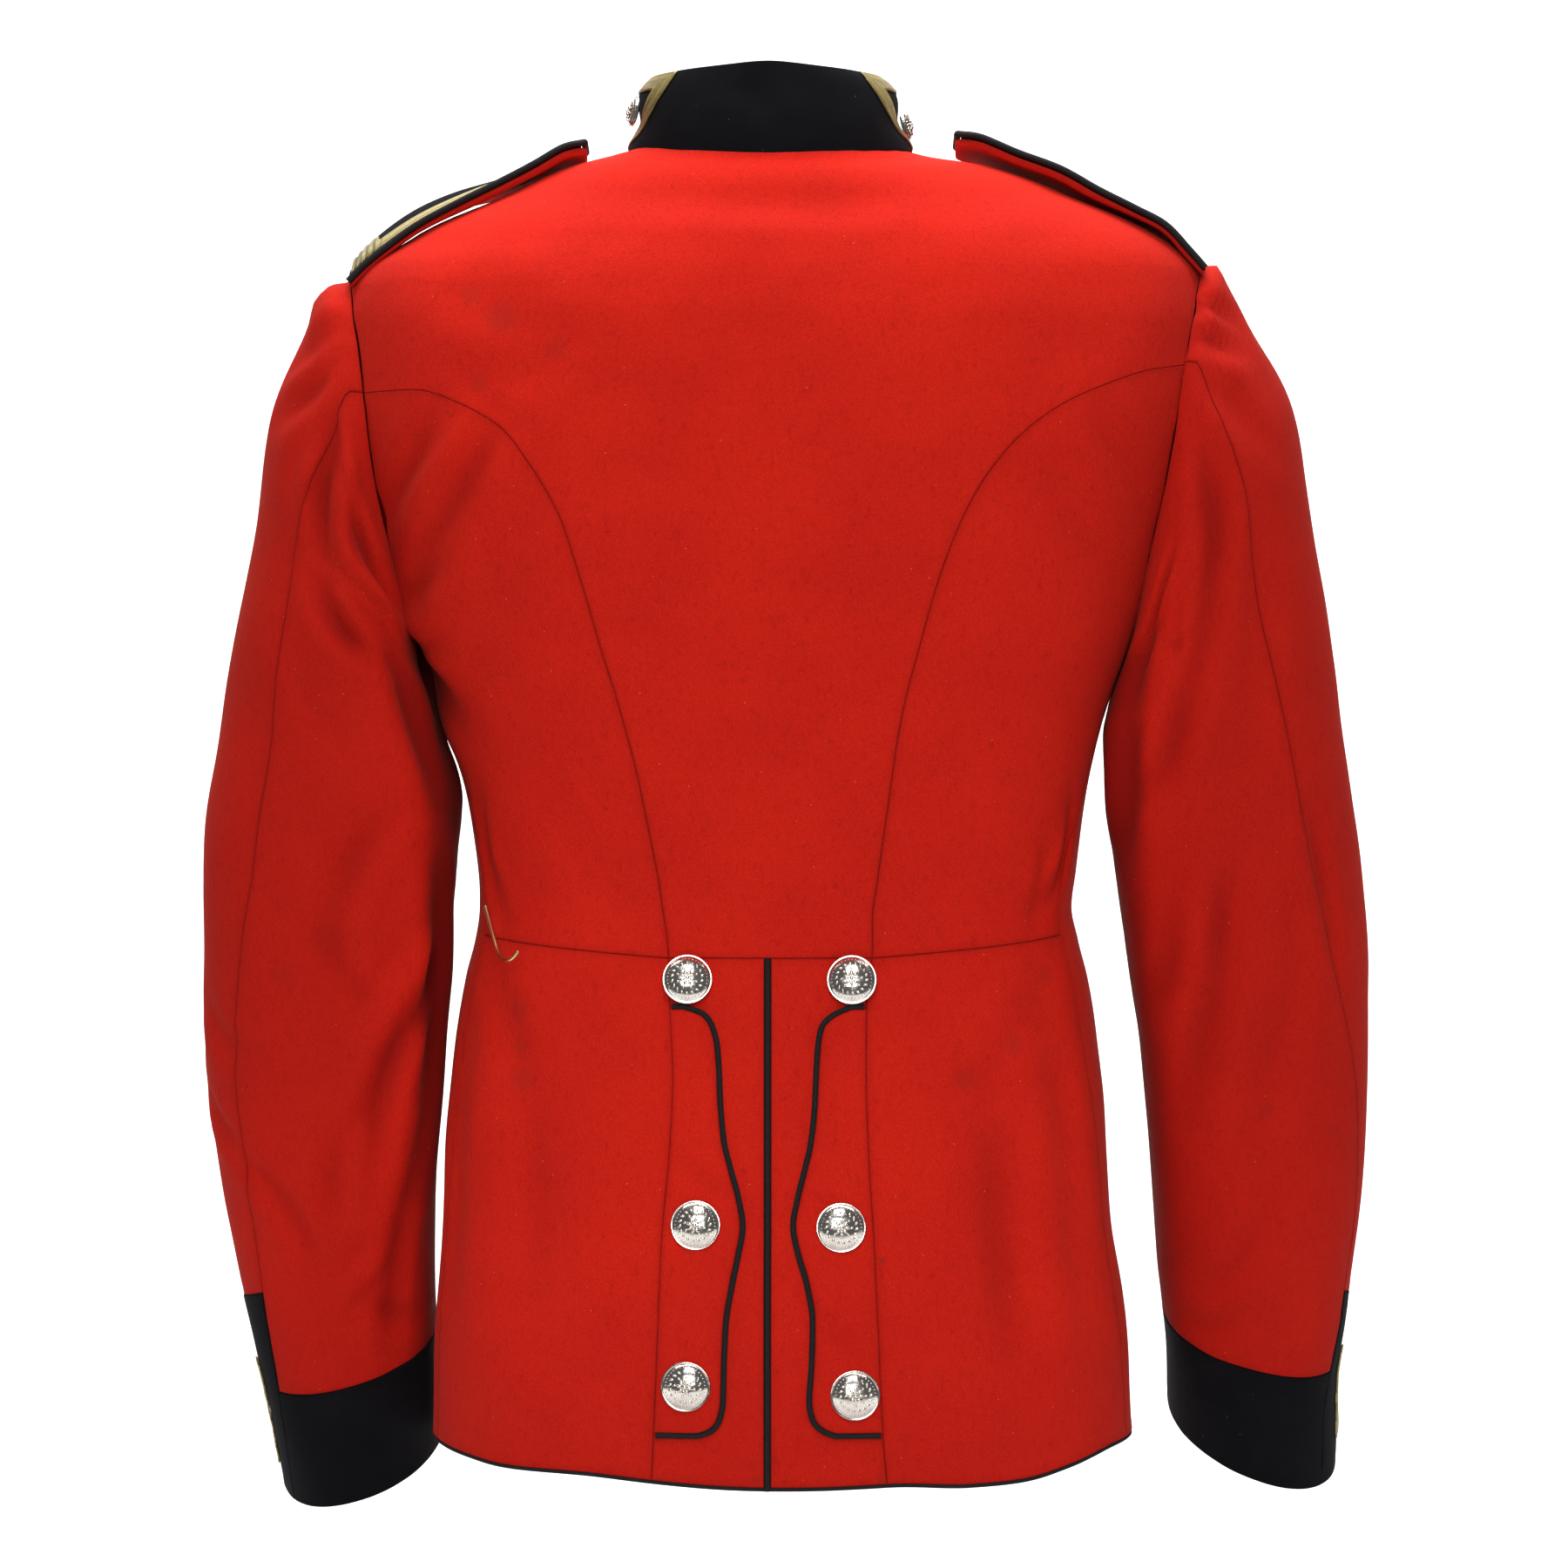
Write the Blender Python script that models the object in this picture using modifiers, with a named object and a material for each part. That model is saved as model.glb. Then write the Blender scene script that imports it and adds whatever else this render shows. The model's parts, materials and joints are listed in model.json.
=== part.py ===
"""Military dress tunic, filled out as if worn and hollow: cloth walls, lace, piping, buttons and a belt hook.

The frame is in metres with +Z up. The origin lies at the nape's height, in the middle of the neck opening.
+X is the wearer's left and the front faces -Y. The tables below are in millimetres and degrees.

The body is one smooth surface through level sections, and a point of it is named by its turn, which runs from
the left side round by the back, and by its side height. A sleeve is a surface through sections too, and a point
of it is named by its turn, from the outer side round by the back, and by its section's number.
"""

import bmesh
import bpy
import numpy as np
from mathutils import Matrix, Vector

MM = 0.001

# Cloth, trim and gaps, in millimetres.
SEAM_GAP = 0.3
CLOTH = 2.0
FLAP_CLOTH = 1.5
STRAP_CLOTH = 1.4
STRAP_LINING = 1.0
LACE = 0.9
LACE_WIDTH = 10.5
SEAM_PIPE = 1.75
SLASH_PIPE = 1.4
HEM_PIPE = 1.1
STRAP_PIPE = 1.8
HOOK_WIRE = 1.0
FACET_SAG = 0.4
COLLAR_SAG = 0.85
CUFF_SAG = 0.2
STRAP_SAG = 0.75

# Buttons: radius, dome height and rim, in millimetres.
COAT_BUTTON = 12.7
SMALL_BUTTON = 8.4
BUTTON_STEPS = 12

# Heights of the body's seam ends.
WAIST_CENTRE = -411.5
WAIST_SIDE = -401.0
HEM = -664.0
SHOULDER = {"left": -61.0, "right": -56.0}
ARMPIT = -245.0
NECK = 6.0
VENT_ACROSS = 3.3
FRONT_EDGE_ACROSS = -14.0
COLLAR_SEAT = 1.7

# The body's outer sections: half width at the side height, depths and dips behind and before the side line.
BODY_COLUMNS = ("side_z", "half_width", "shift", "back", "front", "back_dip", "front_dip", "squareness")
BODY_ROWS = (
    (-664, 182.5, -4.5, 122.0, 118.0, -18, -12, 2.3),
    (-640, 181.5, -4.0, 121.0, 117.5, -15, -10, 2.3),
    (-600, 179.5, -3.0, 119.0, 116.0, -11, -7, 2.3),
    (-550, 174.5, -1.5, 115.0, 114.0, -7, -4, 2.3),
    (-500, 171.5, -1.5, 110.0, 112.0, -4, -2, 2.3),
    (-450, 166.0, -0.8, 103.0, 108.0, -2, 0, 2.3),
    (-423, 161.8, -1.0, 99.0, 105.0, -1, 0, 2.3),
    (-405, 157.5, -1.0, 96.0, 103.5, 0, 0, 2.3),
    (-388, 155.0, -0.5, 95.0, 103.0, 0, 0, 2.3),
    (-368, 156.8, -1.2, 96.5, 104.5, 0, 0, 2.3),
    (-330, 161.8, -0.8, 102.0, 110.0, 0, 0, 2.35),
    (-290, 171.0, 0.5, 109.0, 117.0, 0, 0, 2.4),
    (-245, 188.0, 1.5, 115.0, 122.0, 0, -2, 2.45),
    (-200, 203.0, 2.0, 119.0, 123.0, 0, -10, 2.5),
    (-160, 216.0, 2.0, 119.0, 121.0, 0, -22, 2.5),
    (-120, 225.0, 1.0, 116.0, 117.0, 0, -36, 2.45),
    (-85, 226.5, 0.0, 111.0, 113.0, -1, -50, 2.35),
    (-66, 223.5, -1.0, 106.0, 110.0, -3, -60, 2.25),
    (-57, 219.3, -2.8, 103.0, 107.0, -4, -63, 2.2),
    (-40, 196.2, -6.2, 95.0, 99.0, -5, -64, 2.15),
    (-19, 150.8, -5.8, 82.0, 89.0, -7, -66, 2.15),
    (-2, 110.0, -4.5, 71.0, 79.0, -8, -68, 2.1),
    (3, 85.0, 0.5, 65.0, 73.5, -7, -71, 2.05),
    (6, 73.0, 2.0, 63.0, 71.0, -6, -72, 2.0),
)

# The hem's side heights round the body, from the left side round by the back.
HEM_COLUMNS = ("turn", "side_z")
HEM_ROWS = (
    (0, -661.0),
    (36, -661.5),
    (63, -657.5),
    (90, -659.5),
    (104, -659.0),
    (118, -662.5),
    (130, -664.0),
    (141, -662.3),
    (158, -659.0),
    (180, -659.5),
    (270, -661.0),
    (360, -661.0),
)

# How far the armhole's edge lies round the body from the side line, to the back above nought, by its own turn
# from the shoulder point round by the back.
ARMHOLE_COLUMNS = ("hole_turn", "round_body")
ARMHOLE_ROWS = (
    (0, 0),
    (30, 14.5),
    (60, 22),
    (75, 23.2),
    (90, 21.5),
    (110, 18.5),
    (130, 14.5),
    (150, 9.5),
    (180, 0),
    (210, -18.5),
    (230, -26),
    (250, -28.5),
    (270, -27.5),
    (300, -22.5),
    (330, -13.5),
    (360, 0),
)
SIDE_SEAM_TURN = 172
FORE_SEAM_TURN = 245

# The curved seams between the back and the side bodies, from the waist up to the armhole.
SIDE_BACK_COLUMNS = ("left_z", "left_across", "right_z", "right_across")
SIDE_BACK_ROWS = (
    (-410.5, 53.3, -411, 49.6),
    (-350, 63, -350, 55.3),
    (-300, 74, -298, 63),
    (-261, 85.2, -255, 73),
    (-224, 96.1, -214, 85),
    (-191, 107, -178, 100.5),
    (-166, 120.5, -150, 121),
    (-145, 136, -131.5, 144),
    (-130.5, 158, -119, 170),
    (-122, 184, -111.5, 191),
)

# The plait seams that run down the back skirts from the ends of the side-back seams.
PLAIT_COLUMNS = ("z", "left_across", "right_across")
PLAIT_ROWS = (
    (-411.5, 53.3, 49.6),
    (-436, 52.4, 46.5),
    (-472, 50.8, 46.2),
    (-515, 53.0, 47.6),
    (-551, 56.3, 49.8),
    (-600, 58.2, 52.2),
    (-651, 60.3, 54.5),
    (-679, 61.6, 56.9),
)

# The piped inner edge of each slash flap.
SLASH_COLUMNS = ("z", "left_across", "right_across")
SLASH_ROWS = (
    (-436.0, 45.0, 39.0),
    (-440.0, 35.0, 30.0),
    (-446.0, 31.0, 24.0),
    (-456.0, 28.5, 22.0),
    (-488.0, 26.7, 20.2),
    (-504.0, 25.0, 18.4),
    (-518.0, 21.5, 15.2),
    (-531.0, 18.0, 12.0),
    (-546.0, 15.6, 9.4),
    (-560.0, 17.8, 12.0),
    (-576.0, 21.0, 16.5),
    (-594.0, 23.9, 19.2),
    (-615.0, 24.9, 18.7),
    (-634.0, 25.4, 17.5),
    (-643.0, 27.3, 19.3),
    (-648.5, 31.5, 24.5),
    (-651.0, 38.0, 31.0),
)

# The side seams: degrees round the back from the side line.
SIDE_SEAM_COLUMNS = ("z", "left_round", "right_round")
SIDE_SEAM_ROWS = (
    (-664, 12, 14),
    (-540, 13, 17),
    (-401, 17, 22),
    (-355, 13, 16),
    (-300, 8, 9),
    (-245, 3, 3),
)

# The sleeves' sections, across the body from the centre line. Turns are of the two sleeve seams.
SLEEVE_COLUMNS = (
    "section",
    "outer_x",
    "outer_z",
    "inner_x",
    "inner_z",
    "middle_y",
    "half_depth",
    "rear_drop",
    "hind_turn",
    "fore_turn",
)
LEFT_SLEEVE_ROWS = (
    (0, 219.5, -61, 191, -245, -4, 61, 0, 70.4, 245),
    (0.35, 230, -60, 190, -248, -2, 61.5, 0, 70.3, 244),
    (0.7, 237, -70, 189.8, -251, 0, 62.5, 0, 70.2, 244),
    (1, 241.5, -83, 189, -253, 2, 63, 0, 70, 243),
    (2, 259.5, -128, 186.5, -264, 3, 63, 0, 67.5, 240),
    (3, 270, -190, 180.5, -279, 4, 62, 0, 62.5, 238),
    (4, 282, -246, 174.5, -300, 4, 61, 0, 62, 236),
    (5, 290, -302, 165.5, -334, 4, 59, 0, 61, 235),
    (6, 296.5, -352, 165.5, -362, 3, 58, 2, 59, 235),
    (7, 299, -420, 169, -420, 0, 56, 5, 51, 235),
    (8, 298, -462, 172.5, -460, -6, 55, 9, 47.5, 235),
    (9, 288.5, -532, 177, -526, -18, 52, 14, 47, 235),
    (10, 279.5, -590, 178.5, -572, -32, 49, 17, 45, 235),
    (11, 265.5, -655, 179, -630, -46, 46, 19, 40, 235),
    (12, 260.5, -691, 178, -667, -60, 44, 20, 36, 235),
)
RIGHT_SLEEVE_ROWS = (
    (0, 222, -56, 185.5, -245, -4, 61, 0, 62.8, 245),
    (0.35, 229.0, -52.8, 185.5, -248, -2, 61.5, 0, 64, 244),
    (0.7, 237.3, -66.5, 185.5, -251, 0, 62.5, 0, 66, 244),
    (1, 245.5, -82, 185, -253, 2, 63, 0, 68, 243),
    (2, 269.5, -128, 182.5, -264, 3, 63, 0, 72.5, 240),
    (3, 279.5, -188, 177, -279, 4, 62, 0, 71.5, 238),
    (4, 290, -246, 171.5, -300, 4, 61, 0, 67, 236),
    (5, 297.5, -302, 172.5, -332, 4, 59, 0, 62, 235),
    (6, 304, -354, 177, -362, 3, 58, 2, 59, 235),
    (7, 310.5, -424, 185, -420, 0, 56, 5, 47.5, 235),
    (8, 310.5, -470, 191, -462, -6, 55, 9, 34, 235),
    (9, 308, -536, 197.5, -524, -18, 52, 14, 25, 235),
    (10, 303, -592, 202, -570, -32, 49, 17, 28, 235),
    (11, 297, -640, 207, -615, -46, 46, 21, 37, 235),
    (12, 297.5, -680, 209, -650, -60, 44, 24, 40, 235),
)
SLEEVE_SQUARENESS = 2.15
SLEEVE_HEAD_SECTIONS = 2.2
SLEEVE_STATIONS = (0, 0.35, 0.7, 1.1, 1.7, 2.3, 3, 4, 5, 6, 7, 8, 9)

# The cuff's upper edge, as sleeve sections: the under half is low and the top half stands tall at the hind seam.
CUFF_LOW = 10.6
CUFF_TALL = 9.8
CUFF_END = 12.0

# The stand collar's outer sections, by its rise from seam to top edge.
COLLAR_COLUMNS = ("rise", "half_width", "shift", "back", "front", "side_z", "back_z", "front_z")
COLLAR_ROWS = (
    (0.0, 73.0, 2.0, 63.0, 71.0, 6, 0, -66),
    (0.4, 70.2, 2.8, 60.5, 67.5, 21, 18, -49),
    (0.7, 66.7, 3.4, 57.5, 64.5, 33, 31.5, -36),
    (0.87, 63.0, 3.7, 55.8, 62.5, 39.2, 39.5, -29),
    (1.0, 58.4, 4.4, 54.5, 61.0, 43.0, 45.3, -24),
)
COLLAR_HEIGHT = 45.0
COLLAR_GIRTH_RADIUS = 66.0
COLLAR_HALF_OPENING = 0.5
COLLAR_BUTTON_GAP = 0.5

# How far across each collar lace's rear edge lies at the seam and at the top edge, and its button's place.
COLLAR_LACE = {
    "left": {"seam_across": 75.0, "top_across": 48.0, "button_turn": 1.0, "button_rise": 0.52},
    "right": {"seam_across": -70.5, "top_across": -42.5, "button_turn": -1.0, "button_rise": 0.34},
}

# The straps' sections from the armhole to the neck end: the rear and front edges and the arch between them.
STRAP_COLUMNS = ("station", "x", "rear_z", "front_z", "half_width", "arch")
LEFT_STRAP_ROWS = (
    (0, 220.5, -63.6, -58.0, 29, 6.5),
    (1, 212.5, -55.2, -47.0, 28.5, 7.0),
    (2, 200, -45.0, -35.5, 28, 6.0),
    (3, 184, -33.8, -24.0, 27.5, 4.5),
    (4, 165, -23.6, -16.0, 27, 3.5),
    (5, 145, -13.8, -11.0, 26, 2.5),
    (6, 125, -3.5, -4.5, 25, 1.5),
    (7, 109, 5.8, 3.0, 22, 1.0),
    (8, 100.5, 8.6, 6.0, 13, 0.5),
)
RIGHT_STRAP_ROWS = (
    (0, 223, -57.2, -55.2, 29, 3.5),
    (1, 214.5, -47.5, -47.5, 28.5, 3.5),
    (2, 202, -34.5, -36.5, 28, 3.0),
    (3, 187, -26.5, -30.0, 27.5, 2.5),
    (4, 168, -17.0, -21.5, 27, 2.0),
    (5, 148, -5.8, -11.5, 26, 2.0),
    (6, 126, 2.5, -2.0, 25, 1.5),
    (7, 106, 11.0, 6.5, 22, 1.0),
    (8, 97, 13.0, 9.0, 13, 0.5),
)
STRAP_STEPS = 12
STRAP_LACE_INSET = 2.5
STRAP_END_LACE = 1.3
STRAP_BUTTON_STATION = 6.6

# Buttons on the body: across and height.
BACK_BUTTONS = {
    "waist_left": (43.5, -422.5),
    "waist_right": (-39.0, -422.7),
    "middle_left": (39.3, -545.6),
    "middle_right": (-33.5, -546.8),
    "low_left": (44.1, -626.3),
    "low_right": (-40.5, -630.6),
}
FRONT_BUTTON_COUNT = 8
FRONT_BUTTON_TOP = -92.0
FRONT_BUTTON_BOTTOM = -398.0

# The belt hook's wire: across, height and how far it stands off the cloth's mid line.
HOOK_ROWS = (
    (147.0, -386.0, 3.2),
    (144.5, -394.0, 3.4),
    (141.5, -403.0, 4.2),
    (139.0, -411.0, 5.5),
    (137.5, -414.5, 7.5),
    (134.8, -416.5, 10.0),
    (132.0, -415.5, 12.0),
    (129.7, -411.5, 13.0),
)

# The cuff lace: sleeve section and half width in millimetres, round the turn it stands at.
CUFF_LACE_TURN = 12.0
CUFF_LACE_ROWS = (
    (10.45, 2.0),
    (10.52, 5.5),
    (10.64, 6.5),
    (10.76, 5.0),
    (10.84, 3.0),
    (11.02, 4.4),
    (11.20, 3.0),
    (11.38, 4.4),
    (11.56, 3.6),
)

# Finishes: base colour, roughness and metallic.
FINISHES = {
    "red_cloth": ((0.55, 0.02, 0.008, 1.0), 0.9, 0.0),
    "black_cloth": ((0.008, 0.008, 0.012, 1.0), 0.9, 0.0),
    "black_piping": ((0.006, 0.006, 0.008, 1.0), 0.85, 0.0),
    "gold_lace": ((0.42, 0.30, 0.10, 1.0), 0.45, 0.6),
    "silver_button": ((0.86, 0.85, 0.82, 1.0), 0.15, 1.0),
    "brass_wire": ((0.70, 0.52, 0.24, 1.0), 0.3, 1.0),
}


class Sections:
    """Rows of sizes with named columns, read smoothly between the rows by their first column."""

    def __init__(self, columns, rows):
        self.columns = columns
        self.rows = np.array(rows, float)
        self.steps = np.diff(self.rows[:, :1], axis=0)
        slopes = np.diff(self.rows, axis=0) / self.steps
        before, after = slopes[:-1], slopes[1:]
        weight_before = 2 * self.steps[1:] + self.steps[:-1]
        weight_after = self.steps[1:] + 2 * self.steps[:-1]
        rising = before * after > 0
        safe_before = np.where(rising, before, 1.0)
        safe_after = np.where(rising, after, 1.0)
        middle = (weight_before + weight_after) / (weight_before / safe_before + weight_after / safe_after)
        self.tangents = np.concatenate([slopes[:1], np.where(rising, middle, 0.0), slopes[-1:]])

    def at(self, name, key):
        """The named column where the first column has this value."""
        column = self.columns.index(name)
        keys = self.rows[:, 0]
        key = np.asarray(key, float)
        low = np.clip(np.searchsorted(keys, key) - 1, 0, len(keys) - 2)
        step = self.steps[low, 0]
        part = (key - keys[low]) / step
        start, end = self.rows[low, column], self.rows[low + 1, column]
        leaving, arriving = self.tangents[low, column] * step, self.tangents[low + 1, column] * step
        smooth = part * part * (3 - 2 * part)
        return (
            start + (end - start) * smooth
            + leaving * part * (1 - part) ** 2
            - arriving * part * part * (1 - part)
        )


BODY = Sections(BODY_COLUMNS, BODY_ROWS)
ARMHOLE = Sections(ARMHOLE_COLUMNS, ARMHOLE_ROWS)
PLAIT = Sections(PLAIT_COLUMNS, PLAIT_ROWS[::-1])
SLASH = Sections(SLASH_COLUMNS, SLASH_ROWS[::-1])
SIDE_SEAM = Sections(SIDE_SEAM_COLUMNS, SIDE_SEAM_ROWS)
SIDE_BACK = Sections(SIDE_BACK_COLUMNS, SIDE_BACK_ROWS)
COLLAR = Sections(COLLAR_COLUMNS, COLLAR_ROWS)
HEM_LINE = Sections(HEM_COLUMNS, HEM_ROWS)
SLEEVES = {
    "left": Sections(SLEEVE_COLUMNS, LEFT_SLEEVE_ROWS),
    "right": Sections(SLEEVE_COLUMNS, RIGHT_SLEEVE_ROWS),
}
STRAPS = {
    "left": Sections(STRAP_COLUMNS, LEFT_STRAP_ROWS),
    "right": Sections(STRAP_COLUMNS, RIGHT_STRAP_ROWS),
}
SIDES = {"left": 1.0, "right": -1.0}


# ---------------------------------------------------------------- surfaces


def rounded(turn, squareness):
    """The two coordinates of a rounded square of half width one at this turn."""
    cosine, sine = np.cos(turn), np.sin(turn)
    power = 2 / squareness
    return np.sign(cosine) * np.abs(cosine) ** power, np.sign(sine) * np.abs(sine) ** power


def body_point(turn, height):
    """Mid-wall points of the body."""
    across, along = rounded(turn, BODY.at("squareness", height))
    behind = np.sin(turn) > 0
    depth = np.where(behind, BODY.at("back", height), BODY.at("front", height))
    dip = np.where(behind, BODY.at("back_dip", height), BODY.at("front_dip", height))
    x = BODY.at("shift", height) + (BODY.at("half_width", height) - CLOTH / 2) * across
    return np.stack([x, (depth - CLOTH / 2) * along, height + dip * np.sin(turn) ** 2], -1)


def collar_point(turn, rise):
    """Mid-wall points of the collar."""
    behind = np.sin(turn) > 0
    depth = np.where(behind, COLLAR.at("back", rise), COLLAR.at("front", rise))
    side = COLLAR.at("side_z", rise)
    end = np.where(behind, COLLAR.at("back_z", rise), COLLAR.at("front_z", rise))
    x = COLLAR.at("shift", rise) + (COLLAR.at("half_width", rise) - CLOTH / 2) * np.cos(turn)
    return np.stack([x, (depth - CLOTH / 2) * np.sin(turn), side + (end - side) * np.sin(turn) ** 2 + COLLAR_SEAT], -1)


def normals(surface, first, second, second_step):
    """Unit normals of a surface of two numbers, which point out of the body, the collar or a left sleeve."""
    first_step = 1e-3
    along = surface(first + first_step, second) - surface(first - first_step, second)
    up = surface(first, second + second_step) - surface(first, second - second_step)
    cross = np.cross(along, up)
    return cross / np.linalg.norm(cross, axis=-1, keepdims=True)


def body_normal(turn, height):
    """Outward normals of the body."""
    return normals(body_point, turn, height, 0.2)


def collar_normal(turn, rise):
    """Outward normals of the collar."""
    return normals(collar_point, turn, rise, 0.01)


def body_place(across, z, face="back"):
    """The body's (turn, side height) at this distance across and this true height, on its back or front."""
    dip_name = face + "_dip"
    height = np.clip(np.asarray(z, float), HEM, NECK)
    for _ in range(12):
        reach = (across - BODY.at("shift", height)) / (BODY.at("half_width", height) - CLOTH / 2)
        reach = np.clip(reach, -1, 1)
        cosine = np.sign(reach) * np.abs(reach) ** (BODY.at("squareness", height) / 2)
        turn = np.arccos(cosine)
        height = np.clip(z - BODY.at(dip_name, height) * np.sin(turn) ** 2, HEM, NECK)
    return np.stack([turn if face == "back" else -turn, height], -1)


def mirrored(turn, side):
    """A turn round the body taken to its other side where the side is the right one."""
    return turn if side == "left" else np.pi - turn


def loop_keys(side):
    """The armhole's turns at the shoulder, the side-back seam, the side seam, the fore seam and round again."""
    return (0.0, float(SLEEVES[side].at("hind_turn", 0)), SIDE_SEAM_TURN, FORE_SEAM_TURN, 360.0)


LOOP_PARTS = (4, 6, 4, 6)


def loop_turns(side, first, last):
    """The armhole's turns at its vertices, from one of its key turns to another."""
    keys = loop_keys(side)
    turns = [np.linspace(keys[i], keys[i + 1], LOOP_PARTS[i] + 1)[:-1] for i in range(first, last)]
    return np.concatenate([*turns, [keys[last]]])


def armhole_place(hole_turn, side):
    """The body's (turn, side height) on the armhole's edge."""
    hole_turn = np.asarray(hole_turn, float)
    middle, half = (SHOULDER[side] + ARMPIT) / 2, (SHOULDER[side] - ARMPIT) / 2
    height = middle + half * np.cos(np.radians(hole_turn))
    turn = np.radians(ARMHOLE.at("round_body", hole_turn))
    return np.stack([mirrored(turn, side), height], -1)


def sleeve_ring(side, turn, section):
    """Points of the plain sleeve tube, before it is led to the armhole. Both sleeves are made at the left."""
    table = SLEEVES[side]
    across, along = rounded(turn, SLEEVE_SQUARENESS)
    outer_x, outer_z = table.at("outer_x", section), table.at("outer_z", section)
    inner_x, inner_z = table.at("inner_x", section), table.at("inner_z", section)
    half_x, half_z = (outer_x - inner_x) / 2, (outer_z - inner_z) / 2
    trim = 1 - CLOTH / 2 / np.hypot(half_x, half_z)
    x = (outer_x + inner_x) / 2 + across * half_x * trim
    z = (outer_z + inner_z) / 2 + across * half_z * trim - along * table.at("rear_drop", section)
    y = table.at("middle_y", section) + along * (table.at("half_depth", section) - CLOTH / 2)
    return np.stack([x, y, z], -1)


def sleeve_start(side, hole_turn):
    """Where the sleeve's wall starts, just clear of the armhole's edge, made at the left."""
    place = armhole_place(hole_turn, side)
    edge = body_point(place[..., 0], place[..., 1])
    out = body_normal(place[..., 0], place[..., 1])
    flip = np.array([SIDES[side], 1.0, 1.0])
    edge, out = edge * flip, out * flip
    middle = body_point(mirrored(0.0, side), (SHOULDER[side] + ARMPIT) / 2) * flip
    inward = middle - edge
    inward -= (inward * out).sum(-1, keepdims=True) * out
    inward /= np.linalg.norm(inward, axis=-1, keepdims=True)
    plain = sleeve_ring(side, np.radians(hole_turn), 0.0)
    heading = sleeve_ring(side, np.radians(hole_turn), 0.35) - plain - 0.3 * (edge - plain)
    heading /= np.linalg.norm(heading, axis=-1, keepdims=True)
    rising = (heading * out).sum(-1, keepdims=True)
    ahead = (heading * inward).sum(-1, keepdims=True)
    fold = np.arctan2(np.maximum(rising, 0), ahead)
    clear_ahead = 1.8 * SEAM_GAP + CLOTH / 2 * np.maximum(-rising, 0)
    return edge + inward * clear_ahead + out * (CLOTH + 2 * SEAM_GAP) * np.sin(fold / 2)


def sleeve_point(side, turn, section):
    """Mid-wall points of a sleeve, on its own side of the body."""
    section = np.asarray(section, float)
    hole_turn = np.degrees(turn) % 360
    lead = np.clip(1 - section / SLEEVE_HEAD_SECTIONS, 0, 1)[..., None] ** 2
    start = sleeve_start(side, hole_turn) - sleeve_ring(side, turn, 0 * section)
    point = sleeve_ring(side, turn, section) + start * lead
    return point * np.array([SIDES[side], 1.0, 1.0])


def sleeve_normal(side, turn, section):
    """Outward normals of a sleeve."""
    inner = np.clip(section, 0.02, CUFF_END)
    return normals(lambda a, b: sleeve_point(side, a, b), turn, inner, 0.01) * -SIDES[side]


def strap_point(side, across, station):
    """Mid-wall points of a strap: across runs from -1 at its front edge to 1 at its rear edge."""
    table = STRAPS[side]
    x = table.at("x", station) * SIDES[side]
    edges = (1 + across) / 2 * table.at("rear_z", station) + (1 - across) / 2 * table.at("front_z", station)
    z = edges + table.at("arch", station) * (1 - across**2)
    return np.stack([x + 0 * across, across * table.at("half_width", station), z], -1)


def strap_normal(side, across, station):
    """Upward normals of a strap."""
    upward = normals(lambda a, b: strap_point(side, a, b), across, np.clip(station, 0.01, 7.99), 0.01)
    return upward * np.sign(upward[..., 2:])


# ---------------------------------------------------------------- building


def make_materials():
    """One Principled material for each finish."""
    made = {}
    for name, (colour, roughness, metallic) in FINISHES.items():
        material = bpy.data.materials.new(name)
        material.use_nodes = True
        shader = material.node_tree.nodes["Principled BSDF"]
        shader.inputs["Base Color"].default_value = colour
        shader.inputs["Roughness"].default_value = roughness
        shader.inputs["Metallic"].default_value = metallic
        material.diffuse_color = colour
        made[name] = material
    return made


def add_object(name, data, finish):
    """An object of this mesh or curve with a copy of the finish, in the tunic's collection."""
    made = bpy.data.objects.new(name, data)
    material = MATERIALS[finish].copy()
    material.name = f"{finish}.{name}"
    data.materials.append(material)
    TUNIC.objects.link(made)
    return made


def add_mesh(name, points, faces, finish):
    """A closed mesh object from points in millimetres."""
    mesh = bpy.data.meshes.new(name)
    mesh.from_pydata((points * MM).tolist(), [], [list(map(int, face)) for face in faces])
    work = bmesh.new()
    work.from_mesh(mesh)
    bmesh.ops.triangulate(work, faces=work.faces, quad_method="SHORT_EDGE")
    bmesh.ops.recalc_face_normals(work, faces=work.faces)
    work.to_mesh(mesh)
    work.free()
    mesh.shade_smooth()
    return add_object(name, mesh, finish)


def inset(grid, amounts):
    """The grid with its first row, last row, first column and last column moved in by these amounts."""
    moved = grid.copy()
    borders = (
        (np.s_[0], np.s_[1]),
        (np.s_[-1], np.s_[-2]),
        (np.s_[:, 0], np.s_[:, 1]),
        (np.s_[:, -1], np.s_[:, -2]),
    )
    for (edge, inner), amount in zip(borders, amounts):
        along = np.gradient(grid[edge], axis=0)
        along /= np.linalg.norm(along, axis=-1, keepdims=True)
        inward = grid[inner] - grid[edge]
        inward -= (inward * along).sum(-1, keepdims=True) * along
        inward /= np.linalg.norm(inward, axis=-1, keepdims=True)
        moved[edge] += inward * amount
    return moved


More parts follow.
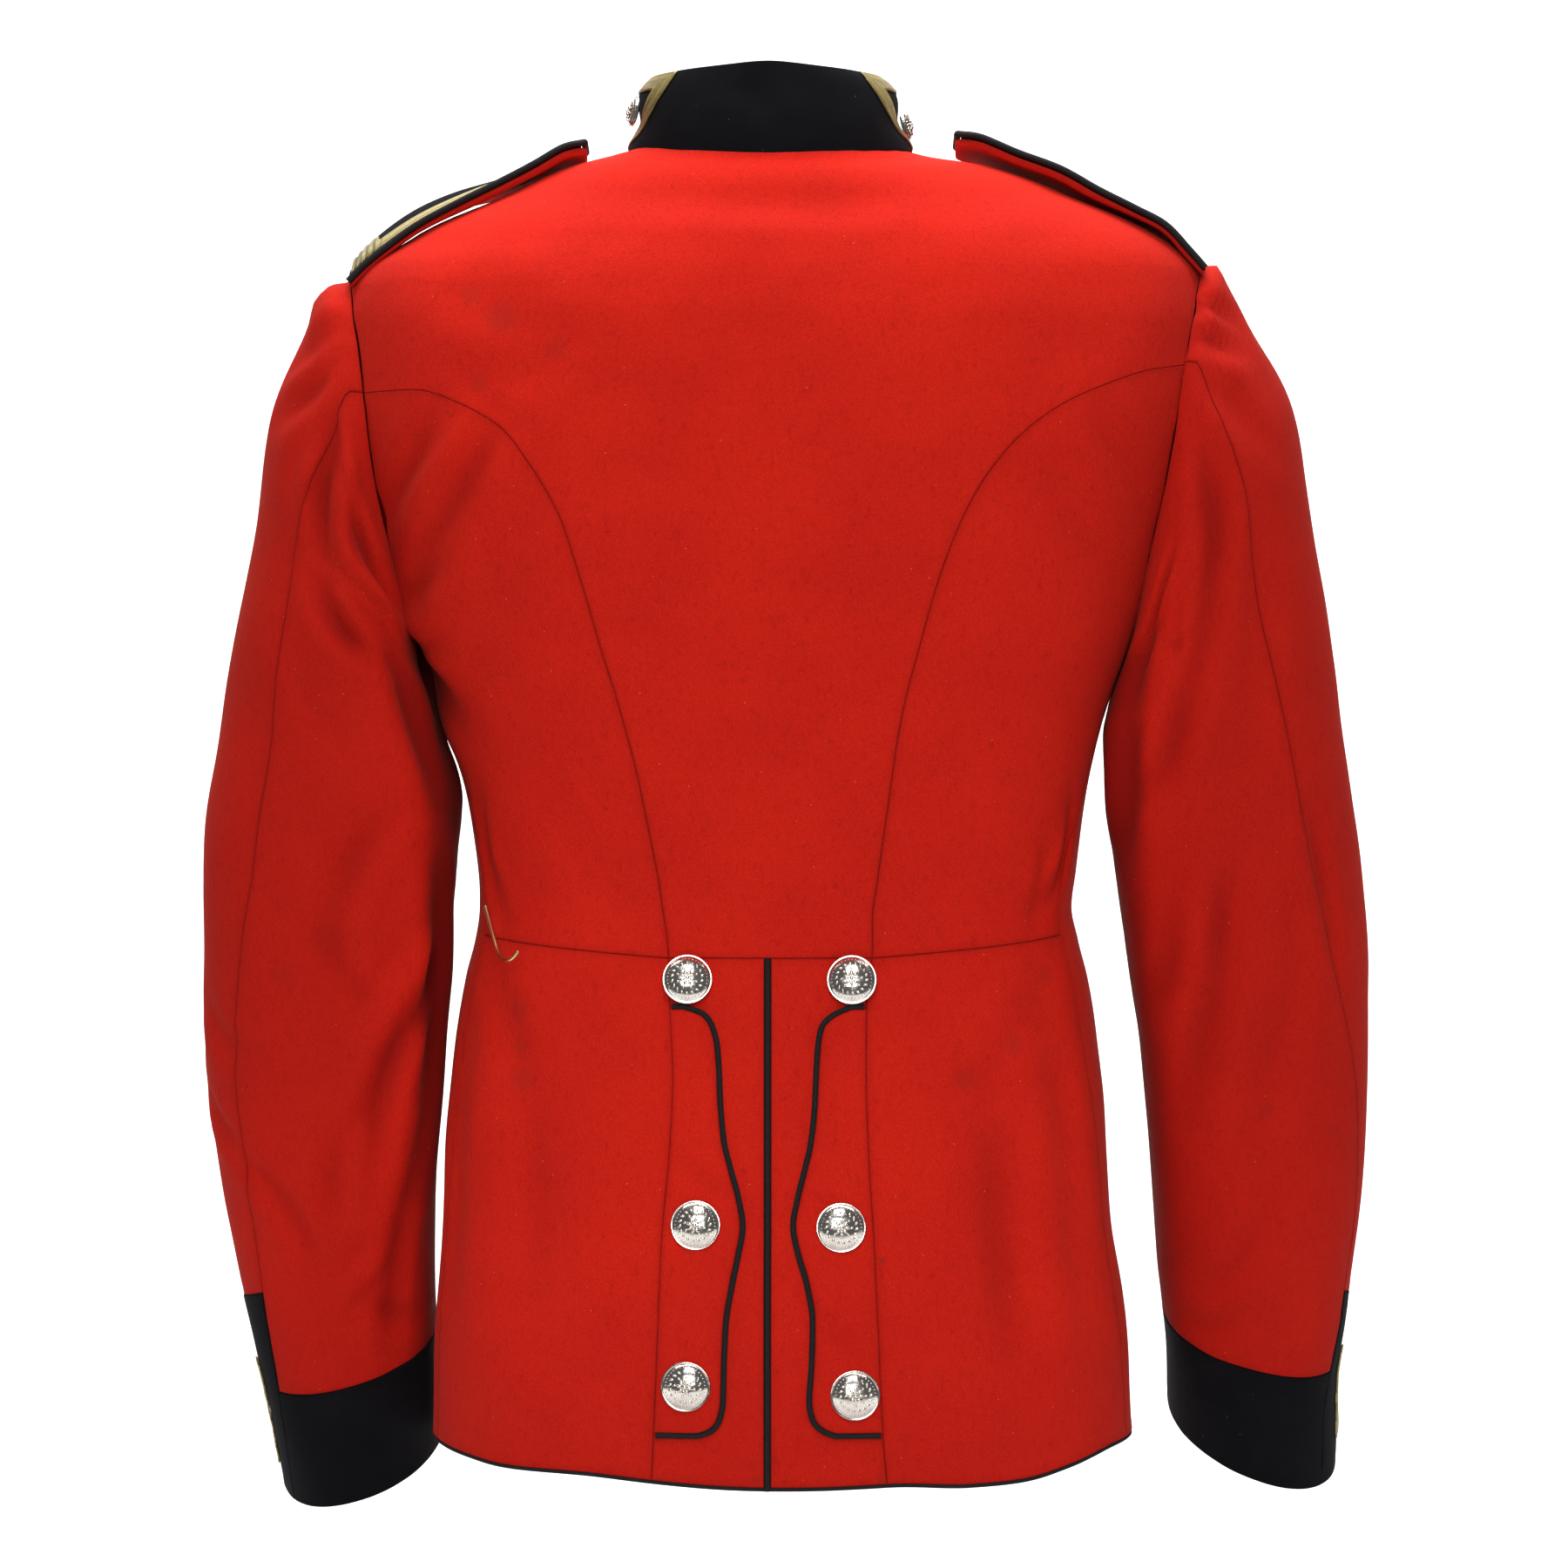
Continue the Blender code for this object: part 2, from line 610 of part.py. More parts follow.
def wall(name, middle, normal, thickness, finish, lift=0.0, ring=False):
    """A closed wall on a grid of mid points. On a ring the last column meets the first again."""
    rows, columns = middle.shape[:2]
    outer = middle + normal * (lift + thickness / 2)
    inner = middle + normal * (lift - thickness / 2)
    points = np.concatenate([outer.reshape(-1, 3), inner.reshape(-1, 3)])
    index = np.arange(rows * columns).reshape(rows, columns)
    if ring:
        index = np.concatenate([index, index[:, :1]], axis=1)
        borders = [index[0, :-1], index[-1, :-1]]
    else:
        borders = [np.concatenate([index[0, :-1], index[:-1, -1], index[-1, :0:-1], index[:0:-1, 0]])]
    quads = np.stack([index[:-1, :-1], index[1:, :-1], index[1:, 1:], index[:-1, 1:]], -1).reshape(-1, 4)
    below = rows * columns
    faces = [*quads, *(quads[:, ::-1] + below)]
    for border in borders:
        following = np.roll(border, -1)
        faces += [*np.stack([border, following, following + below, border + below], -1)]
    return add_mesh(name, points, faces, finish)


HALF_GAP = SEAM_GAP / 2
SEAMS = (HALF_GAP,) * 4


def body_panel(name, places, gaps=SEAMS, finish="red_cloth"):
    """A body panel's wall on a grid of (turn, side height)."""
    middle = body_point(places[..., 0], places[..., 1])
    normal = body_normal(places[..., 0], places[..., 1])
    return wall(name, inset(middle, gaps), normal, CLOTH, finish)


def ruled(left, right, columns):
    """A grid between two seams with as many points each."""
    part = np.linspace(0, 1, columns + 1)[None, :, None]
    return left[:, None] * (1 - part) + right[:, None] * part


def patch(left, right, bottom, top):
    """A grid that meets four seams, which share their corners."""
    down = np.linspace(0, 1, len(left))[:, None, None]
    over = np.linspace(0, 1, len(bottom))[None, :, None]
    corners = (
        (1 - down) * ((1 - over) * bottom[0] + over * bottom[-1])
        + down * ((1 - over) * top[0] + over * top[-1])
    )
    return (1 - down) * bottom + down * top + (1 - over) * left[:, None] + over * right[:, None] - corners


def tube(name, points, radius, finish):
    """A round cord along points in millimetres, as a bevelled curve with its ends capped."""
    curve = bpy.data.curves.new(name, "CURVE")
    curve.dimensions = "3D"
    curve.bevel_depth = radius * MM
    curve.bevel_resolution = 1
    curve.use_fill_caps = True
    line = curve.splines.new("POLY")
    line.points.add(len(points) - 1)
    for point, place in zip(line.points, points * MM):
        point.co = (*place, 1.0)
    return add_object(name, curve, finish)


def stand_on(place, out):
    """The matrix that puts an upright object's base at a place, in millimetres, with its axis along a normal."""
    turn = Vector((0, 0, 1)).rotation_difference(Vector(out))
    return Matrix.Translation(Vector(place) * MM) @ turn.to_matrix().to_4x4()


def button_mesh(name, radius):
    """A domed button turned from its profile: a dome that falls to a thin rim, and a flat back."""
    profile = (
        (0.0, 0.40),
        (0.34, 0.37),
        (0.62, 0.27),
        (0.84, 0.12),
        (0.90, 0.11),
        (1.0, 0.09),
        (0.98, 0.0),
        (0.0, 0.0),
    )
    mesh = bpy.data.meshes.new(name)
    points = [(across * radius * MM, 0.0, height * radius * MM) for across, height in profile]
    mesh.from_pydata(points, [(i, i + 1) for i in range(len(points) - 1)], [])
    return mesh


def add_button(name, radius, place, out, clearance):
    """A button whose back lies this far off a place along its normal."""
    made = add_object(name, button_mesh(name, radius), "silver_button")
    screw = made.modifiers.new("turn", "SCREW")
    screw.steps = BUTTON_STEPS
    screw.render_steps = BUTTON_STEPS
    screw.use_merge_vertices = True
    screw.merge_threshold = 0.00001
    made.matrix_world = stand_on(place + out * clearance, out)
    return made


# ---------------------------------------------------------------- the seams of the body


def side_back_seam(side):
    """Places along the curved side-back seam from the waist to the armhole."""
    names = (side + "_z", side + "_across")
    rows = SIDE_BACK.rows[:, [SIDE_BACK_COLUMNS.index(name) for name in names]]
    seam = body_place(rows[:, 1] * SIDES[side], rows[:, 0])
    corner = armhole_place(loop_keys(side)[1], side)
    return np.concatenate([seam, corner[None]])


def hem_height(turn):
    """The hem's side height at a turn."""
    return HEM_LINE.at("side_z", np.degrees(turn) % 360)


def side_seam(side, heights):
    """Places along the side seam at these side heights."""
    turn = np.radians(SIDE_SEAM.at(side + "_round", heights))
    return np.stack([mirrored(turn, side), heights], -1)


def upper_side_seam(side):
    """The side seam from the waist to the armhole, with a point for each of the side-back seam's."""
    seam = side_back_seam(side)
    points = body_point(seam[:, 0], seam[:, 1])
    run = np.concatenate([[0], np.cumsum(np.linalg.norm(np.diff(points, axis=0), axis=1))])
    share = run / run[-1]
    end = armhole_place(SIDE_SEAM_TURN, side)
    heights = WAIST_SIDE + (end[1] - WAIST_SIDE) * share
    places = side_seam(side, heights)
    places[-1] = end
    return places


def to_hem(places):
    """A seam that runs down, with its last place put on the hem."""
    places[-1, 1] = hem_height(places[-1, 0])
    return places


SKIRT_SHARES = np.array([0, 0.1, 0.24, 0.41, 0.55, 0.74, 0.91, 1.0])


def plait_seam(side):
    """Places along the plait seam, from the waist down to the hem."""
    heights = WAIST_CENTRE + (PLAIT_ROWS[-1][0] - WAIST_CENTRE) * SKIRT_SHARES
    across = PLAIT.at(side + "_across", heights) * SIDES[side]
    return to_hem(body_place(across, heights))


def vent_edge():
    """Places down the centre vent, from the waist to the hem."""
    heights = WAIST_CENTRE + (HEM - 18 - WAIST_CENTRE) * SKIRT_SHARES
    return to_hem(body_place(np.full(len(heights), VENT_ACROSS), heights))


def lower_side_seam(side):
    """The side seam from the waist down to the hem."""
    return to_hem(side_seam(side, WAIST_SIDE + (HEM - WAIST_SIDE) * SKIRT_SHARES))


def front_edge(heights):
    """Places down the front edge at these side heights."""
    return np.stack(
        [
            -np.arccos(
                np.clip((FRONT_EDGE_ACROSS - BODY.at("shift", heights)) / BODY.at("half_width", heights), -1, 1)
            ),
            heights,
        ],
        -1,
    )


SHOULDER_SEAM = np.array([-40.0, -19.0, -2.0, NECK])


def shoulder_seam(side):
    """Places along the shoulder seam, from the armhole to the neck, without its armhole end."""
    turn = np.full(len(SHOULDER_SEAM), mirrored(0.0, side))
    return np.stack([turn, SHOULDER_SEAM], -1)


# ---------------------------------------------------------------- the pieces


def make_back():
    """The back, from the waist to the neck and from armhole to armhole."""
    edges = []
    for side in SIDES:
        armhole = armhole_place(loop_turns(side, 0, 1)[::-1][1:], side)
        edges.append(np.concatenate([side_back_seam(side), armhole, shoulder_seam(side)]))
    body_panel("back", ruled(edges[0], edges[1], 14))


def make_side_body(side):
    """A side body, between the side-back seam, the waist, the side seam and the armhole."""
    left, right = side_back_seam(side), upper_side_seam(side)
    top = armhole_place(loop_turns(side, 1, 2), side)
    part = np.linspace(0, 1, len(top))[:, None]
    bottom = left[0] * (1 - part) + right[0] * part
    body_panel("side_body_" + side, patch(left, right, bottom, top))


def front_side_edge(side):
    """The forepart's side edge: up the side seam, round the armhole's front and along the shoulder."""
    armhole = armhole_place(loop_turns(side, 2, 4)[1:], side)
    return np.concatenate([lower_side_seam(side)[::-1], upper_side_seam(side)[1:], armhole, shoulder_seam(side)])


def make_forepart(side):
    """A forepart, from the side seam to the front edge and from the hem to the neck."""
    edge = front_side_edge(side)
    if side == "right":
        edge[:, 0] = np.where(edge[:, 0] > np.pi / 2, edge[:, 0] - 2 * np.pi, edge[:, 0])
    slot = SEAM_PIPE + SEAM_GAP
    places = ruled(edge, front_edge(edge[:, 1]), 8)
    places[0, :, 1] = hem_height(places[0, :, 0])
    body_panel("forepart_" + side, places, (HALF_GAP,) * 3 + (slot,))


def make_skirts(side):
    """The centre skirt, from the vent to the plait seam, and the side skirt, on to the side seam."""
    slot = SEAM_PIPE + SEAM_GAP
    vent, plait, seam = vent_edge(), plait_seam(side), lower_side_seam(side)
    body_panel("centre_skirt_" + side, ruled(vent, plait, 3), (HALF_GAP, HALF_GAP, slot, HALF_GAP))
    places = ruled(plait, seam, 6)
    places[-1, :, 1] = hem_height(places[-1, :, 0])
    body_panel("side_skirt_" + side, places)


def make_sleeve(side):
    """The top and under sleeve, and the top and under cuff."""
    table = SLEEVES[side]

    def grid(top_half, stations):
        if top_half:
            turns = np.concatenate([loop_turns(side, 3, 4), 360 + loop_turns(side, 0, 1)[1:]])
        else:
            turns = loop_turns(side, 1, 3)
        share = (turns - turns[0]) / (turns[-1] - turns[0])
        section = np.broadcast_to(stations, (len(stations), len(share))) if stations.ndim > 1 else stations
        hind, fore = table.at("hind_turn", section), table.at("fore_turn", section)
        start, end = (fore, hind + 360) if top_half else (hind, fore)
        turn = np.radians(start + (end - start) * share)
        return sleeve_point(side, turn, section), sleeve_normal(side, turn, section)

    def rows(top_half, near_hind, near_fore):
        count = sum(LOOP_PARTS[i] for i in ((3, 0) if top_half else (1, 2)))
        part = np.linspace(0, 1, count + 1)
        part = part if top_half else 1 - part
        return np.array(near_fore)[:, None] * (1 - part) + np.array(near_hind)[:, None] * part

    long_rows = list(SLEEVE_STATIONS)
    top = rows(True, long_rows + [9.4, 9.6, CUFF_TALL], long_rows + [9.4, CUFF_TALL, CUFF_LOW])
    under = rows(False, long_rows + [9.4, CUFF_TALL, CUFF_LOW], long_rows + [9.4, CUFF_TALL, CUFF_LOW])
    under_rows = [CUFF_LOW, 10.95, 11.3, 11.65, CUFF_END]
    top_cuff = rows(True, [CUFF_TALL, CUFF_LOW, 10.95, 11.3, 11.65, CUFF_END], [CUFF_LOW, 10.78, *under_rows[1:]])
    under_cuff = rows(False, under_rows, under_rows)
    pieces = (
        ("top_sleeve_", True, top, "red_cloth", 0.0),
        ("under_sleeve_", False, under, "red_cloth", 0.0),
        ("top_cuff_", True, top_cuff, "black_cloth", HALF_GAP),
        ("under_cuff_", False, under_cuff, "black_cloth", HALF_GAP),
    )
    for prefix, top_half, stations, finish, first_gap in pieces:
        middle, normal = grid(top_half, stations)
        gaps = (first_gap, HALF_GAP, HALF_GAP, HALF_GAP)
        wall(prefix + side, inset(middle, gaps), normal, CLOTH, finish)


def make_cuff_lace(side):
    """The scalloped strip of lace that stands on the top cuff, wider at its tip."""
    rows = np.array(CUFF_LACE_ROWS)
    turn = np.radians(CUFF_LACE_TURN)
    radius = SLEEVES[side].at("half_depth", rows[:, 0])
    turns = turn + (rows[:, 1] / radius)[:, None] * np.linspace(-1, 1, 3)
    sections = np.repeat(rows[:, :1], 3, axis=1)
    middle = sleeve_point(side, turns, sections)
    normal = sleeve_normal(side, turns, sections)
    wall("cuff_lace_" + side, middle, normal, LACE, "gold_lace", CLOTH / 2 + SEAM_GAP + CUFF_SAG + LACE / 2)


def make_collar():
    """The stand collar, open at the centre front."""
    opening = np.radians(COLLAR_HALF_OPENING)
    turns = np.linspace(-np.pi / 2 + opening, 3 * np.pi / 2 - opening, 33)
    turn, rise = np.meshgrid(turns, [0, 0.4, 0.7, 0.87, 1])
    wall("collar", collar_point(turn, rise), collar_normal(turn, rise), CLOTH, "black_cloth")


def collar_rear_turn(side, rise):
    """The turn, in degrees from the wearer's side line, of the collar lace's rear edge at this rise."""
    place = COLLAR_LACE[side]
    across = place["seam_across"] + (place["top_across"] - place["seam_across"]) * rise
    reach = (across - COLLAR.at("shift", rise)) / (COLLAR.at("half_width", rise) - CLOTH / 2)
    return np.degrees(np.arccos(np.clip(np.abs(reach), 0, 1)))


def collar_lace_path(side, inward):
    """The lace frame's line on the collar at this distance in from its outer edge, as (degrees, rise)."""
    per_degree = COLLAR_GIRTH_RADIUS * np.pi / 180
    low, high = 0.03 + inward / COLLAR_HEIGHT, 0.97 - inward / COLLAR_HEIGHT
    front = -87.5 + inward / per_degree
    rises = np.linspace(low, high, 5)
    rear = collar_rear_turn(side, rises) - 1.25 * inward / per_degree
    top = np.stack([np.linspace(rear[-1], front, 11), np.full(11, high)], -1)
    fore = np.stack([np.full(3, front), np.linspace(high, low, 3)], -1)
    base = np.stack([np.linspace(front, rear[0], 9), np.full(9, low)], -1)
    slope = np.stack([rear, rises], -1)
    return np.concatenate([top[:-1], fore[:-1], base[:-1], slope[:-1]])


def make_collar_lace(side):
    """A frame of lace on one side of the collar, with its rear band slanted."""
    lines = np.stack([collar_lace_path(side, inward) for inward in (0.0, LACE_WIDTH / 2, LACE_WIDTH)])
    turn, rise = mirrored(np.radians(lines[..., 0]), side), lines[..., 1]
    lift = CLOTH / 2 + SEAM_GAP + COLLAR_SAG + LACE / 2
    middle, normal = collar_point(turn, rise), collar_normal(turn, rise)
    wall("collar_lace_" + side, middle, normal, LACE, "gold_lace", lift, ring=True)
    turn = mirrored(np.radians(COLLAR_LACE[side]["button_turn"]), side)
    rise = COLLAR_LACE[side]["button_rise"]
    place, out = collar_point(turn, rise), collar_normal(turn, rise)
    base = {"left": CLOTH / 2, "right": lift + LACE / 2}[side]
    add_button("collar_button_" + side, SMALL_BUTTON, place, out, base + COLLAR_BUTTON_GAP)


def make_slash(side):
    """A slash flap on the centre skirt, from the plait seam to its piped edge, and the piping."""
    rows = SLASH.rows[::-1]
    heights, across = rows[:, 0], rows[:, SLASH_COLUMNS.index(side + "_across")]
    seam = PLAIT.at(side + "_across", heights)
    line = np.stack([across, heights], -1)
    along = np.gradient(line, axis=0)
    aside = np.stack([-along[:, 1], along[:, 0]], -1)
    aside /= np.linalg.norm(aside, axis=1, keepdims=True)
    edge = line + aside * (SLASH_PIPE + SEAM_GAP) * np.where(aside[:, :1] < 0, -1, 1)
    outer = np.stack([seam - HALF_GAP, edge[:, 1]], -1)
    flat = ruled(outer, edge, 2)
    places = body_place(flat[..., 0] * SIDES[side], flat[..., 1])
    middle, normal = body_point(places[..., 0], places[..., 1]), body_normal(places[..., 0], places[..., 1])
    lift = CLOTH / 2 + SEAM_GAP + FACET_SAG + FLAP_CLOTH / 2
    wall("slash_flap_" + side, middle, normal, FLAP_CLOTH, "red_cloth", lift)
    ends = np.array([[seam[0] - 1, heights[0]]]), np.array([[seam[-1] - 1, heights[-1]]])
    path = np.concatenate([ends[0], line, ends[1]])
    places = body_place(path[:, 0] * SIDES[side], path[:, 1])
    height = CLOTH / 2 + SEAM_GAP + SLASH_PIPE
    points = body_point(places[:, 0], places[:, 1]) + body_normal(places[:, 0], places[:, 1]) * height
    tube("slash_piping_" + side, points, SLASH_PIPE, "black_piping")


def make_piping():
    """The cords in the vent and down the front edge, and the hem cords from the vent to the front edge."""
    vent = vent_edge()
    points = body_point(vent[:, 0], vent[:, 1])
    points[0, 2] -= 1.0
    tube("vent_piping", points, SEAM_PIPE, "black_piping")
    edge = front_edge(front_side_edge("left")[:, 1])
    points = body_point(edge[:, 0], edge[:, 1])
    points[-1, 2] -= 1.0
    tube("front_piping", points, SEAM_PIPE, "black_piping")
    drop = np.array([0, 0, -(HEM_PIPE + SEAM_GAP)])
    front = float(front_edge(hem_height(np.array([-np.pi / 2])))[0, 0])
    for side in SIDES:
        plait = float(plait_seam(side)[-1, 0])
        seam = float(lower_side_seam(side)[-1, 0])
        end = front if side == "left" else front + 2 * np.pi
        short = 0.012 if side == "left" else -0.012
        start = float(vent[-1, 0]) - short
        turns = np.concatenate(
            [
                np.linspace(start, plait, 4)[:-1],
                np.linspace(plait, seam, 7)[:-1],
                np.linspace(seam, end + short, 9),
            ]
        )
        points = body_point(turns, hem_height(turns)) + drop
        tube("hem_piping_" + side, points, HEM_PIPE, "black_piping")


def strap_edge(side, outward):
    """A line round the strap's two sides and neck end at this distance outside them."""
    stations = np.linspace(0, 8, STRAP_STEPS + 1)
    half = STRAPS[side].at("half_width", stations)
    step = np.gradient(strap_point(side, 0 * stations, stations), axis=0)
    length = np.linalg.norm(step, axis=1)
    onward = step / length[:, None]
    taper = np.gradient(half) / length
    lean = np.hypot(1, taper)
    reach = 1 + outward / lean / half
    shift = onward * (-taper * outward / lean)[:, None]
    rear = strap_point(side, reach, stations) + shift
    front = strap_point(side, -reach, stations) + shift
    first_turn = np.arctan(-taper[-1])
    corner = np.array([(first_turn + np.pi / 2) / 2, np.pi / 2])
    spread = 1.08 * outward
    corner_reach = 1 + spread * np.cos(corner) / half[-1]
    corner_out = onward[-1] * (spread * np.sin(corner))[:, None]
    rear_corner = strap_point(side, corner_reach, np.full(2, 8.0)) + corner_out
    front_corner = strap_point(side, -corner_reach, np.full(2, 8.0)) + corner_out
    return np.concatenate([rear, rear_corner, front_corner[::-1], front[::-1]])


def strap_lace_path(side, inward):
    """The lace frame's line on the strap at this distance in from its edge, as (across, station)."""
    share = (inward - STRAP_LACE_INSET) / LACE_WIDTH
    run = np.linspace(0.3 + STRAP_END_LACE * share, 7.75 - share, STRAP_STEPS - 1)
    reach = 1 - inward / STRAPS[side].at("half_width", run)
    rear, front = np.stack([reach, run], -1), np.stack([-reach, run], -1)
    over = np.linspace(1, -1, 7)[1:-1]
    tip = np.stack([over * reach[-1], run[-1] + 0.1 * (1 - over**2)], -1)
    end = np.stack([-over * reach[0], np.full(5, run[0])], -1)
    return np.concatenate([rear, tip, front[::-1], end])


def make_strap(side):
    """A shoulder strap: its cloth, lining, piped edge, lace frame and button."""
    across, station = np.meshgrid(np.linspace(-1, 1, 7), np.linspace(0, 8, STRAP_STEPS + 1))
    middle, normal = strap_point(side, across, station), strap_normal(side, across, station)
    below = -(STRAP_CLOTH + STRAP_LINING) / 2 - SEAM_GAP
    wall("strap_" + side, middle, normal, STRAP_CLOTH, "black_cloth")
    wall("strap_lining_" + side, middle, normal, STRAP_LINING, "red_cloth", below)
    edge = strap_edge(side, STRAP_PIPE + SEAM_GAP) - np.array([0, 0, STRAP_LINING / 2])
    tube("strap_piping_" + side, edge, STRAP_PIPE, "black_piping")
    lift = STRAP_CLOTH / 2 + SEAM_GAP + STRAP_SAG + LACE / 2
    lines = np.stack([strap_lace_path(side, STRAP_LACE_INSET + inward) for inward in (0.0, LACE_WIDTH)])
    middle, normal = strap_point(side, lines[..., 0], lines[..., 1]), strap_normal(side, lines[..., 0], lines[..., 1])
    wall("strap_lace_" + side, middle, normal, LACE, "gold_lace", lift, ring=True)
    place = strap_point(side, 0.0, STRAP_BUTTON_STATION)
    out = strap_normal(side, np.array(0.0), np.array(STRAP_BUTTON_STATION))
    add_button("strap_button_" + side, SMALL_BUTTON, place, out, lift + LACE / 2 + SEAM_GAP)


def make_body_buttons():
    """The six back buttons, of which four stand on the slash flaps, and the row down the front."""
    flap = CLOTH / 2 + SEAM_GAP + FACET_SAG + FLAP_CLOTH
    piping = CLOTH / 2 + SEAM_GAP + 1.6 * SLASH_PIPE
    for name, (across, z) in BACK_BUTTONS.items():
        turn, height = body_place(across, z)
        place, out = body_point(turn, height), body_normal(turn, height)
        below = piping if name.startswith("waist") else flap
        add_button("back_button_" + name, COAT_BUTTON, place, out, below + SEAM_GAP)
    for number, z in enumerate(np.linspace(FRONT_BUTTON_TOP, FRONT_BUTTON_BOTTOM, FRONT_BUTTON_COUNT)):
        turn, height = body_place(0.0, z, "front")
        place, out = body_point(turn, height), body_normal(turn, height)
        add_button(f"front_button_{number + 1}", COAT_BUTTON, place, out, CLOTH / 2 + 1.5 * SEAM_GAP)


def make_hook():
    """The belt hook, a bent wire that leaves the left side seam at the waist."""
    rows = np.array(HOOK_ROWS)
    places = body_place(rows[:, 0], rows[:, 1])
    out = body_normal(places[:, 0], places[:, 1])
    points = body_point(places[:, 0], places[:, 1]) + out * rows[:, 2:]
    tube("belt_hook", points, HOOK_WIRE, "brass_wire")


def clear_scene():
    """Removes what the scene holds."""
    for thing in list(bpy.data.objects):
        bpy.data.objects.remove(thing, do_unlink=True)


clear_scene()
TUNIC = bpy.data.collections.new("dress_tunic")
bpy.context.scene.collection.children.link(TUNIC)
MATERIALS = make_materials()

make_back()
make_collar()
for wearer_side in SIDES:
    make_side_body(wearer_side)
    make_forepart(wearer_side)
    make_skirts(wearer_side)
    make_sleeve(wearer_side)
    make_cuff_lace(wearer_side)
    make_collar_lace(wearer_side)
    make_slash(wearer_side)
    make_strap(wearer_side)
make_piping()
make_body_buttons()
make_hook()
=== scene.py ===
"""Military dress tunic in its worn shape, with no wearer: wool, woven lace, piping, buttons and a belt hook.

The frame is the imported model's, in metres. Lengths in the tables are millimetres and angles are degrees.
+X is the wearer's left and the front faces -Y. A place on the body is named by its turn, from the left side
round by the back, and its side height. A place on a sleeve is named by its turn and its section's number.
"""

import json
import logging
import math
from dataclasses import dataclass, field
from enum import Enum
from functools import partial
from typing import Any, Callable, Sequence

import bpy
import numpy as np
from mathutils import Matrix, Vector

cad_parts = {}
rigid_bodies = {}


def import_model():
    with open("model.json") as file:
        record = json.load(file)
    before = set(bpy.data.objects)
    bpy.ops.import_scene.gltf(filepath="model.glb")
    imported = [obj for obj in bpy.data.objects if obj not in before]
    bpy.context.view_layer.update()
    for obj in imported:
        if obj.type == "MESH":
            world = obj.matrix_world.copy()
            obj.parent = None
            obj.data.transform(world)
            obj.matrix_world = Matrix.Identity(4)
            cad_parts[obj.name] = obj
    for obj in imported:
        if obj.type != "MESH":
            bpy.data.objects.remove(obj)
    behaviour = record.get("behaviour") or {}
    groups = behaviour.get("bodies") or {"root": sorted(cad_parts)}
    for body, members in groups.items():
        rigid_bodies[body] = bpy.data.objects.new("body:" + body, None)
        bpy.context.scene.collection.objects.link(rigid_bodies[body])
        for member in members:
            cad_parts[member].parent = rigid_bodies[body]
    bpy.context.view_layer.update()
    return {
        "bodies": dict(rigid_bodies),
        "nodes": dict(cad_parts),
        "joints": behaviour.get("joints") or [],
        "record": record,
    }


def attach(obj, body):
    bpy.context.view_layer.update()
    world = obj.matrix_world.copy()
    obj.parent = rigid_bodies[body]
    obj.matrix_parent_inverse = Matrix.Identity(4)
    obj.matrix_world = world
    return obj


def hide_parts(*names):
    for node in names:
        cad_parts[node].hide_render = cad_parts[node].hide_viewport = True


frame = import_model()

Array = np.ndarray
Colour = tuple[float, float, float, float]
LOG = logging.getLogger("dress_tunic")
MM = 0.001
BODY_NAME = "root"

# ---------------------------------------------------------------- sizes, in millimetres and degrees

CLOTH = 2.0
FLAP_CLOTH = 1.5
STRAP_CLOTH = 1.4
STRAP_LINING = 1.0
LACE = 0.9
LACE_WIDTH = 10.5
SEAM_PIPE = 1.75
SLASH_PIPE = 1.4
HEM_PIPE = 1.1
STRAP_PIPE = 1.8
HOOK_WIRE = 1.0
COAT_BUTTON = 12.7
SMALL_BUTTON = 8.4
SEAM_ROLL = 0.7
ARMHOLE_ROLL = 0.4
ARMHOLE_GAP = 0.05
FREE_ROLL = 0.95
PITCH = 3.3
HALF_SLEEVE_GIRTH = 150.0
EDGE_STEPS = (0.0, 0.25, 0.6, 1.1, 1.9)
EDGE_STEPS_MOST = 0.2
SMALLEST_CUT = 0.0101
CUFF_STEP = 0.35
COLLAR_SEAT = 1.7
TINY = 1e-9
FAR = 1e3
PIECE_ENDING = "_piece"

# How a sheet's borders behave: how far they draw in what lies next to them, how thin a rolled edge
# ends, how far and from where a seam puckers, and how far its dark line reaches.
DRAW_IN_REACH = 2.2
ROLL_THINNEST = 0.015
PUCKER_REACH = 5.0
PUCKER_START = 1.2
SEAM_LINE_REACH = 1.3

# Painted shade on the body in the hollow between it and the sleeves: its strength as a depth, its reach in
# degrees, its foot, top and fading.
PAINTED_SHADE_DEPTH = 7.0
PAINTED_SHADE_REACH = 15
PAINTED_SHADE_FOOT = -440
PAINTED_SHADE_TOP = -150
PAINTED_SHADE_FADE = 60

WAIST_CENTRE = -411.5
WAIST_SIDE = -401.0
HEM = -664.0
SHOULDER = {"left": -61.0, "right": -56.0}
ARMPIT = -245.0
NECK = 6.0
VENT_ACROSS = 3.3
FRONT_EDGE_ACROSS = -14.0
SIDE_SEAM_TURN = 172.0
FORE_SEAM_TURN = 245.0
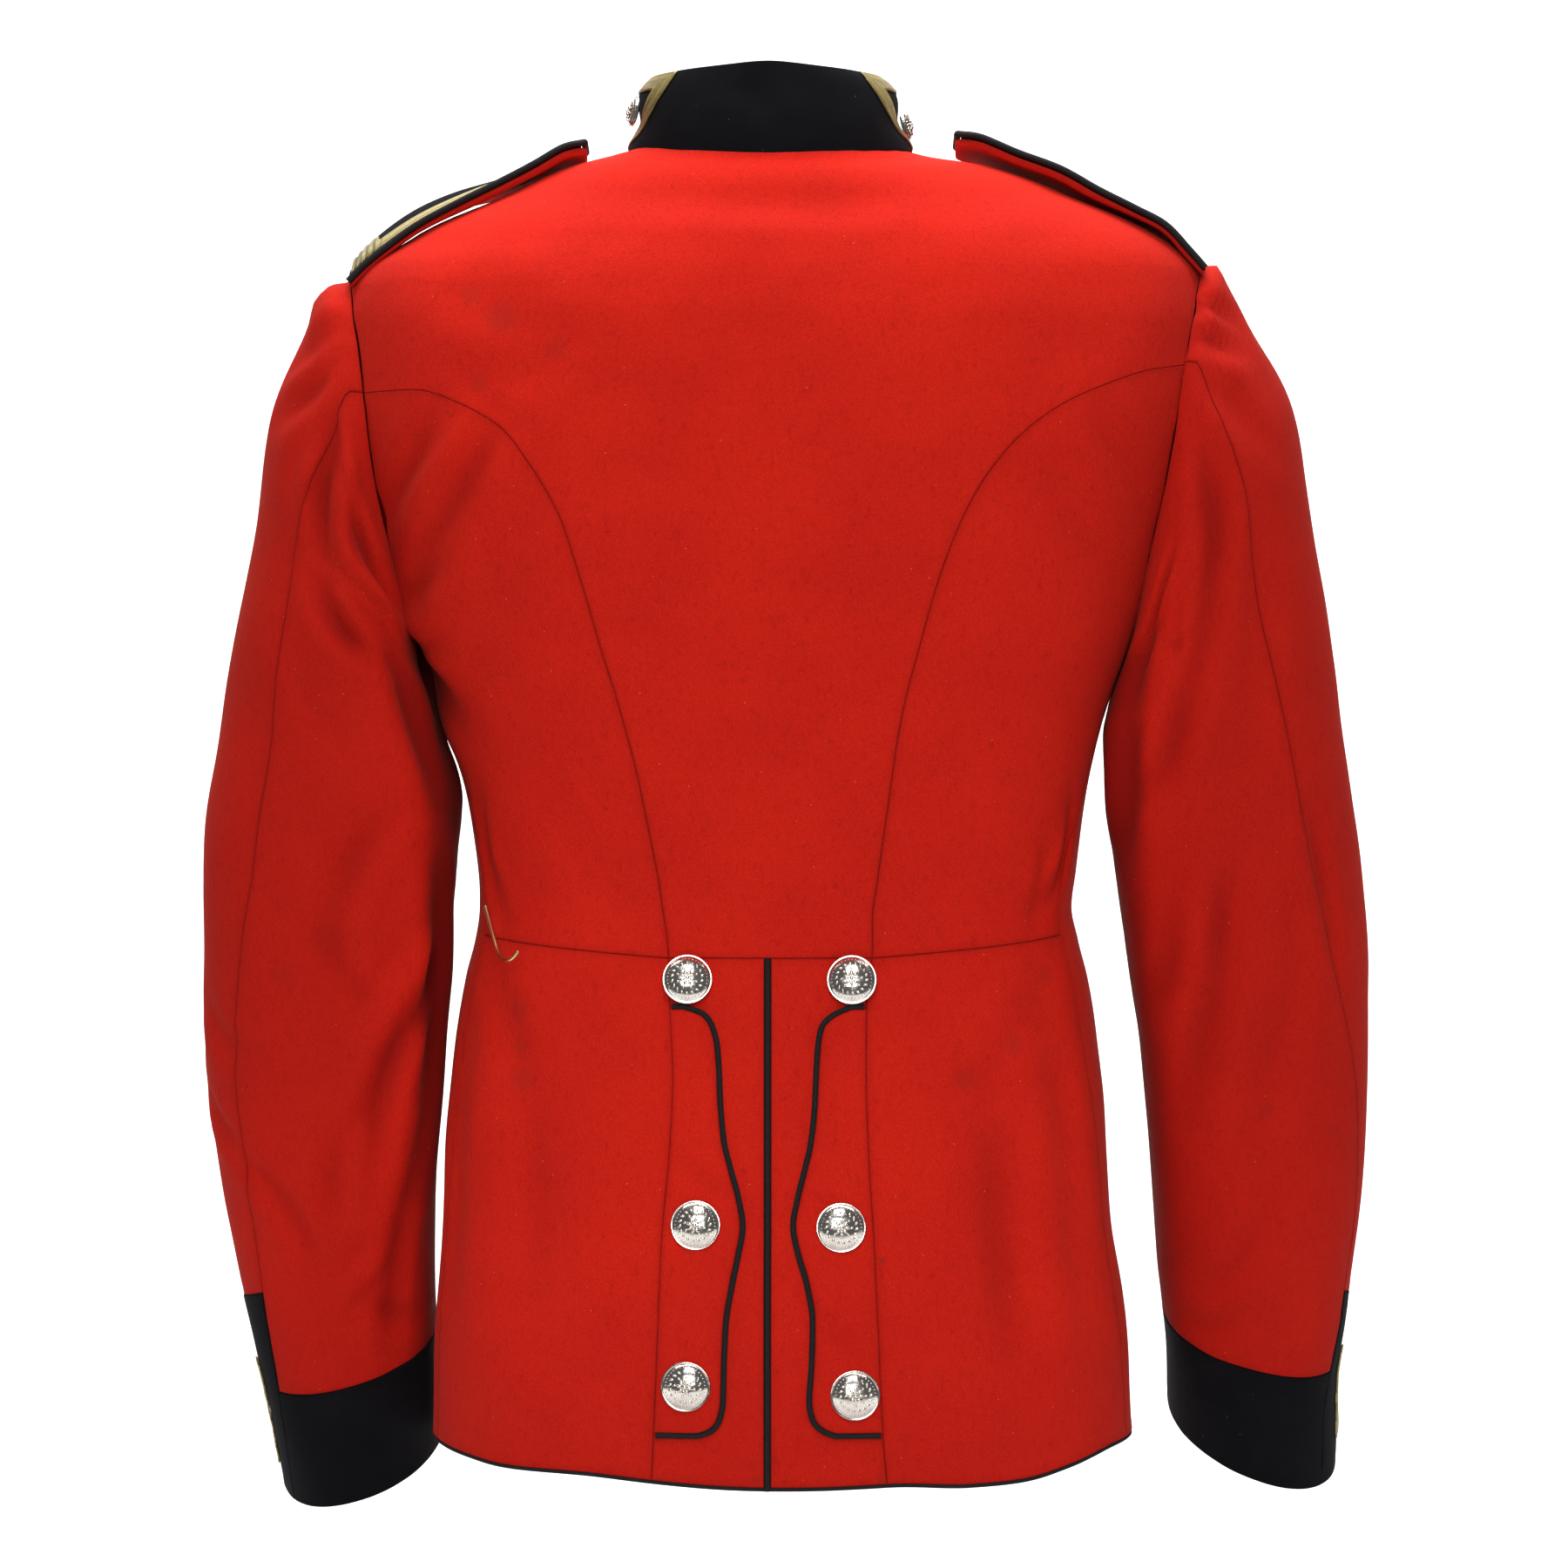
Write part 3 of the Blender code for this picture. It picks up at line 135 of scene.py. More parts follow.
# The body's outer sections: half width at the side height, depths and dips behind and before the side
# line.
BODY_COLUMNS = ("side_z", "half_width", "shift", "back", "front", "back_dip", "front_dip", "squareness")
BODY_ROWS = (
    (-664, 182.5, -4.5, 122.0, 118.0, -18, -12, 2.3),
    (-640, 181.5, -4.0, 121.0, 117.5, -15, -10, 2.3),
    (-600, 179.5, -3.0, 119.0, 116.0, -11, -7, 2.3),
    (-550, 174.5, -1.5, 115.0, 114.0, -7, -4, 2.3),
    (-500, 171.5, -1.5, 110.0, 112.0, -4, -2, 2.3),
    (-450, 166.0, -0.8, 103.0, 108.0, -2, 0, 2.3),
    (-423, 161.8, -1.0, 99.0, 105.0, -1, 0, 2.3),
    (-405, 157.5, -1.0, 96.0, 103.5, 0, 0, 2.3),
    (-388, 155.0, -0.5, 95.0, 103.0, 0, 0, 2.3),
    (-368, 156.8, -1.2, 96.5, 104.5, 0, 0, 2.3),
    (-330, 161.8, -0.8, 102.0, 110.0, 0, 0, 2.35),
    (-290, 171.0, 0.5, 109.0, 117.0, 0, 0, 2.4),
    (-245, 188.0, 1.5, 115.0, 122.0, 0, -2, 2.45),
    (-200, 203.0, 2.0, 119.0, 123.0, 0, -10, 2.5),
    (-160, 216.0, 2.0, 119.0, 121.0, 0, -22, 2.5),
    (-120, 225.0, 1.0, 116.0, 117.0, 0, -36, 2.45),
    (-85, 226.5, 0.0, 111.0, 113.0, -1, -50, 2.35),
    (-66, 223.5, -1.0, 106.0, 110.0, -3, -60, 2.25),
    (-57, 219.3, -2.8, 103.0, 107.0, -4, -63, 2.2),
    (-40, 196.2, -6.2, 95.0, 99.0, -5, -64, 2.15),
    (-19, 150.8, -5.8, 82.0, 89.0, -7, -66, 2.15),
    (-2, 110.0, -4.5, 71.0, 79.0, -8, -68, 2.1),
    (3, 85.0, 0.5, 65.0, 73.5, -7, -71, 2.05),
    (6, 73.0, 2.0, 63.0, 71.0, -6, -72, 2.0),
)

# The hem's side heights round the body, from the left side round by the back.
HEM_COLUMNS = ("turn", "side_z")
HEM_ROWS = (
    (0, -661.0),
    (36, -661.5),
    (63, -657.5),
    (90, -659.5),
    (104, -659.0),
    (118, -662.5),
    (130, -664.0),
    (141, -662.3),
    (158, -659.0),
    (180, -659.5),
    (270, -661.0),
    (360, -661.0),
)

# How far the armhole's edge lies round the body from the side line, to the back above nought, by its
# own turn from the shoulder point round by the back.
ARMHOLE_COLUMNS = ("hole_turn", "round_body")
ARMHOLE_ROWS = (
    (0, 0),
    (30, 14.5),
    (60, 22),
    (75, 23.2),
    (90, 21.5),
    (110, 18.5),
    (130, 14.5),
    (150, 9.5),
    (180, 0),
    (210, -18.5),
    (230, -26),
    (250, -28.5),
    (270, -27.5),
    (300, -22.5),
    (330, -13.5),
    (360, 0),
)
# The curved seams between the back and the side bodies, from the waist up to the armhole.
SIDE_BACK_COLUMNS = ("left_z", "left_across", "right_z", "right_across")
SIDE_BACK_ROWS = (
    (-410.5, 53.3, -411, 49.6),
    (-350, 63, -350, 55.3),
    (-300, 74, -298, 63),
    (-261, 85.2, -255, 73),
    (-224, 96.1, -214, 85),
    (-191, 107, -178, 100.5),
    (-166, 120.5, -150, 121),
    (-145, 136, -131.5, 144),
    (-130.5, 158, -119, 170),
    (-122, 184, -111.5, 191),
)

# The plait seams that run down the back skirts from the ends of the side-back seams.
PLAIT_COLUMNS = ("z", "left_across", "right_across")
PLAIT_ROWS = (
    (-411.5, 53.3, 49.6),
    (-436, 52.4, 46.5),
    (-472, 50.8, 46.2),
    (-515, 53.0, 47.6),
    (-551, 56.3, 49.8),
    (-600, 58.2, 52.2),
    (-651, 60.3, 54.5),
    (-679, 61.6, 56.9),
)

# The piped inner edge of each slash flap.
SLASH_COLUMNS = ("z", "left_across", "right_across")
SLASH_ROWS = (
    (-436.0, 45.0, 39.0),
    (-440.0, 35.0, 30.0),
    (-446.0, 31.0, 24.0),
    (-456.0, 28.5, 22.0),
    (-488.0, 26.7, 20.2),
    (-504.0, 25.0, 18.4),
    (-518.0, 21.5, 15.2),
    (-531.0, 18.0, 12.0),
    (-546.0, 15.6, 9.4),
    (-560.0, 17.8, 12.0),
    (-576.0, 21.0, 16.5),
    (-594.0, 23.9, 19.2),
    (-615.0, 24.9, 18.7),
    (-634.0, 25.4, 17.5),
    (-643.0, 27.3, 19.3),
    (-648.5, 31.5, 24.5),
    (-651.0, 38.0, 31.0),
)

# The side seams: degrees round the back from the side line.
SIDE_SEAM_COLUMNS = ("z", "left_round", "right_round")
SIDE_SEAM_ROWS = (
    (-664, 12, 14),
    (-540, 13, 17),
    (-401, 17, 22),
    (-355, 13, 16),
    (-300, 8, 9),
    (-245, 3, 3),
)

# The sleeves' sections, across the body from the centre line. Turns are of the two sleeve seams.
SLEEVE_COLUMNS = (
    "section",
    "outer_x",
    "outer_z",
    "inner_x",
    "inner_z",
    "middle_y",
    "half_depth",
    "rear_drop",
    "hind_turn",
    "fore_turn",
)
LEFT_SLEEVE_ROWS = (
    (0, 219.5, -61, 191, -245, -4, 61, 0, 70.4, 245),
    (0.35, 230, -60, 190, -248, -2, 61.5, 0, 70.3, 244),
    (0.7, 237, -70, 189.8, -251, 0, 62.5, 0, 70.2, 244),
    (1, 241.5, -83, 189, -253, 2, 63, 0, 70, 243),
    (2, 259.5, -128, 186.5, -264, 3, 63, 0, 67.5, 240),
    (3, 270, -190, 180.5, -279, 4, 62, 0, 62.5, 238),
    (4, 282, -246, 174.5, -300, 4, 61, 0, 62, 236),
    (5, 290, -302, 165.5, -334, 4, 59, 0, 61, 235),
    (6, 296.5, -352, 165.5, -362, 3, 58, 2, 59, 235),
    (7, 299, -420, 169, -420, 0, 56, 5, 51, 235),
    (8, 298, -462, 172.5, -460, -6, 55, 9, 47.5, 235),
    (9, 288.5, -532, 177, -526, -18, 52, 14, 47, 235),
    (10, 279.5, -590, 178.5, -572, -32, 49, 17, 45, 235),
    (11, 265.5, -655, 179, -630, -46, 46, 19, 40, 235),
    (12, 260.5, -691, 178, -667, -60, 44, 20, 36, 235),
)
RIGHT_SLEEVE_ROWS = (
    (0, 222, -56, 185.5, -245, -4, 61, 0, 62.8, 245),
    (0.35, 229.0, -52.8, 185.5, -248, -2, 61.5, 0, 64, 244),
    (0.7, 237.3, -66.5, 185.5, -251, 0, 62.5, 0, 66, 244),
    (1, 245.5, -82, 185, -253, 2, 63, 0, 68, 243),
    (2, 269.5, -128, 182.5, -264, 3, 63, 0, 72.5, 240),
    (3, 279.5, -188, 177, -279, 4, 62, 0, 71.5, 238),
    (4, 290, -246, 171.5, -300, 4, 61, 0, 67, 236),
    (5, 297.5, -302, 172.5, -332, 4, 59, 0, 62, 235),
    (6, 304, -354, 177, -362, 3, 58, 2, 59, 235),
    (7, 310.5, -424, 185, -420, 0, 56, 5, 47.5, 235),
    (8, 310.5, -470, 191, -462, -6, 55, 9, 34, 235),
    (9, 308, -536, 197.5, -524, -18, 52, 14, 25, 235),
    (10, 303, -592, 202, -570, -32, 49, 17, 28, 235),
    (11, 297, -640, 207, -615, -46, 46, 21, 37, 235),
    (12, 297.5, -680, 209, -650, -60, 44, 24, 40, 235),
)
SLEEVE_SQUARENESS = 2.15
SLEEVE_HEAD_SECTIONS = 2.2

# The cuff's upper edge, as sleeve sections: the under half is low and the top half stands tall at the
# hind seam.
CUFF_LOW = 10.6
CUFF_TALL = 9.8
CUFF_END = 12.0

# The stand collar's outer sections, by its rise from seam to top edge.
COLLAR_COLUMNS = ("rise", "half_width", "shift", "back", "front", "side_z", "back_z", "front_z")
COLLAR_ROWS = (
    (0.0, 73.0, 2.0, 63.0, 71.0, 6, 0, -66),
    (0.4, 70.2, 2.8, 60.5, 67.5, 21, 18, -49),
    (0.7, 66.7, 3.4, 57.5, 64.5, 33, 31.5, -36),
    (0.87, 63.0, 3.7, 55.8, 62.5, 39.2, 39.5, -29),
    (1.0, 58.4, 4.4, 54.5, 61.0, 43.0, 45.3, -24),
)
COLLAR_HEIGHT = 45.0
COLLAR_GIRTH_RADIUS = 66.0
COLLAR_HALF_OPENING = 0.5
COLLAR_BUTTON_GAP = 0.5

# How far across each collar lace's rear edge lies at the seam and at the top edge, and its button's place.
COLLAR_LACE = {
    "left": {"seam_across": 75.0, "top_across": 48.0, "button_turn": 1.0, "button_rise": 0.52},
    "right": {"seam_across": -70.5, "top_across": -42.5, "button_turn": -1.0, "button_rise": 0.34},
}

# The straps' sections from the armhole to the neck end: the rear and front edges and the arch between
# them.
STRAP_COLUMNS = ("station", "x", "rear_z", "front_z", "half_width", "arch")
LEFT_STRAP_ROWS = (
    (0, 220.5, -63.6, -58.0, 29, 6.5),
    (1, 212.5, -55.2, -47.0, 28.5, 7.0),
    (2, 200, -45.0, -35.5, 28, 6.0),
    (3, 184, -33.8, -24.0, 27.5, 4.5),
    (4, 165, -23.6, -16.0, 27, 3.5),
    (5, 145, -13.8, -11.0, 26, 2.5),
    (6, 125, -3.5, -4.5, 25, 1.5),
    (7, 109, 5.8, 3.0, 22, 1.0),
    (8, 100.5, 8.6, 6.0, 13, 0.5),
)
RIGHT_STRAP_ROWS = (
    (0, 223, -57.2, -55.2, 29, 3.5),
    (1, 214.5, -47.5, -47.5, 28.5, 3.5),
    (2, 202, -34.5, -36.5, 28, 3.0),
    (3, 187, -26.5, -30.0, 27.5, 2.5),
    (4, 168, -17.0, -21.5, 27, 2.0),
    (5, 148, -5.8, -11.5, 26, 2.0),
    (6, 126, 2.5, -2.0, 25, 1.5),
    (7, 106, 11.0, 6.5, 22, 1.0),
    (8, 97, 13.0, 9.0, 13, 0.5),
)
STRAP_STATIONS = 8
STRAP_LACE_INSET = 2.5
STRAP_END_LACE = 1.3
STRAP_BUTTON_STATION = 6.6

# Buttons on the body: across and height.
BACK_BUTTONS = {
    "waist_left": (43.5, -422.5),
    "waist_right": (-39.0, -422.7),
    "middle_left": (39.3, -545.6),
    "middle_right": (-33.5, -546.8),
    "low_left": (44.1, -626.3),
    "low_right": (-40.5, -630.6),
}
FRONT_BUTTON_COUNT = 8
FRONT_BUTTON_TOP = -92.0
FRONT_BUTTON_BOTTOM = -398.0

# The belt hook's wire: across, height and how far it stands off the cloth's mid line.
HOOK_ROWS = (
    (147.0, -386.0, 3.2),
    (144.5, -394.0, 3.4),
    (141.5, -403.0, 4.2),
    (139.0, -411.0, 5.5),
    (137.5, -414.5, 7.5),
    (134.8, -416.5, 10.0),
    (132.0, -415.5, 12.0),
    (129.7, -411.5, 13.0),
)

# The cuff lace: sleeve section and half width in millimetres, round the turn it stands at.
CUFF_LACE_TURN = 12.0
CUFF_LACE_ROWS = (
    (10.45, 2.0),
    (10.52, 5.5),
    (10.64, 6.5),
    (10.76, 5.0),
    (10.84, 3.0),
    (11.02, 4.4),
    (11.20, 3.0),
    (11.38, 4.4),
    (11.56, 3.6),
)

# How far each crease runs and how deep it is. The form is where it lies, a and b are its two numbers
# there at the crease's start, middle and end, width is half across, depth is above nought for a trough,
# and lean lifts one side of it. A sleeve's places are (turn, section) and the body's are (turn, side
# height).
CREASE_COLUMNS = ("a0", "b0", "a1", "b1", "a2", "b2", "width", "depth", "lean")
BODY_CREASES = (
    # under the collar and across the shoulder blades
    (58, -14, 88, -22, 112, -13, 9.0, 1.2, 0.2),
    (43, -68, 53, -79, 65, -103, 12.0, 1.6, 0.5),
    (65, -103, 57, -116, 47, -121, 12.0, 1.4, -0.4),
    (141, -62, 131, -92, 118, -116, 15.0, 0.9, -0.5),
    (72, -150, 90, -164, 108, -150, 22.0, 0.8, 0.0),
    # left side body, from the armhole down towards the side
    (45, -134, 34, -163, 20, -187, 7.5, 4.0, 0.8),
    (56.8, -140, 43.1, -182, 20, -224, 8.0, 4.8, 0.8),
    (53, -134, 46, -155, 34, -176, 5.0, -2.0, 0.2),
    (42, -202, 30.3, -220, 14, -232, 7.0, 3.2, 0.7),
    (-4, -244, 15, -251, 29, -254, 6.0, 2.4, 0.4),
    (-10, -252, 8, -268, 26, -292, 15.0, 5.4, 0.0),
    # right side body, alike but softer
    (131, -128, 139, -152, 154, -184, 8.5, 1.9, -0.5),
    (124, -168, 137, -196, 156, -226, 10.0, 1.8, -0.4),
    # the waist's pull at both sides
    (157, -330, 160.5, -359, 149, -392, 7.0, 3.0, -0.6),
    (148, -352, 150, -376, 143, -402, 8.0, 1.8, 0.3),
    (22, -330, 20, -362, 31, -396, 8.0, 2.6, 0.6),
    (46, -330, 55, -362, 66, -384, 11.0, 1.4, 0.4),
    # skirts
    (21, -414, 36, -446, 43, -480, 12.0, 2.6, -0.6),
    (45.5, -470, 46.5, -532, 48, -600, 17.0, 2.6, -0.5),
    (57, -475, 59, -539, 60, -600, 15.0, -1.6, 0.2),
    (116, -446, 120, -465, 123, -478, 10.0, 1.7, 0.5),
    (122, -477, 133.5, -455, 151, -414, 11.0, 2.1, -0.5),
    (128, -470, 129, -552, 128.6, -622, 19.0, 4.0, 0.7),
    (117, -480, 118, -551, 118, -618, 15.0, -1.8, 0.2),
    (146, -430, 147, -500, 150, -600, 14.0, 2.6, 0.4),
    (20, -440, 19, -520, 22, -610, 13.0, 2.4, 0.3),
    (74, -502, 78.5, -514, 83, -527, 4.5, 1.8, 0.7),
    (94, -572, 98, -590, 103, -606, 5.0, 2.0, 0.7),
    # foreparts: armhole to breast, waist pulls and front skirts
    (-18, -150, -34, -168, -52, -176, 8.5, 3.2, 0.6),
    (-14, -190, -30, -214, -50, -224, 9.5, 2.8, 0.5),
    (198, -146, 214, -166, 234, -174, 9.5, 2.9, -0.6),
    (194, -188, 211, -210, 229, -222, 9.0, 2.5, -0.5),
    (-40, -352, -60, -372, -78, -380, 8.0, 2.4, 0.5),
    (-30, -330, -46, -362, -58, -396, 10.0, 2.1, 0.4),
    (221, -350, 241, -371, 256, -377, 8.0, 2.3, -0.5),
    (207, -330, 222, -360, 236, -394, 10.0, 2.0, -0.4),
    (-34, -430, -37, -520, -33, -620, 13.0, 3.4, 0.6),
    (-62, -420, -64, -500, -60, -600, 15.0, 2.6, 0.4),
    (214, -432, 218, -520, 213, -618, 13.0, 3.4, -0.6),
    (243, -422, 245, -505, 241, -604, 15.0, 2.5, -0.4),
)
LEFT_SLEEVE_CREASES = (
    # sleeve head and the pull down from it
    (-24, 0.3, 4, 0.32, 26, 0.3, 5.5, 3.4, 0.0),
    (44, 0.08, 41, 0.7, 22, 1.35, 5.0, 3.4, 0.9),
    (56, 0.12, 48, 1.2, 26, 1.95, 5.5, 4.0, 0.9),
    (66, 0.4, 62, 1.3, 50, 2.35, 5.5, 2.2, 0.5),
    (75, 0.7, 78, 1.9, 87, 2.6, 8.0, 7.4, -0.9),
    (86, 0.7, 89, 1.4, 92, 2.0, 4.5, -1.8, 0.2),
    (93, 1.45, 111, 1.35, 136, 0.9, 8.5, 7.4, 0.8),
    (90, 2.2, 108, 2.0, 130, 1.6, 6.0, -2.6, 0.2),
    (80, 2.7, 96, 3.1, 120, 2.9, 9.0, 6.6, -0.8),
    (70, 3.4, 84, 4.2, 108, 4.7, 12.0, 2.4, -0.4),
    # the inner side next to the body: a swell and a long dark trough
    (214, 1.0, 208, 2.3, 197, 3.7, 11.5, -6.0, 0.0),
    (194, 3.7, 190, 4.6, 187, 6.2, 11.0, -4.2, 0.0),
    (128, 2.4, 141, 3.7, 152, 5.4, 12.0, 5.4, 0.5),
    (150, 5.8, 157, 7.2, 148, 9.0, 10.0, 5.2, 0.6),
    (146, 8.6, 130, 9.6, 122, 10.5, 8.0, 3.6, 0.5),
    # elbow and forearm
    (120, 5.3, 100, 6.1, 90, 6.8, 9.0, 4.0, 0.7),
    (92, 6.5, 99, 6.9, 118, 7.4, 8.0, 3.6, 0.6),
    (152, 6.6, 127, 7.1, 114, 7.8, 7.0, -2.6, 0.3),
    (156, 6.95, 124, 8.0, 116, 8.7, 8.0, 5.2, 0.8),
    (107, 8.3, 94.4, 8.75, 97, 9.15, 6.5, 4.0, 0.7),
    (40, 8.65, 70.5, 9.05, 85, 9.85, 7.0, 3.6, 0.8),
    (122, 9.45, 105, 9.72, 88, 9.95, 6.0, -2.2, 0.4),
    (108, 9.9, 122, 10.15, 142, 10.3, 7.0, 2.6, 0.6),
    (22, 7.3, 34, 7.7, 52, 7.9, 8.0, 2.4, 0.6),
    (12, 8.25, 30, 8.5, 46, 8.5, 7.0, 2.6, 0.6),
    (60, 6.1, 76, 6.6, 90, 7.4, 11.0, 1.8, 0.4),
    # the inner bend of the elbow and the front of the sleeve
    (205, 5.5, 232, 5.9, 262, 5.7, 8.0, 4.4, 0.6),
    (212, 6.3, 238, 6.75, 268, 6.5, 8.5, 4.6, 0.6),
    (200, 7.0, 230, 7.5, 255, 7.5, 9.5, 3.4, 0.5),
    (278, 0.5, 266, 1.3, 262, 2.4, 7.0, 3.8, 0.6),
    (300, 0.4, 306, 1.2, 330, 2.0, 7.0, 3.0, -0.6),
    (252, 2.4, 268, 3.1, 296, 3.8, 10.0, 3.4, 0.5),
    (245, 8.6, 268, 9.2, 300, 9.6, 10.0, 2.6, 0.4),
    # the front of the outer side
    (-72, 5.3, -48, 5.9, -22, 6.1, 9.0, 3.8, 0.5),
    (-78, 6.5, -50, 6.9, -24, 6.9, 9.0, 3.4, 0.5),
    (-58, 2.0, -36, 3.0, -28, 4.6, 11.0, 3.0, 0.4),
    (-64, 8.2, -42, 8.8, -22, 8.9, 8.0, 2.8, 0.5),
)
RIGHT_SLEEVE_CREASES = (
    (44, 0.06, 38, 0.55, 22, 0.95, 4.0, 4.4, -0.9),
    (56, 0.06, 50, 0.65, 30, 1.1, 4.5, 5.2, -0.9),
    (112, 1.15, 126, 1.45, 143, 1.9, 5.0, 5.2, 0.9),
    (62, 0.4, 60, 1.2, 48, 2.1, 6.0, 2.2, -0.5),
    (80, 0.75, 88, 1.95, 98, 3.5, 7.5, 6.2, 0.9),
    (96, 3.1, 112, 4.3, 130, 5.05, 9.0, 5.0, 0.8),
    (124, 2.75, 115, 2.95, 107, 3.1, 4.0, 2.0, 0.6),
    (114, 2.85, 114, 3.1, 113, 3.4, 3.5, 1.6, 0.4),
    (130, 1.3, 144, 2.5, 143, 3.5, 10.0, 4.8, -0.5),
    (145, 3.3, 147, 4.8, 160, 6.0, 10.0, 4.6, -0.4),
    (208, 1.6, 204, 2.7, 198, 3.7, 10.0, -2.8, 0.0),
    (70, 3.0, 78, 4.1, 88, 5.3, 13.0, 2.2, 0.4),
    (92, 5.9, 109, 7.1, 127, 8.4, 10.0, 4.4, 0.8),
    (100, 6.2, 104, 6.5, 109, 6.85, 5.0, 2.4, 0.6),
    (70, 6.6, 84, 7.7, 98, 8.8, 10.0, 3.0, 0.6),
    (55.5, 5.6, 53.0, 6.25, 48, 7.0, 5.5, 3.8, -0.8),
    (80, 8.6, 98, 9.4, 122, 9.9, 9.0, 2.9, 0.5),
    (118, 6.0, 130, 6.8, 146, 7.3, 9.0, 2.6, 0.4),
    (100, 10.0, 116, 10.3, 136, 10.4, 7.0, 2.2, 0.4),
    (203, 5.6, 230, 6.0, 259, 5.8, 8.0, 4.4, -0.6),
    (210, 6.4, 236, 6.8, 266, 6.6, 8.5, 4.5, -0.6),
    (199, 7.1, 228, 7.6, 252, 7.6, 9.5, 3.3, -0.5),
    (280, 0.5, 268, 1.3, 263, 2.3, 7.0, 3.7, -0.6),
    (302, 0.4, 308, 1.2, 331, 2.0, 7.0, 2.9, 0.6),
    (254, 2.5, 270, 3.2, 298, 3.9, 10.0, 3.3, -0.5),
    (247, 8.5, 270, 9.1, 302, 9.5, 10.0, 2.5, -0.4),
    # the front of the outer side
    (-72, 5.3, -48, 5.9, -22, 6.1, 9.0, 3.6, -0.5),
    (-78, 6.5, -50, 6.9, -24, 6.9, 9.0, 3.5, -0.5),
    (-58, 2.0, -36, 3.0, -28, 4.6, 11.0, 2.8, -0.4),
    (-64, 8.2, -42, 8.8, -22, 8.9, 8.0, 2.9, -0.5),
)
STRAP_CREASES = ((-9, 0.8, -9, 3.6, -9, 7.2, 8.0, -2.3, 0.0),)
COLLAR_CREASES = (
    (-26, 0.34, 0, 0.36, 26, 0.34, 9.0, 3.2, 0.0),
    (154, 0.34, 180, 0.36, 206, 0.34, 9.0, 3.2, 0.0),
    (96, 0.3, 84, 0.55, 76, 0.8, 7.0, 0.8, 0.4),
)

# Slow unevenness of the cloth, and the pucker at its seams. Each row is a wave: its length across,
# along and down, its phase and its height.
SLOW_WAVES = (
    (310, 420, 190, 0.4, 0.55),
    (-170, 260, 240, 2.1, 0.45),
    (130, -210, 330, 4.0, 0.35),
    (95, 160, -120, 1.2, 0.22),
    (-74, 88, 97, 5.1, 0.14),
    (52, -61, 49, 3.3, 0.08),
)
SEAM_WAVES = (
    (19, 23, 21, 0.3, 0.16),
    (-13, 17, 15, 1.9, 0.12),
    (31, -29, 27, 4.4, 0.14),
)


class Side(Enum):
    """The wearer's left and right."""

    LEFT = "left"
    RIGHT = "right"

    @property
    def sign(self) -> float:
        """Which way the side lies along X."""
        return 1.0 if self is Side.LEFT else -1.0

    def turn(self, turn: Any) -> Any:
        """A turn round the body, given for the left side and taken to this one."""
        return turn if self is Side.LEFT else np.pi - turn


class Sections:
    """Rows of sizes with named columns, read smoothly between the rows by their first column."""

    def __init__(self, columns: Sequence[str], rows: Sequence[Sequence[float]] | Array) -> None:
        """Works out each column's slope at each row.

        Args:
            columns: The columns' names, of which the first is the key.
            rows: One row of sizes for each section, with rising keys.
        """
        self.columns = tuple(columns)
        self.rows = np.array(rows, float)
        self.steps = np.diff(self.rows[:, :1], axis=0)
        slopes = np.diff(self.rows, axis=0) / self.steps
        before, after = slopes[:-1], slopes[1:]
        weight_before = 2 * self.steps[1:] + self.steps[:-1]
        weight_after = self.steps[1:] + 2 * self.steps[:-1]
        rising = before * after > 0
        safe_before = np.where(rising, before, 1.0)
        safe_after = np.where(rising, after, 1.0)
        middle = (weight_before + weight_after) / (weight_before / safe_before + weight_after / safe_after)
        self.tangents = np.concatenate([slopes[:1], np.where(rising, middle, 0.0), slopes[-1:]])

    def at(self, name: str, key: Any) -> Array:
        """Reads a column.

        Args:
            name: The column's name.
            key: Where to read it, as values of the first column.

        Returns:
            The column's values there.
        """
        column = self.columns.index(name)
        keys = self.rows[:, 0]
        key = np.asarray(key, float)
        low = np.clip(np.searchsorted(keys, key) - 1, 0, len(keys) - 2)
        step = self.steps[low, 0]
        part = (key - keys[low]) / step
        start, end = self.rows[low, column], self.rows[low + 1, column]
        leaving, arriving = self.tangents[low, column] * step, self.tangents[low + 1, column] * step
        smooth = part * part * (3 - 2 * part)
        return (
            start + (end - start) * smooth
            + leaving * part * (1 - part) ** 2
            - arriving * part * part * (1 - part)
        )


class Slot(Enum):
    """The record's material slots."""

    RED = "red_cloth"
    BLACK = "black_cloth"
    CORD = "black_piping"
    LACE = "gold_lace"
    SILVER = "silver_button"
    BRASS = "brass_wire"


BODY = Sections(BODY_COLUMNS, BODY_ROWS)
ARMHOLE = Sections(ARMHOLE_COLUMNS, ARMHOLE_ROWS)
PLAIT = Sections(PLAIT_COLUMNS, PLAIT_ROWS[::-1])
SLASH = Sections(SLASH_COLUMNS, SLASH_ROWS[::-1])
SIDE_SEAM = Sections(SIDE_SEAM_COLUMNS, SIDE_SEAM_ROWS)
SIDE_BACK = Sections(SIDE_BACK_COLUMNS, SIDE_BACK_ROWS)
COLLAR = Sections(COLLAR_COLUMNS, COLLAR_ROWS)
HEM_LINE = Sections(HEM_COLUMNS, HEM_ROWS)
SLEEVES = {
    Side.LEFT: Sections(SLEEVE_COLUMNS, LEFT_SLEEVE_ROWS),
    Side.RIGHT: Sections(SLEEVE_COLUMNS, RIGHT_SLEEVE_ROWS),
}
STRAPS = {
    Side.LEFT: Sections(STRAP_COLUMNS, LEFT_STRAP_ROWS),
    Side.RIGHT: Sections(STRAP_COLUMNS, RIGHT_STRAP_ROWS),
}


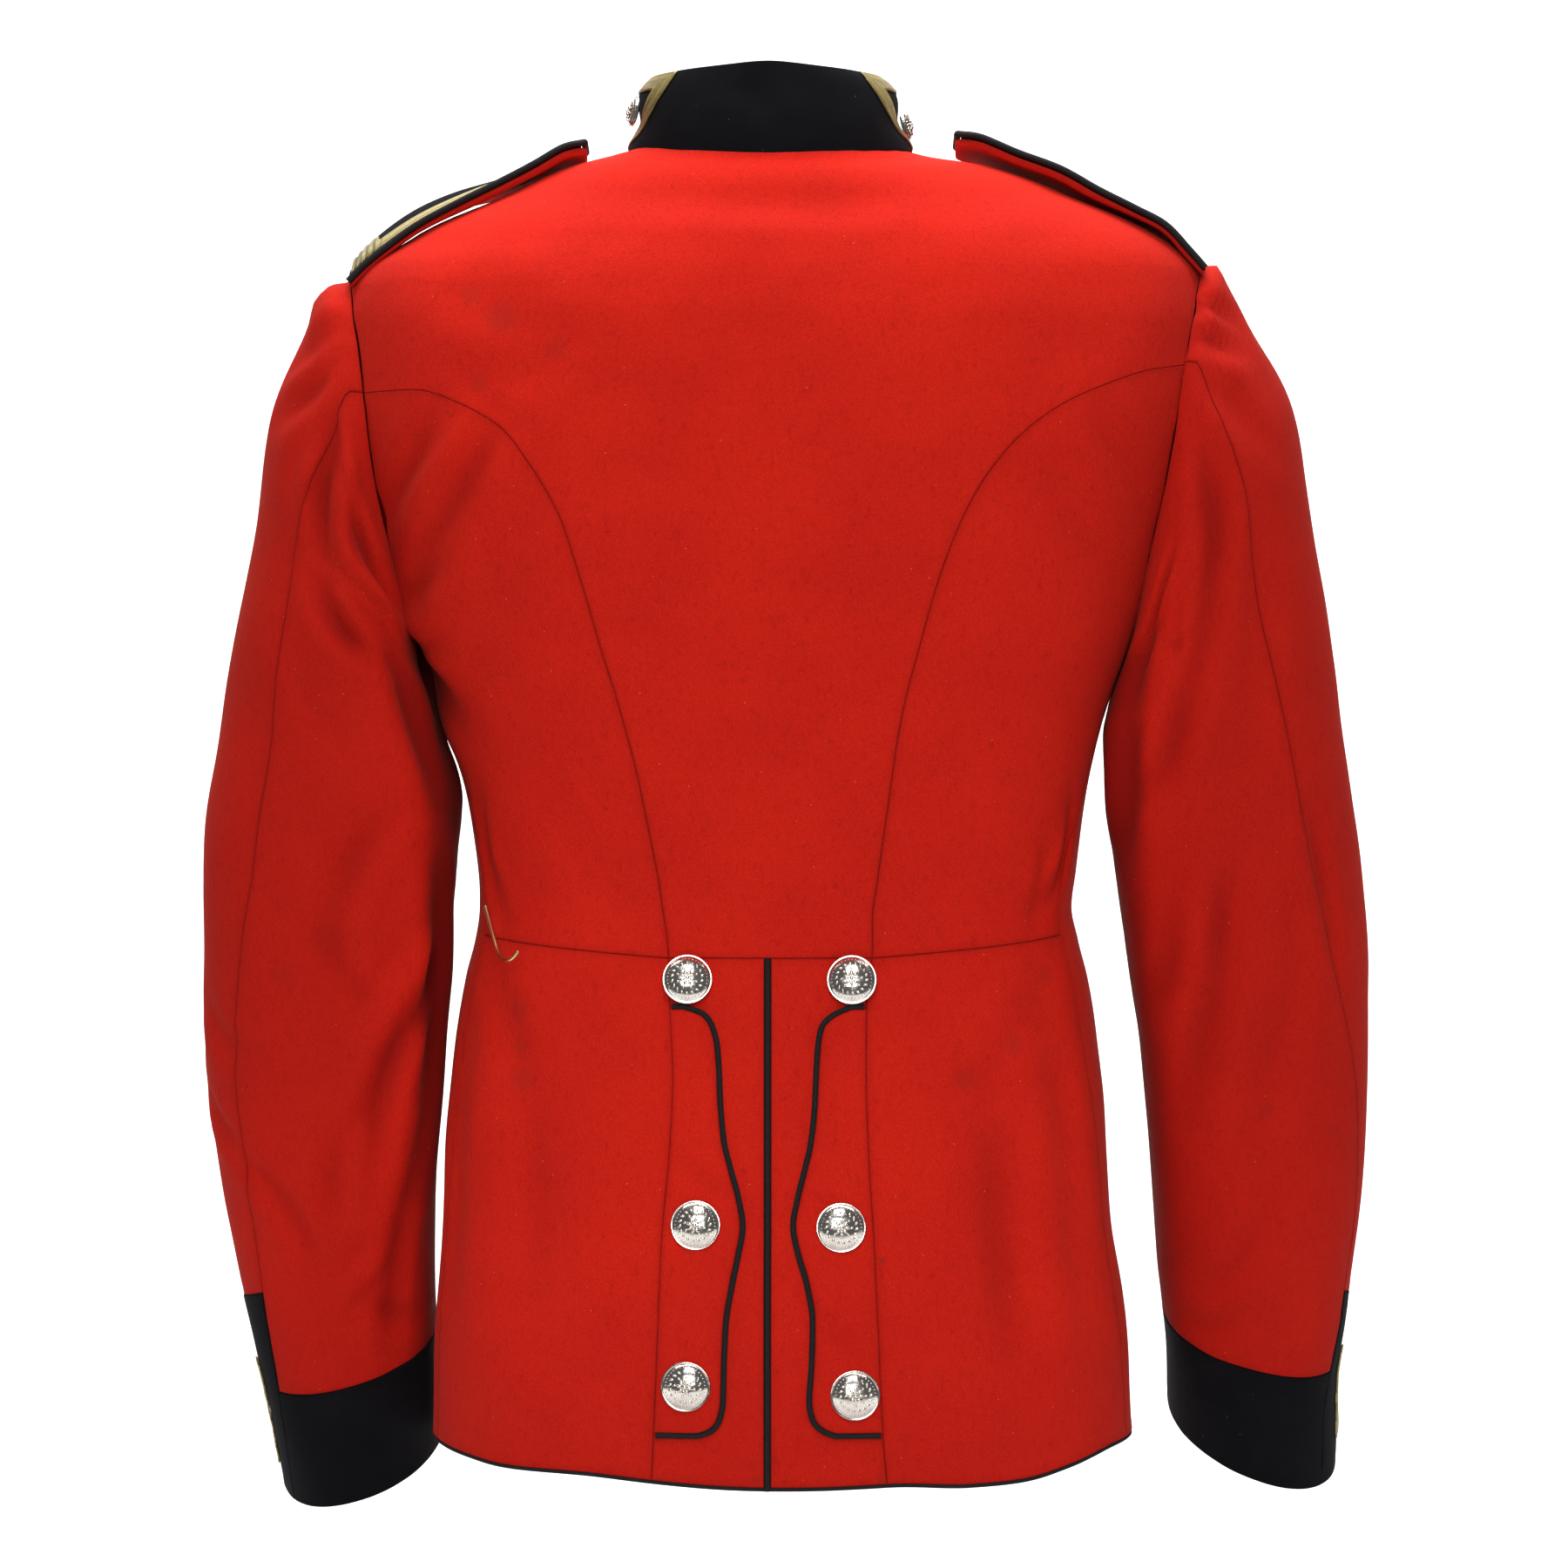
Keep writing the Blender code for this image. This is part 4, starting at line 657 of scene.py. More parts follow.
def unit(vectors: Array) -> Array:
    """The vectors at length one."""
    return vectors / np.linalg.norm(vectors, axis=-1, keepdims=True)


def rounded(turn: Any, squareness: Any) -> tuple[Array, Array]:
    """The two coordinates of a rounded square of half width one.

    Args:
        turn: Turns round it, in radians.
        squareness: Two for a circle, and more for a squarer shape.

    Returns:
        The coordinates along its two axes.
    """
    cosine, sine = np.cos(turn), np.sin(turn)
    power = 2 / squareness
    return np.sign(cosine) * np.abs(cosine) ** power, np.sign(sine) * np.abs(sine) ** power


def run_along(points: Array, axis: int = 0) -> Array:
    """How far each point lies along its line of points.

    Args:
        points: Points in their last axis.
        axis: The axis that the lines run along.

    Returns:
        The distance from each line's first point.
    """
    steps = np.linalg.norm(np.diff(points, axis=axis), axis=-1)
    runs = np.cumsum(steps, axis=axis)
    return np.concatenate([np.zeros_like(np.take(runs, [0], axis=axis)), runs], axis=axis)


# ---------------------------------------------------------------- forms


class Form:
    """A smooth surface of two numbers, in millimetres, at the middle of its cloth."""

    second_step = 0.2
    outward = 1.0

    def point(self, a: Array, b: Array) -> Array:
        """Points of the surface."""
        raise NotImplementedError

    def normal(self, a: Array, b: Array) -> Array:
        """Unit normals that point out of the garment.

        Args:
            a: The places' first numbers.
            b: Their second numbers.

        Returns:
            The normals.
        """
        first_step = 1e-3
        along = self.point(a + first_step, b) - self.point(a - first_step, b)
        up = self.point(a, b + self.second_step) - self.point(a, b - self.second_step)
        return self.outward * unit(np.cross(along, up))

    def laid_flat(self, a: Array, b: Array) -> Array:
        """The two numbers as lengths on a flat piece, for creases."""
        raise NotImplementedError

    def rounds(self) -> tuple[float, ...]:
        """How far a turn round the form shifts a flat place, for creases that cross its start."""
        return (0.0,)


class BodyForm(Form):
    """The body, from hem to neck."""

    millimetres_a_degree = 2.55
    searches = 12

    def point(self, a: Array, b: Array) -> Array:
        """Points of the body at these turns and side heights.

        Args:
            a: Turns, in radians.
            b: Side heights.

        Returns:
            The points.
        """
        across, along = rounded(a, BODY.at("squareness", b))
        behind = np.sin(a) > 0
        depth = np.where(behind, BODY.at("back", b), BODY.at("front", b))
        dip = np.where(behind, BODY.at("back_dip", b), BODY.at("front_dip", b))
        x = BODY.at("shift", b) + (BODY.at("half_width", b) - CLOTH / 2) * across
        return np.stack([x, (depth - CLOTH / 2) * along, b + dip * np.sin(a) ** 2], -1)

    def laid_flat(self, a: Array, b: Array) -> Array:
        """Turns and heights as lengths."""
        return np.stack([np.degrees(a) * self.millimetres_a_degree, b + 0 * a], -1)

    def rounds(self) -> tuple[float, ...]:
        """Once round the body, either way."""
        whole = 360 * self.millimetres_a_degree
        return (-whole, 0.0, whole)

    @staticmethod
    def place(across: Any, z: Any, face: str = "back") -> Array:
        """Finds a place from how it is seen from behind or in front.

        Args:
            across: The distance across the body, in millimetres.
            z: The true height.
            face: "back" or "front".

        Returns:
            The place's turn and side height.
        """
        height = np.clip(np.asarray(z, float), HEM, NECK)
        turn = np.zeros_like(height)
        for _ in range(BodyForm.searches):
            reach = (across - BODY.at("shift", height)) / (BODY.at("half_width", height) - CLOTH / 2)
            reach = np.clip(reach, -1, 1)
            cosine = np.sign(reach) * np.abs(reach) ** (BODY.at("squareness", height) / 2)
            turn = np.arccos(cosine)
            height = np.clip(z - BODY.at(face + "_dip", height) * np.sin(turn) ** 2, HEM, NECK)
        return np.stack([turn if face == "back" else -turn, height], -1)


class CollarForm(Form):
    """The stand collar, by its turn and its rise from seam to top edge."""

    second_step = 0.01
    seat_drop = 2.2
    seat_rise = 0.12
    bump_height = 1.6
    bump_turn = 0.03
    bump_reach = 0.33

    def point(self, a: Array, b: Array) -> Array:
        """Points of the collar, whose foot reaches down to the neck seam.

        Args:
            a: Turns, in radians.
            b: Rises, from nought at the seam to one at the top.

        Returns:
            The points.
        """
        behind = np.sin(a) > 0
        depth = np.where(behind, COLLAR.at("back", b), COLLAR.at("front", b))
        side = COLLAR.at("side_z", b)
        end = np.where(behind, COLLAR.at("back_z", b), COLLAR.at("front_z", b))
        x = COLLAR.at("shift", b) + (COLLAR.at("half_width", b) - CLOTH / 2) * np.cos(a)
        foot = COLLAR_SEAT - self.seat_drop * np.clip(1 - b / self.seat_rise, 0, 1) ** 2
        nape = np.exp(-(((a - np.pi / 2 - self.bump_turn) / self.bump_reach) ** 2))
        bump = self.bump_height * nape * np.clip(b, 0, 1) ** 3
        z = side + (end - side) * np.sin(a) ** 2 + foot + bump
        return np.stack([x, (depth - CLOTH / 2) * np.sin(a), z], -1)

    def laid_flat(self, a: Array, b: Array) -> Array:
        """Turns and rises as lengths."""
        return np.stack([a * COLLAR_GIRTH_RADIUS, b * COLLAR_HEIGHT], -1)

    def rounds(self) -> tuple[float, ...]:
        """Once round the collar, either way."""
        whole = 2 * np.pi * COLLAR_GIRTH_RADIUS
        return (-whole, 0.0, whole)


BODY_FORM = BodyForm()
COLLAR_FORM = CollarForm()


def loop_keys(side: Side) -> tuple[float, ...]:
    """The armhole's turns at the shoulder, the side-back, side and fore seams, and round again."""
    return (0.0, float(SLEEVES[side].at("hind_turn", 0)), SIDE_SEAM_TURN, FORE_SEAM_TURN, 360.0)


def armhole_place(hole_turn: Any, side: Side) -> Array:
    """The body's (turn, side height) on the armhole's edge, at its own turns in degrees.

    Args:
        hole_turn: Turns round the armhole.
        side: Whose armhole it is.

    Returns:
        The places.
    """
    hole_turn = np.asarray(hole_turn, float)
    top = SHOULDER[side.value]
    middle, half = (top + ARMPIT) / 2, (top - ARMPIT) / 2
    height = middle + half * np.cos(np.radians(hole_turn))
    turn = np.radians(ARMHOLE.at("round_body", hole_turn))
    return np.stack([side.turn(turn), height], -1)


class SleeveForm(Form):
    """A sleeve, by its turn and its section's number."""

    second_step = 0.01
    heading_section = 0.35
    heading_pull = 0.3
    edge_clearance = 1.2

    def __init__(self, side: Side) -> None:
        """Measures the sleeve's run from its head.

        Args:
            side: Whose sleeve it is.
        """
        self.side = side
        self.table = SLEEVES[side]
        self.outward = -side.sign
        self.flip = np.array([side.sign, 1.0, 1.0])
        self.stations = np.linspace(0, CUFF_END, 121)
        self.runs = run_along(self.ring(np.pi / 2 + 0 * self.stations, self.stations))

    def ring(self, turn: Array, section: Array) -> Array:
        """Points of the plain sleeve tube, made at the left, before it is led to the armhole.

        Args:
            turn: Turns round the sleeve, in radians.
            section: Section numbers.

        Returns:
            The points.
        """
        table = self.table
        across, along = rounded(turn, SLEEVE_SQUARENESS)
        outer_x, outer_z = table.at("outer_x", section), table.at("outer_z", section)
        inner_x, inner_z = table.at("inner_x", section), table.at("inner_z", section)
        half_x, half_z = (outer_x - inner_x) / 2, (outer_z - inner_z) / 2
        trim = 1 - CLOTH / 2 / np.hypot(half_x, half_z)
        x = (outer_x + inner_x) / 2 + across * half_x * trim
        z = (outer_z + inner_z) / 2 + across * half_z * trim - along * table.at("rear_drop", section)
        y = table.at("middle_y", section) + along * (table.at("half_depth", section) - CLOTH / 2)
        return np.stack([x, y, z], -1)

    def start(self, hole_turn: Array) -> Array:
        """Where the sleeve's wall starts, just clear of the armhole's edge, made at the left.

        Args:
            hole_turn: Turns round the armhole, in degrees.

        Returns:
            The points.
        """
        side, gap = self.side, ARMHOLE_GAP
        place = armhole_place(hole_turn, side)
        edge = BODY_FORM.point(place[..., 0], place[..., 1]) * self.flip
        out = BODY_FORM.normal(place[..., 0], place[..., 1]) * self.flip
        level = (SHOULDER[side.value] + ARMPIT) / 2
        inward = BODY_FORM.point(np.array(side.turn(0.0)), np.array(level)) * self.flip - edge
        inward -= (inward * out).sum(-1, keepdims=True) * out
        inward = unit(inward)
        plain = self.ring(np.radians(hole_turn), 0 * hole_turn)
        onward = self.ring(np.radians(hole_turn), 0 * hole_turn + self.heading_section)
        heading = unit(onward - plain - self.heading_pull * (edge - plain))
        rising = (heading * out).sum(-1, keepdims=True)
        ahead = (heading * inward).sum(-1, keepdims=True)
        fold = np.arctan2(np.maximum(rising, 0), ahead)
        clear_ahead = self.edge_clearance * gap + CLOTH / 2 * np.maximum(-rising, 0)
        return edge + inward * clear_ahead + out * (CLOTH + gap) * np.sin(fold / 2)

    def point(self, a: Array, b: Array) -> Array:
        """Points of the sleeve at these turns and sections.

        Args:
            a: Turns, in radians.
            b: Section numbers.

        Returns:
            The points.
        """
        a, b = np.broadcast_arrays(a, np.asarray(b, float))
        lead = np.clip(1 - b / SLEEVE_HEAD_SECTIONS, 0, 1)[..., None] ** 2
        start = self.start(np.degrees(a) % 360) - self.ring(a, 0 * b)
        return (self.ring(a, b) + start * lead) * self.flip

    def normal(self, a: Array, b: Array) -> Array:
        """Unit normals, read just inside the sleeve's two ends."""
        return super().normal(a, np.clip(b, 0.02, CUFF_END))

    def laid_flat(self, a: Array, b: Array) -> Array:
        """Turns and sections as lengths."""
        return np.stack([np.degrees(a), np.interp(b, self.stations, self.runs)], -1)

    def rounds(self) -> tuple[float, ...]:
        """Once round the sleeve, either way."""
        return (-360.0, 0.0, 360.0)


class StrapForm(Form):
    """A shoulder strap: across runs from -1 at its front edge to 1 at its rear edge, by station."""

    second_step = 0.01
    half_width = 27.0
    station_length = 18.0

    def __init__(self, side: Side) -> None:
        """Takes the side's table."""
        self.side = side
        self.table = STRAPS[side]

    def point(self, a: Array, b: Array) -> Array:
        """Points of the strap at these reaches across and stations.

        Args:
            a: Reaches across.
            b: Stations.

        Returns:
            The points.
        """
        table = self.table
        edges = (1 + a) / 2 * table.at("rear_z", b) + (1 - a) / 2 * table.at("front_z", b)
        z = edges + table.at("arch", b) * (1 - a**2)
        return np.stack([table.at("x", b) * self.side.sign + 0 * a, a * table.at("half_width", b), z], -1)

    def normal(self, a: Array, b: Array) -> Array:
        """Unit normals that point up."""
        upward = super().normal(a, np.clip(b, 0.01, 7.99))
        return upward * np.sign(upward[..., 2:])

    def laid_flat(self, a: Array, b: Array) -> Array:
        """Reaches and stations as lengths."""
        return np.stack([a * self.half_width, b * self.station_length], -1)


SLEEVE_FORMS = {side: SleeveForm(side) for side in Side}
STRAP_FORMS = {side: StrapForm(side) for side in Side}


# ---------------------------------------------------------------- cloth


def waves(points: Array, rows: Sequence[Sequence[float]]) -> Array:
    """A sum of waves through space, read at points.

    Args:
        points: Where it is read.
        rows: One row for each wave.

    Returns:
        Its heights there.
    """
    total = np.zeros(points.shape[:-1])
    for across, along, down, phase, height in rows:
        pace = points @ (2 * np.pi / np.array([across, along, down], float))
        total += height * np.sin(pace + phase)
    return total


@dataclass(frozen=True)
class Creases:
    """The creases of one form, as soft troughs and ridges along bent lines.

    Args:
        form: The form that they lie on.
        rows: One row of sizes for each crease, in the creases' columns.
        samples: How many points each line has.
        reach: How far from its line a crease works, in its own widths.
        swell: How high the cloth swells beside a trough, as a share of its depth.
        swell_at: Where that swell is highest, in widths.
        swell_width: How wide it is, in widths.
        lean_reach: How far the leaning side is lifted, in widths.
        lean_rise: How steeply it is.
        lean_share: How much of the lean shows.
        end_fade: How much of a half turn is cut off where a crease fades out.
        fade_power: How long a crease keeps its depth before it fades.
    """

    form: Form
    rows: tuple[tuple[float, ...], ...] = ()
    samples: int = 18
    reach: float = 3.2
    swell: float = 0.36
    swell_at: float = 1.8
    swell_width: float = 0.8
    lean_reach: float = 1.8
    lean_rise: float = 1.4
    lean_share: float = 0.6
    end_fade: float = 0.12
    fade_power: float = 0.75

    def _line(self, size: dict[str, float]) -> Array:
        """A crease's bent line on the flat form, as even points.

        Args:
            size: The crease's sizes, by their columns' names.

        Returns:
            The points.
        """
        part = np.linspace(0, 1, self.samples)[:, None]
        start, middle, end = (np.array([size["a" + k], size["b" + k]]) for k in "012")
        knee = 2 * middle - (start + end) / 2
        places = (1 - part) ** 2 * start + 2 * part * (1 - part) * knee + part**2 * end
        return self.form.laid_flat(np.radians(places[:, 0]), places[:, 1])

    def _one(self, row: tuple[float, ...], here: Array) -> Array:
        """How far one crease moves the cloth out at flat places.

        Args:
            row: The crease's row.
            here: The flat places.

        Returns:
            The distances.
        """
        size = dict(zip(CREASE_COLUMNS, row))
        line = self._line(size)
        reach = self.reach * size["width"]
        moved = np.zeros(len(here))
        step = np.diff(line, axis=0)[None]
        for shift in self.form.rounds():
            near = here + [shift, 0.0]
            inside = np.all((near > line.min(0) - reach) & (near < line.max(0) + reach), axis=1)
            if not inside.any():
                continue
            gap = near[inside][:, None, :] - line[None, :-1]
            share = np.clip((gap * step).sum(-1) / (step**2).sum(-1), 0, 1)
            away = gap - share[..., None] * step
            distance = np.linalg.norm(away, axis=-1)
            pick = np.arange(len(distance))
            closest = distance.argmin(1)
            ahead, aside = step[0, closest], away[pick, closest]
            turned = ahead[:, 0] * aside[:, 1] - ahead[:, 1] * aside[:, 0]
            offset = np.sign(turned) * distance[pick, closest] / size["width"]
            along = (closest + share[pick, closest]) / (self.samples - 1)
            fade = np.sin(self.end_fade + (np.pi - 2 * self.end_fade) * along) ** self.fade_power
            beside = (np.abs(offset) - self.swell_at) / self.swell_width
            trough = np.exp(-(offset**2)) - self.swell * np.exp(-(beside**2))
            leant = size["lean"] * np.tanh(self.lean_rise * offset)
            raised = leant * np.exp(-((offset / self.lean_reach) ** 2))
            moved[inside] += size["depth"] * fade * (self.lean_share * raised - trough)
        return moved

    def lift(self, a: Array, b: Array) -> Array:
        """How far the creases move the cloth out.

        Args:
            a: The places' first numbers.
            b: Their second numbers.

        Returns:
            Distances along the normals, in millimetres.
        """
        here = self.form.laid_flat(a, b).reshape(-1, 2)
        total = sum((self._one(row, here) for row in self.rows), np.zeros(len(here)))
        return total.reshape(a.shape)


def edge_shares(length: Any, pitch: float) -> Array:
    """Shares along lines of these lengths, close together near the ends and even between them.

    Args:
        length: Each line's length, in millimetres.
        pitch: The greatest step between two shares.

    Returns:
        One row of shares for each line, with nought first and one last.
    """
    fine = np.array(EDGE_STEPS)
    length = np.atleast_1d(np.asarray(length, float))[:, None]
    start = np.minimum(fine / length, EDGE_STEPS_MOST * fine / fine[-1])
    end = 1 - start[:, ::-1]
    count = max(int(np.ceil(length.max() / pitch)), 2)
    part = np.linspace(0, 1, count + 1)[None, 1:-1]
    between = start[:, -1:] + (end[:, :1] - start[:, -1:]) * part
    return np.concatenate([start, between, end], axis=1)


@dataclass(frozen=True)
class Borders:
    """How a sheet's first row, last row, first column and last column end.

    Args:
        gaps: How far each draws in from its seam.
        rolls: Over how much of its width each rounds off.
    """

    gaps: tuple[float, float, float, float] = (0.0,) * 4
    rolls: tuple[float, float, float, float] = (SEAM_ROLL,) * 4


@dataclass
class ClothMaker:
    """Makes sheets of cloth on forms, and tells the frame about each one.

    Args:
        finishes: The material of each of the record's slots.
        made: The names of the pieces made so far.
    """

    finishes: dict[Slot, bpy.types.Material]
    made: list[str] = field(default_factory=list)

    @staticmethod
    def _drawn_in(points: Array, gaps: Sequence[float]) -> Array:
        """The grid with its borders moved in by these gaps, and the rest moved less and less.

        Args:
            points: The grid.
            gaps: The gaps at its first row, last row, first column and last column.

        Returns:
            The moved grid.
        """
        moved = points.copy()
        for number, gap in enumerate(gaps):
            if gap <= 0.0:
                continue
            grid = moved if number < 2 else moved.transpose(1, 0, 2)
            grid = grid if number % 2 == 0 else grid[::-1]
            along = unit(np.gradient(grid[0], axis=0) + TINY)
            inward = grid[1] - grid[0]
            inward = unit(inward - (inward * along).sum(-1, keepdims=True) * along + TINY)
            grid += inward * (gap * np.exp(-run_along(grid) / (DRAW_IN_REACH * gap)))[..., None]
        return moved

    def sheet(
        self,
        name: str,
        slot: Slot,
        form: Form,
        places: Array,
        thickness: float | Array = CLOTH,
        lift: float | Array = 0.0,
        creases: Creases | None = None,
        borders: Borders = Borders(),
        ring: bool = False,
        relief: Array | None = None,
        wavy: float = 1.0,
        shade: Array | float = 0.0,
        held: str = "hung",
        rests_on: Sequence[str] = (),
    ) -> None:
        """Makes one closed sheet of cloth and tells the frame about it.

        Args:
            name: The CAD node's name, from which the piece gets its own.
            slot: The record's material slot.
            form: The form that it lies on.
            places: A grid of the form's two numbers.
            thickness: The cloth's thickness, in millimetres.
            lift: How far its middle lies outside the form.
            creases: Its creases.
            borders: How its borders end.
            ring: Whether the last row meets the first again, as on a frame of lace.
            relief: How far its outer face stands proud at each grid point.
            wavy: How strongly its seams pucker and its cloth wanders.
            shade: Painted shade in hollows other than its creases, as a depth in millimetres; it only
                darkens the colour.
            held: Not used.
            rests_on: Not used.
        """
        a, b = places[..., 0], places[..., 1]
        points, normals = form.point(a, b), form.normal(a, b)
        fold = creases.lift(a, b) if creases else np.zeros(a.shape)
        down, over = run_along(points, 0), run_along(points, 1)
        edges = (down, down[-1:] - down, over, over[:, -1:] - over)
        shape, near = np.ones(a.shape), np.full(a.shape, FAR)
        for distance, roll in zip(edges, borders.rolls):
            if roll > 0:
                share = np.clip(distance / roll, 0, 1)
                shape = np.minimum(shape, np.sqrt(np.maximum(1 - (1 - share) ** 2, ROLL_THINNEST)))
                near = np.minimum(near, distance)
        beside = np.exp(-near / PUCKER_REACH)
        pucker = waves(points, SEAM_WAVES) * beside * np.clip(near / PUCKER_START, 0, 1)
        wander = waves(points, SLOW_WAVES) + pucker
        middle = self._drawn_in(points, borders.gaps) + normals * (lift + fold + wavy * wander)[..., None]
        half = thickness / 2 * shape
        proud = 0 if relief is None else relief * shape
        outer = middle + normals * (half + proud)[..., None]
        piece = self._shell(name + PIECE_ENDING, outer, middle - normals * half[..., None], ring)
        piece.data.materials.append(self.finishes[slot])
        # The material reads this to paint shade in crease troughs and in the hollows given by shade.
        self._mark(piece, over, down, fold - shade, near)
        self._declare(piece, slot, name)

    @staticmethod
    def _shell(name: str, outer: Array, inner: Array, ring: bool) -> bpy.types.Object:
        """A closed mesh between an outer and an inner grid.

        Args:
            name: The piece's name.
            outer: The outer grid.
            inner: The inner grid.
            ring: Whether the last row meets the first again.

        Returns:
            The piece.
        """
        rows, columns = outer.shape[:2]
        points = np.concatenate([outer.reshape(-1, 3), inner.reshape(-1, 3)]) * MM
        index = np.arange(rows * columns).reshape(rows, columns)
        if ring:
            index = np.concatenate([index, index[:1]], axis=0)
            borders = [index[:-1, 0], index[:-1, -1][::-1]]
        else:
            sides = [index[0, :-1], index[:-1, -1], index[-1, :0:-1], index[:0:-1, 0]]
            borders = [np.concatenate(sides)[::-1]]
        quads = np.stack([index[:-1, :-1], index[:-1, 1:], index[1:, 1:], index[1:, :-1]], -1).reshape(-1, 4)
        below = rows * columns
        faces = [quads, quads[:, ::-1] + below]
        for border in borders:
            following = np.roll(border, -1)
            faces.append(np.stack([border, following, following + below, border + below], -1))
        faces = np.concatenate(faces)
        first, second, third, fourth = (points[faces[:, corner]] for corner in range(4))
        volume = (np.cross(first, second) * third + np.cross(first, third) * fourth).sum()
        mesh = bpy.data.meshes.new(name)
        mesh.from_pydata(points.tolist(), [], (faces if volume > 0 else faces[:, ::-1]).tolist())
        mesh.shade_smooth()
        piece = bpy.data.objects.new(name, mesh)
        bpy.context.scene.collection.objects.link(piece)
        return piece

    @staticmethod
    def _mark(piece: bpy.types.Object, over: Array, down: Array, fold: Array, near: Array) -> None:
        """Gives a piece its UV map, in metres, and the numbers that its material reads.

        Args:
            piece: The piece.
            over: How far each point lies across the cut.
            down: How far it lies along the cut.
            fold: How far its cloth is moved out by its creases, less the painted shade; the material paints
                shade where it is low.
            near: How far it is from the nearest border.
        """
        mesh = piece.data
        corners = np.empty(len(mesh.loops), np.int32)
        mesh.loops.foreach_get("vertex_index", corners)
        plane = np.tile(np.stack([over, down], -1).reshape(-1, 2) * MM, (2, 1))
        layer = mesh.uv_layers.new(name="cut")
        layer.uv.foreach_set("vector", plane[corners].astype(np.float32).ravel())
        for label, values in (("fold", fold), ("seam", np.exp(-near / SEAM_LINE_REACH))):
            attribute = mesh.attributes.new(label, "FLOAT", "POINT")
            attribute.data.foreach_set("value", np.tile(values.ravel(), 2).astype(np.float32))

    def _declare(
        self, piece: bpy.types.Object, slot: Slot, node: str
    ) -> None:
        """Tells the frame what a sheet stands for, and logs the size that it was cut to.

        Args:
            piece: The sheet.
            slot: The record's material slot.
            node: The CAD node that it replaces.
        """
        stands_for(piece, slot, node)
        plane = np.empty(len(piece.data.loops) * 2, np.float32)
        piece.data.uv_layers["cut"].uv.foreach_get("vector", plane)
        flat = [max(float(size), SMALLEST_CUT) for size in plane.reshape(-1, 2).max(0)]
        area = sum(polygon.area for polygon in piece.data.polygons) / 2
        share = min(max(area / (flat[0] * flat[1]), 0.3), 1.0)
        share * flat[0] * flat[1]
        self.made.append(piece.name)
        wide, long = flat[0] / MM, flat[1] / MM
        LOG.info("%s: cut %.0f x %.0f mm, %d faces", piece.name, wide, long, len(piece.data.polygons))


def stands_for(piece: bpy.types.Object, slot: Slot, node: str) -> None:
    """Tells the frame what a piece rides on, and hides the CAD node that it replaces.

    Args:
        piece: The piece.
        slot: Not used.
        node: The CAD node that it replaces.
    """
    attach(piece, BODY_NAME)
    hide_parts(node)


# ---------------------------------------------------------------- seams of the body


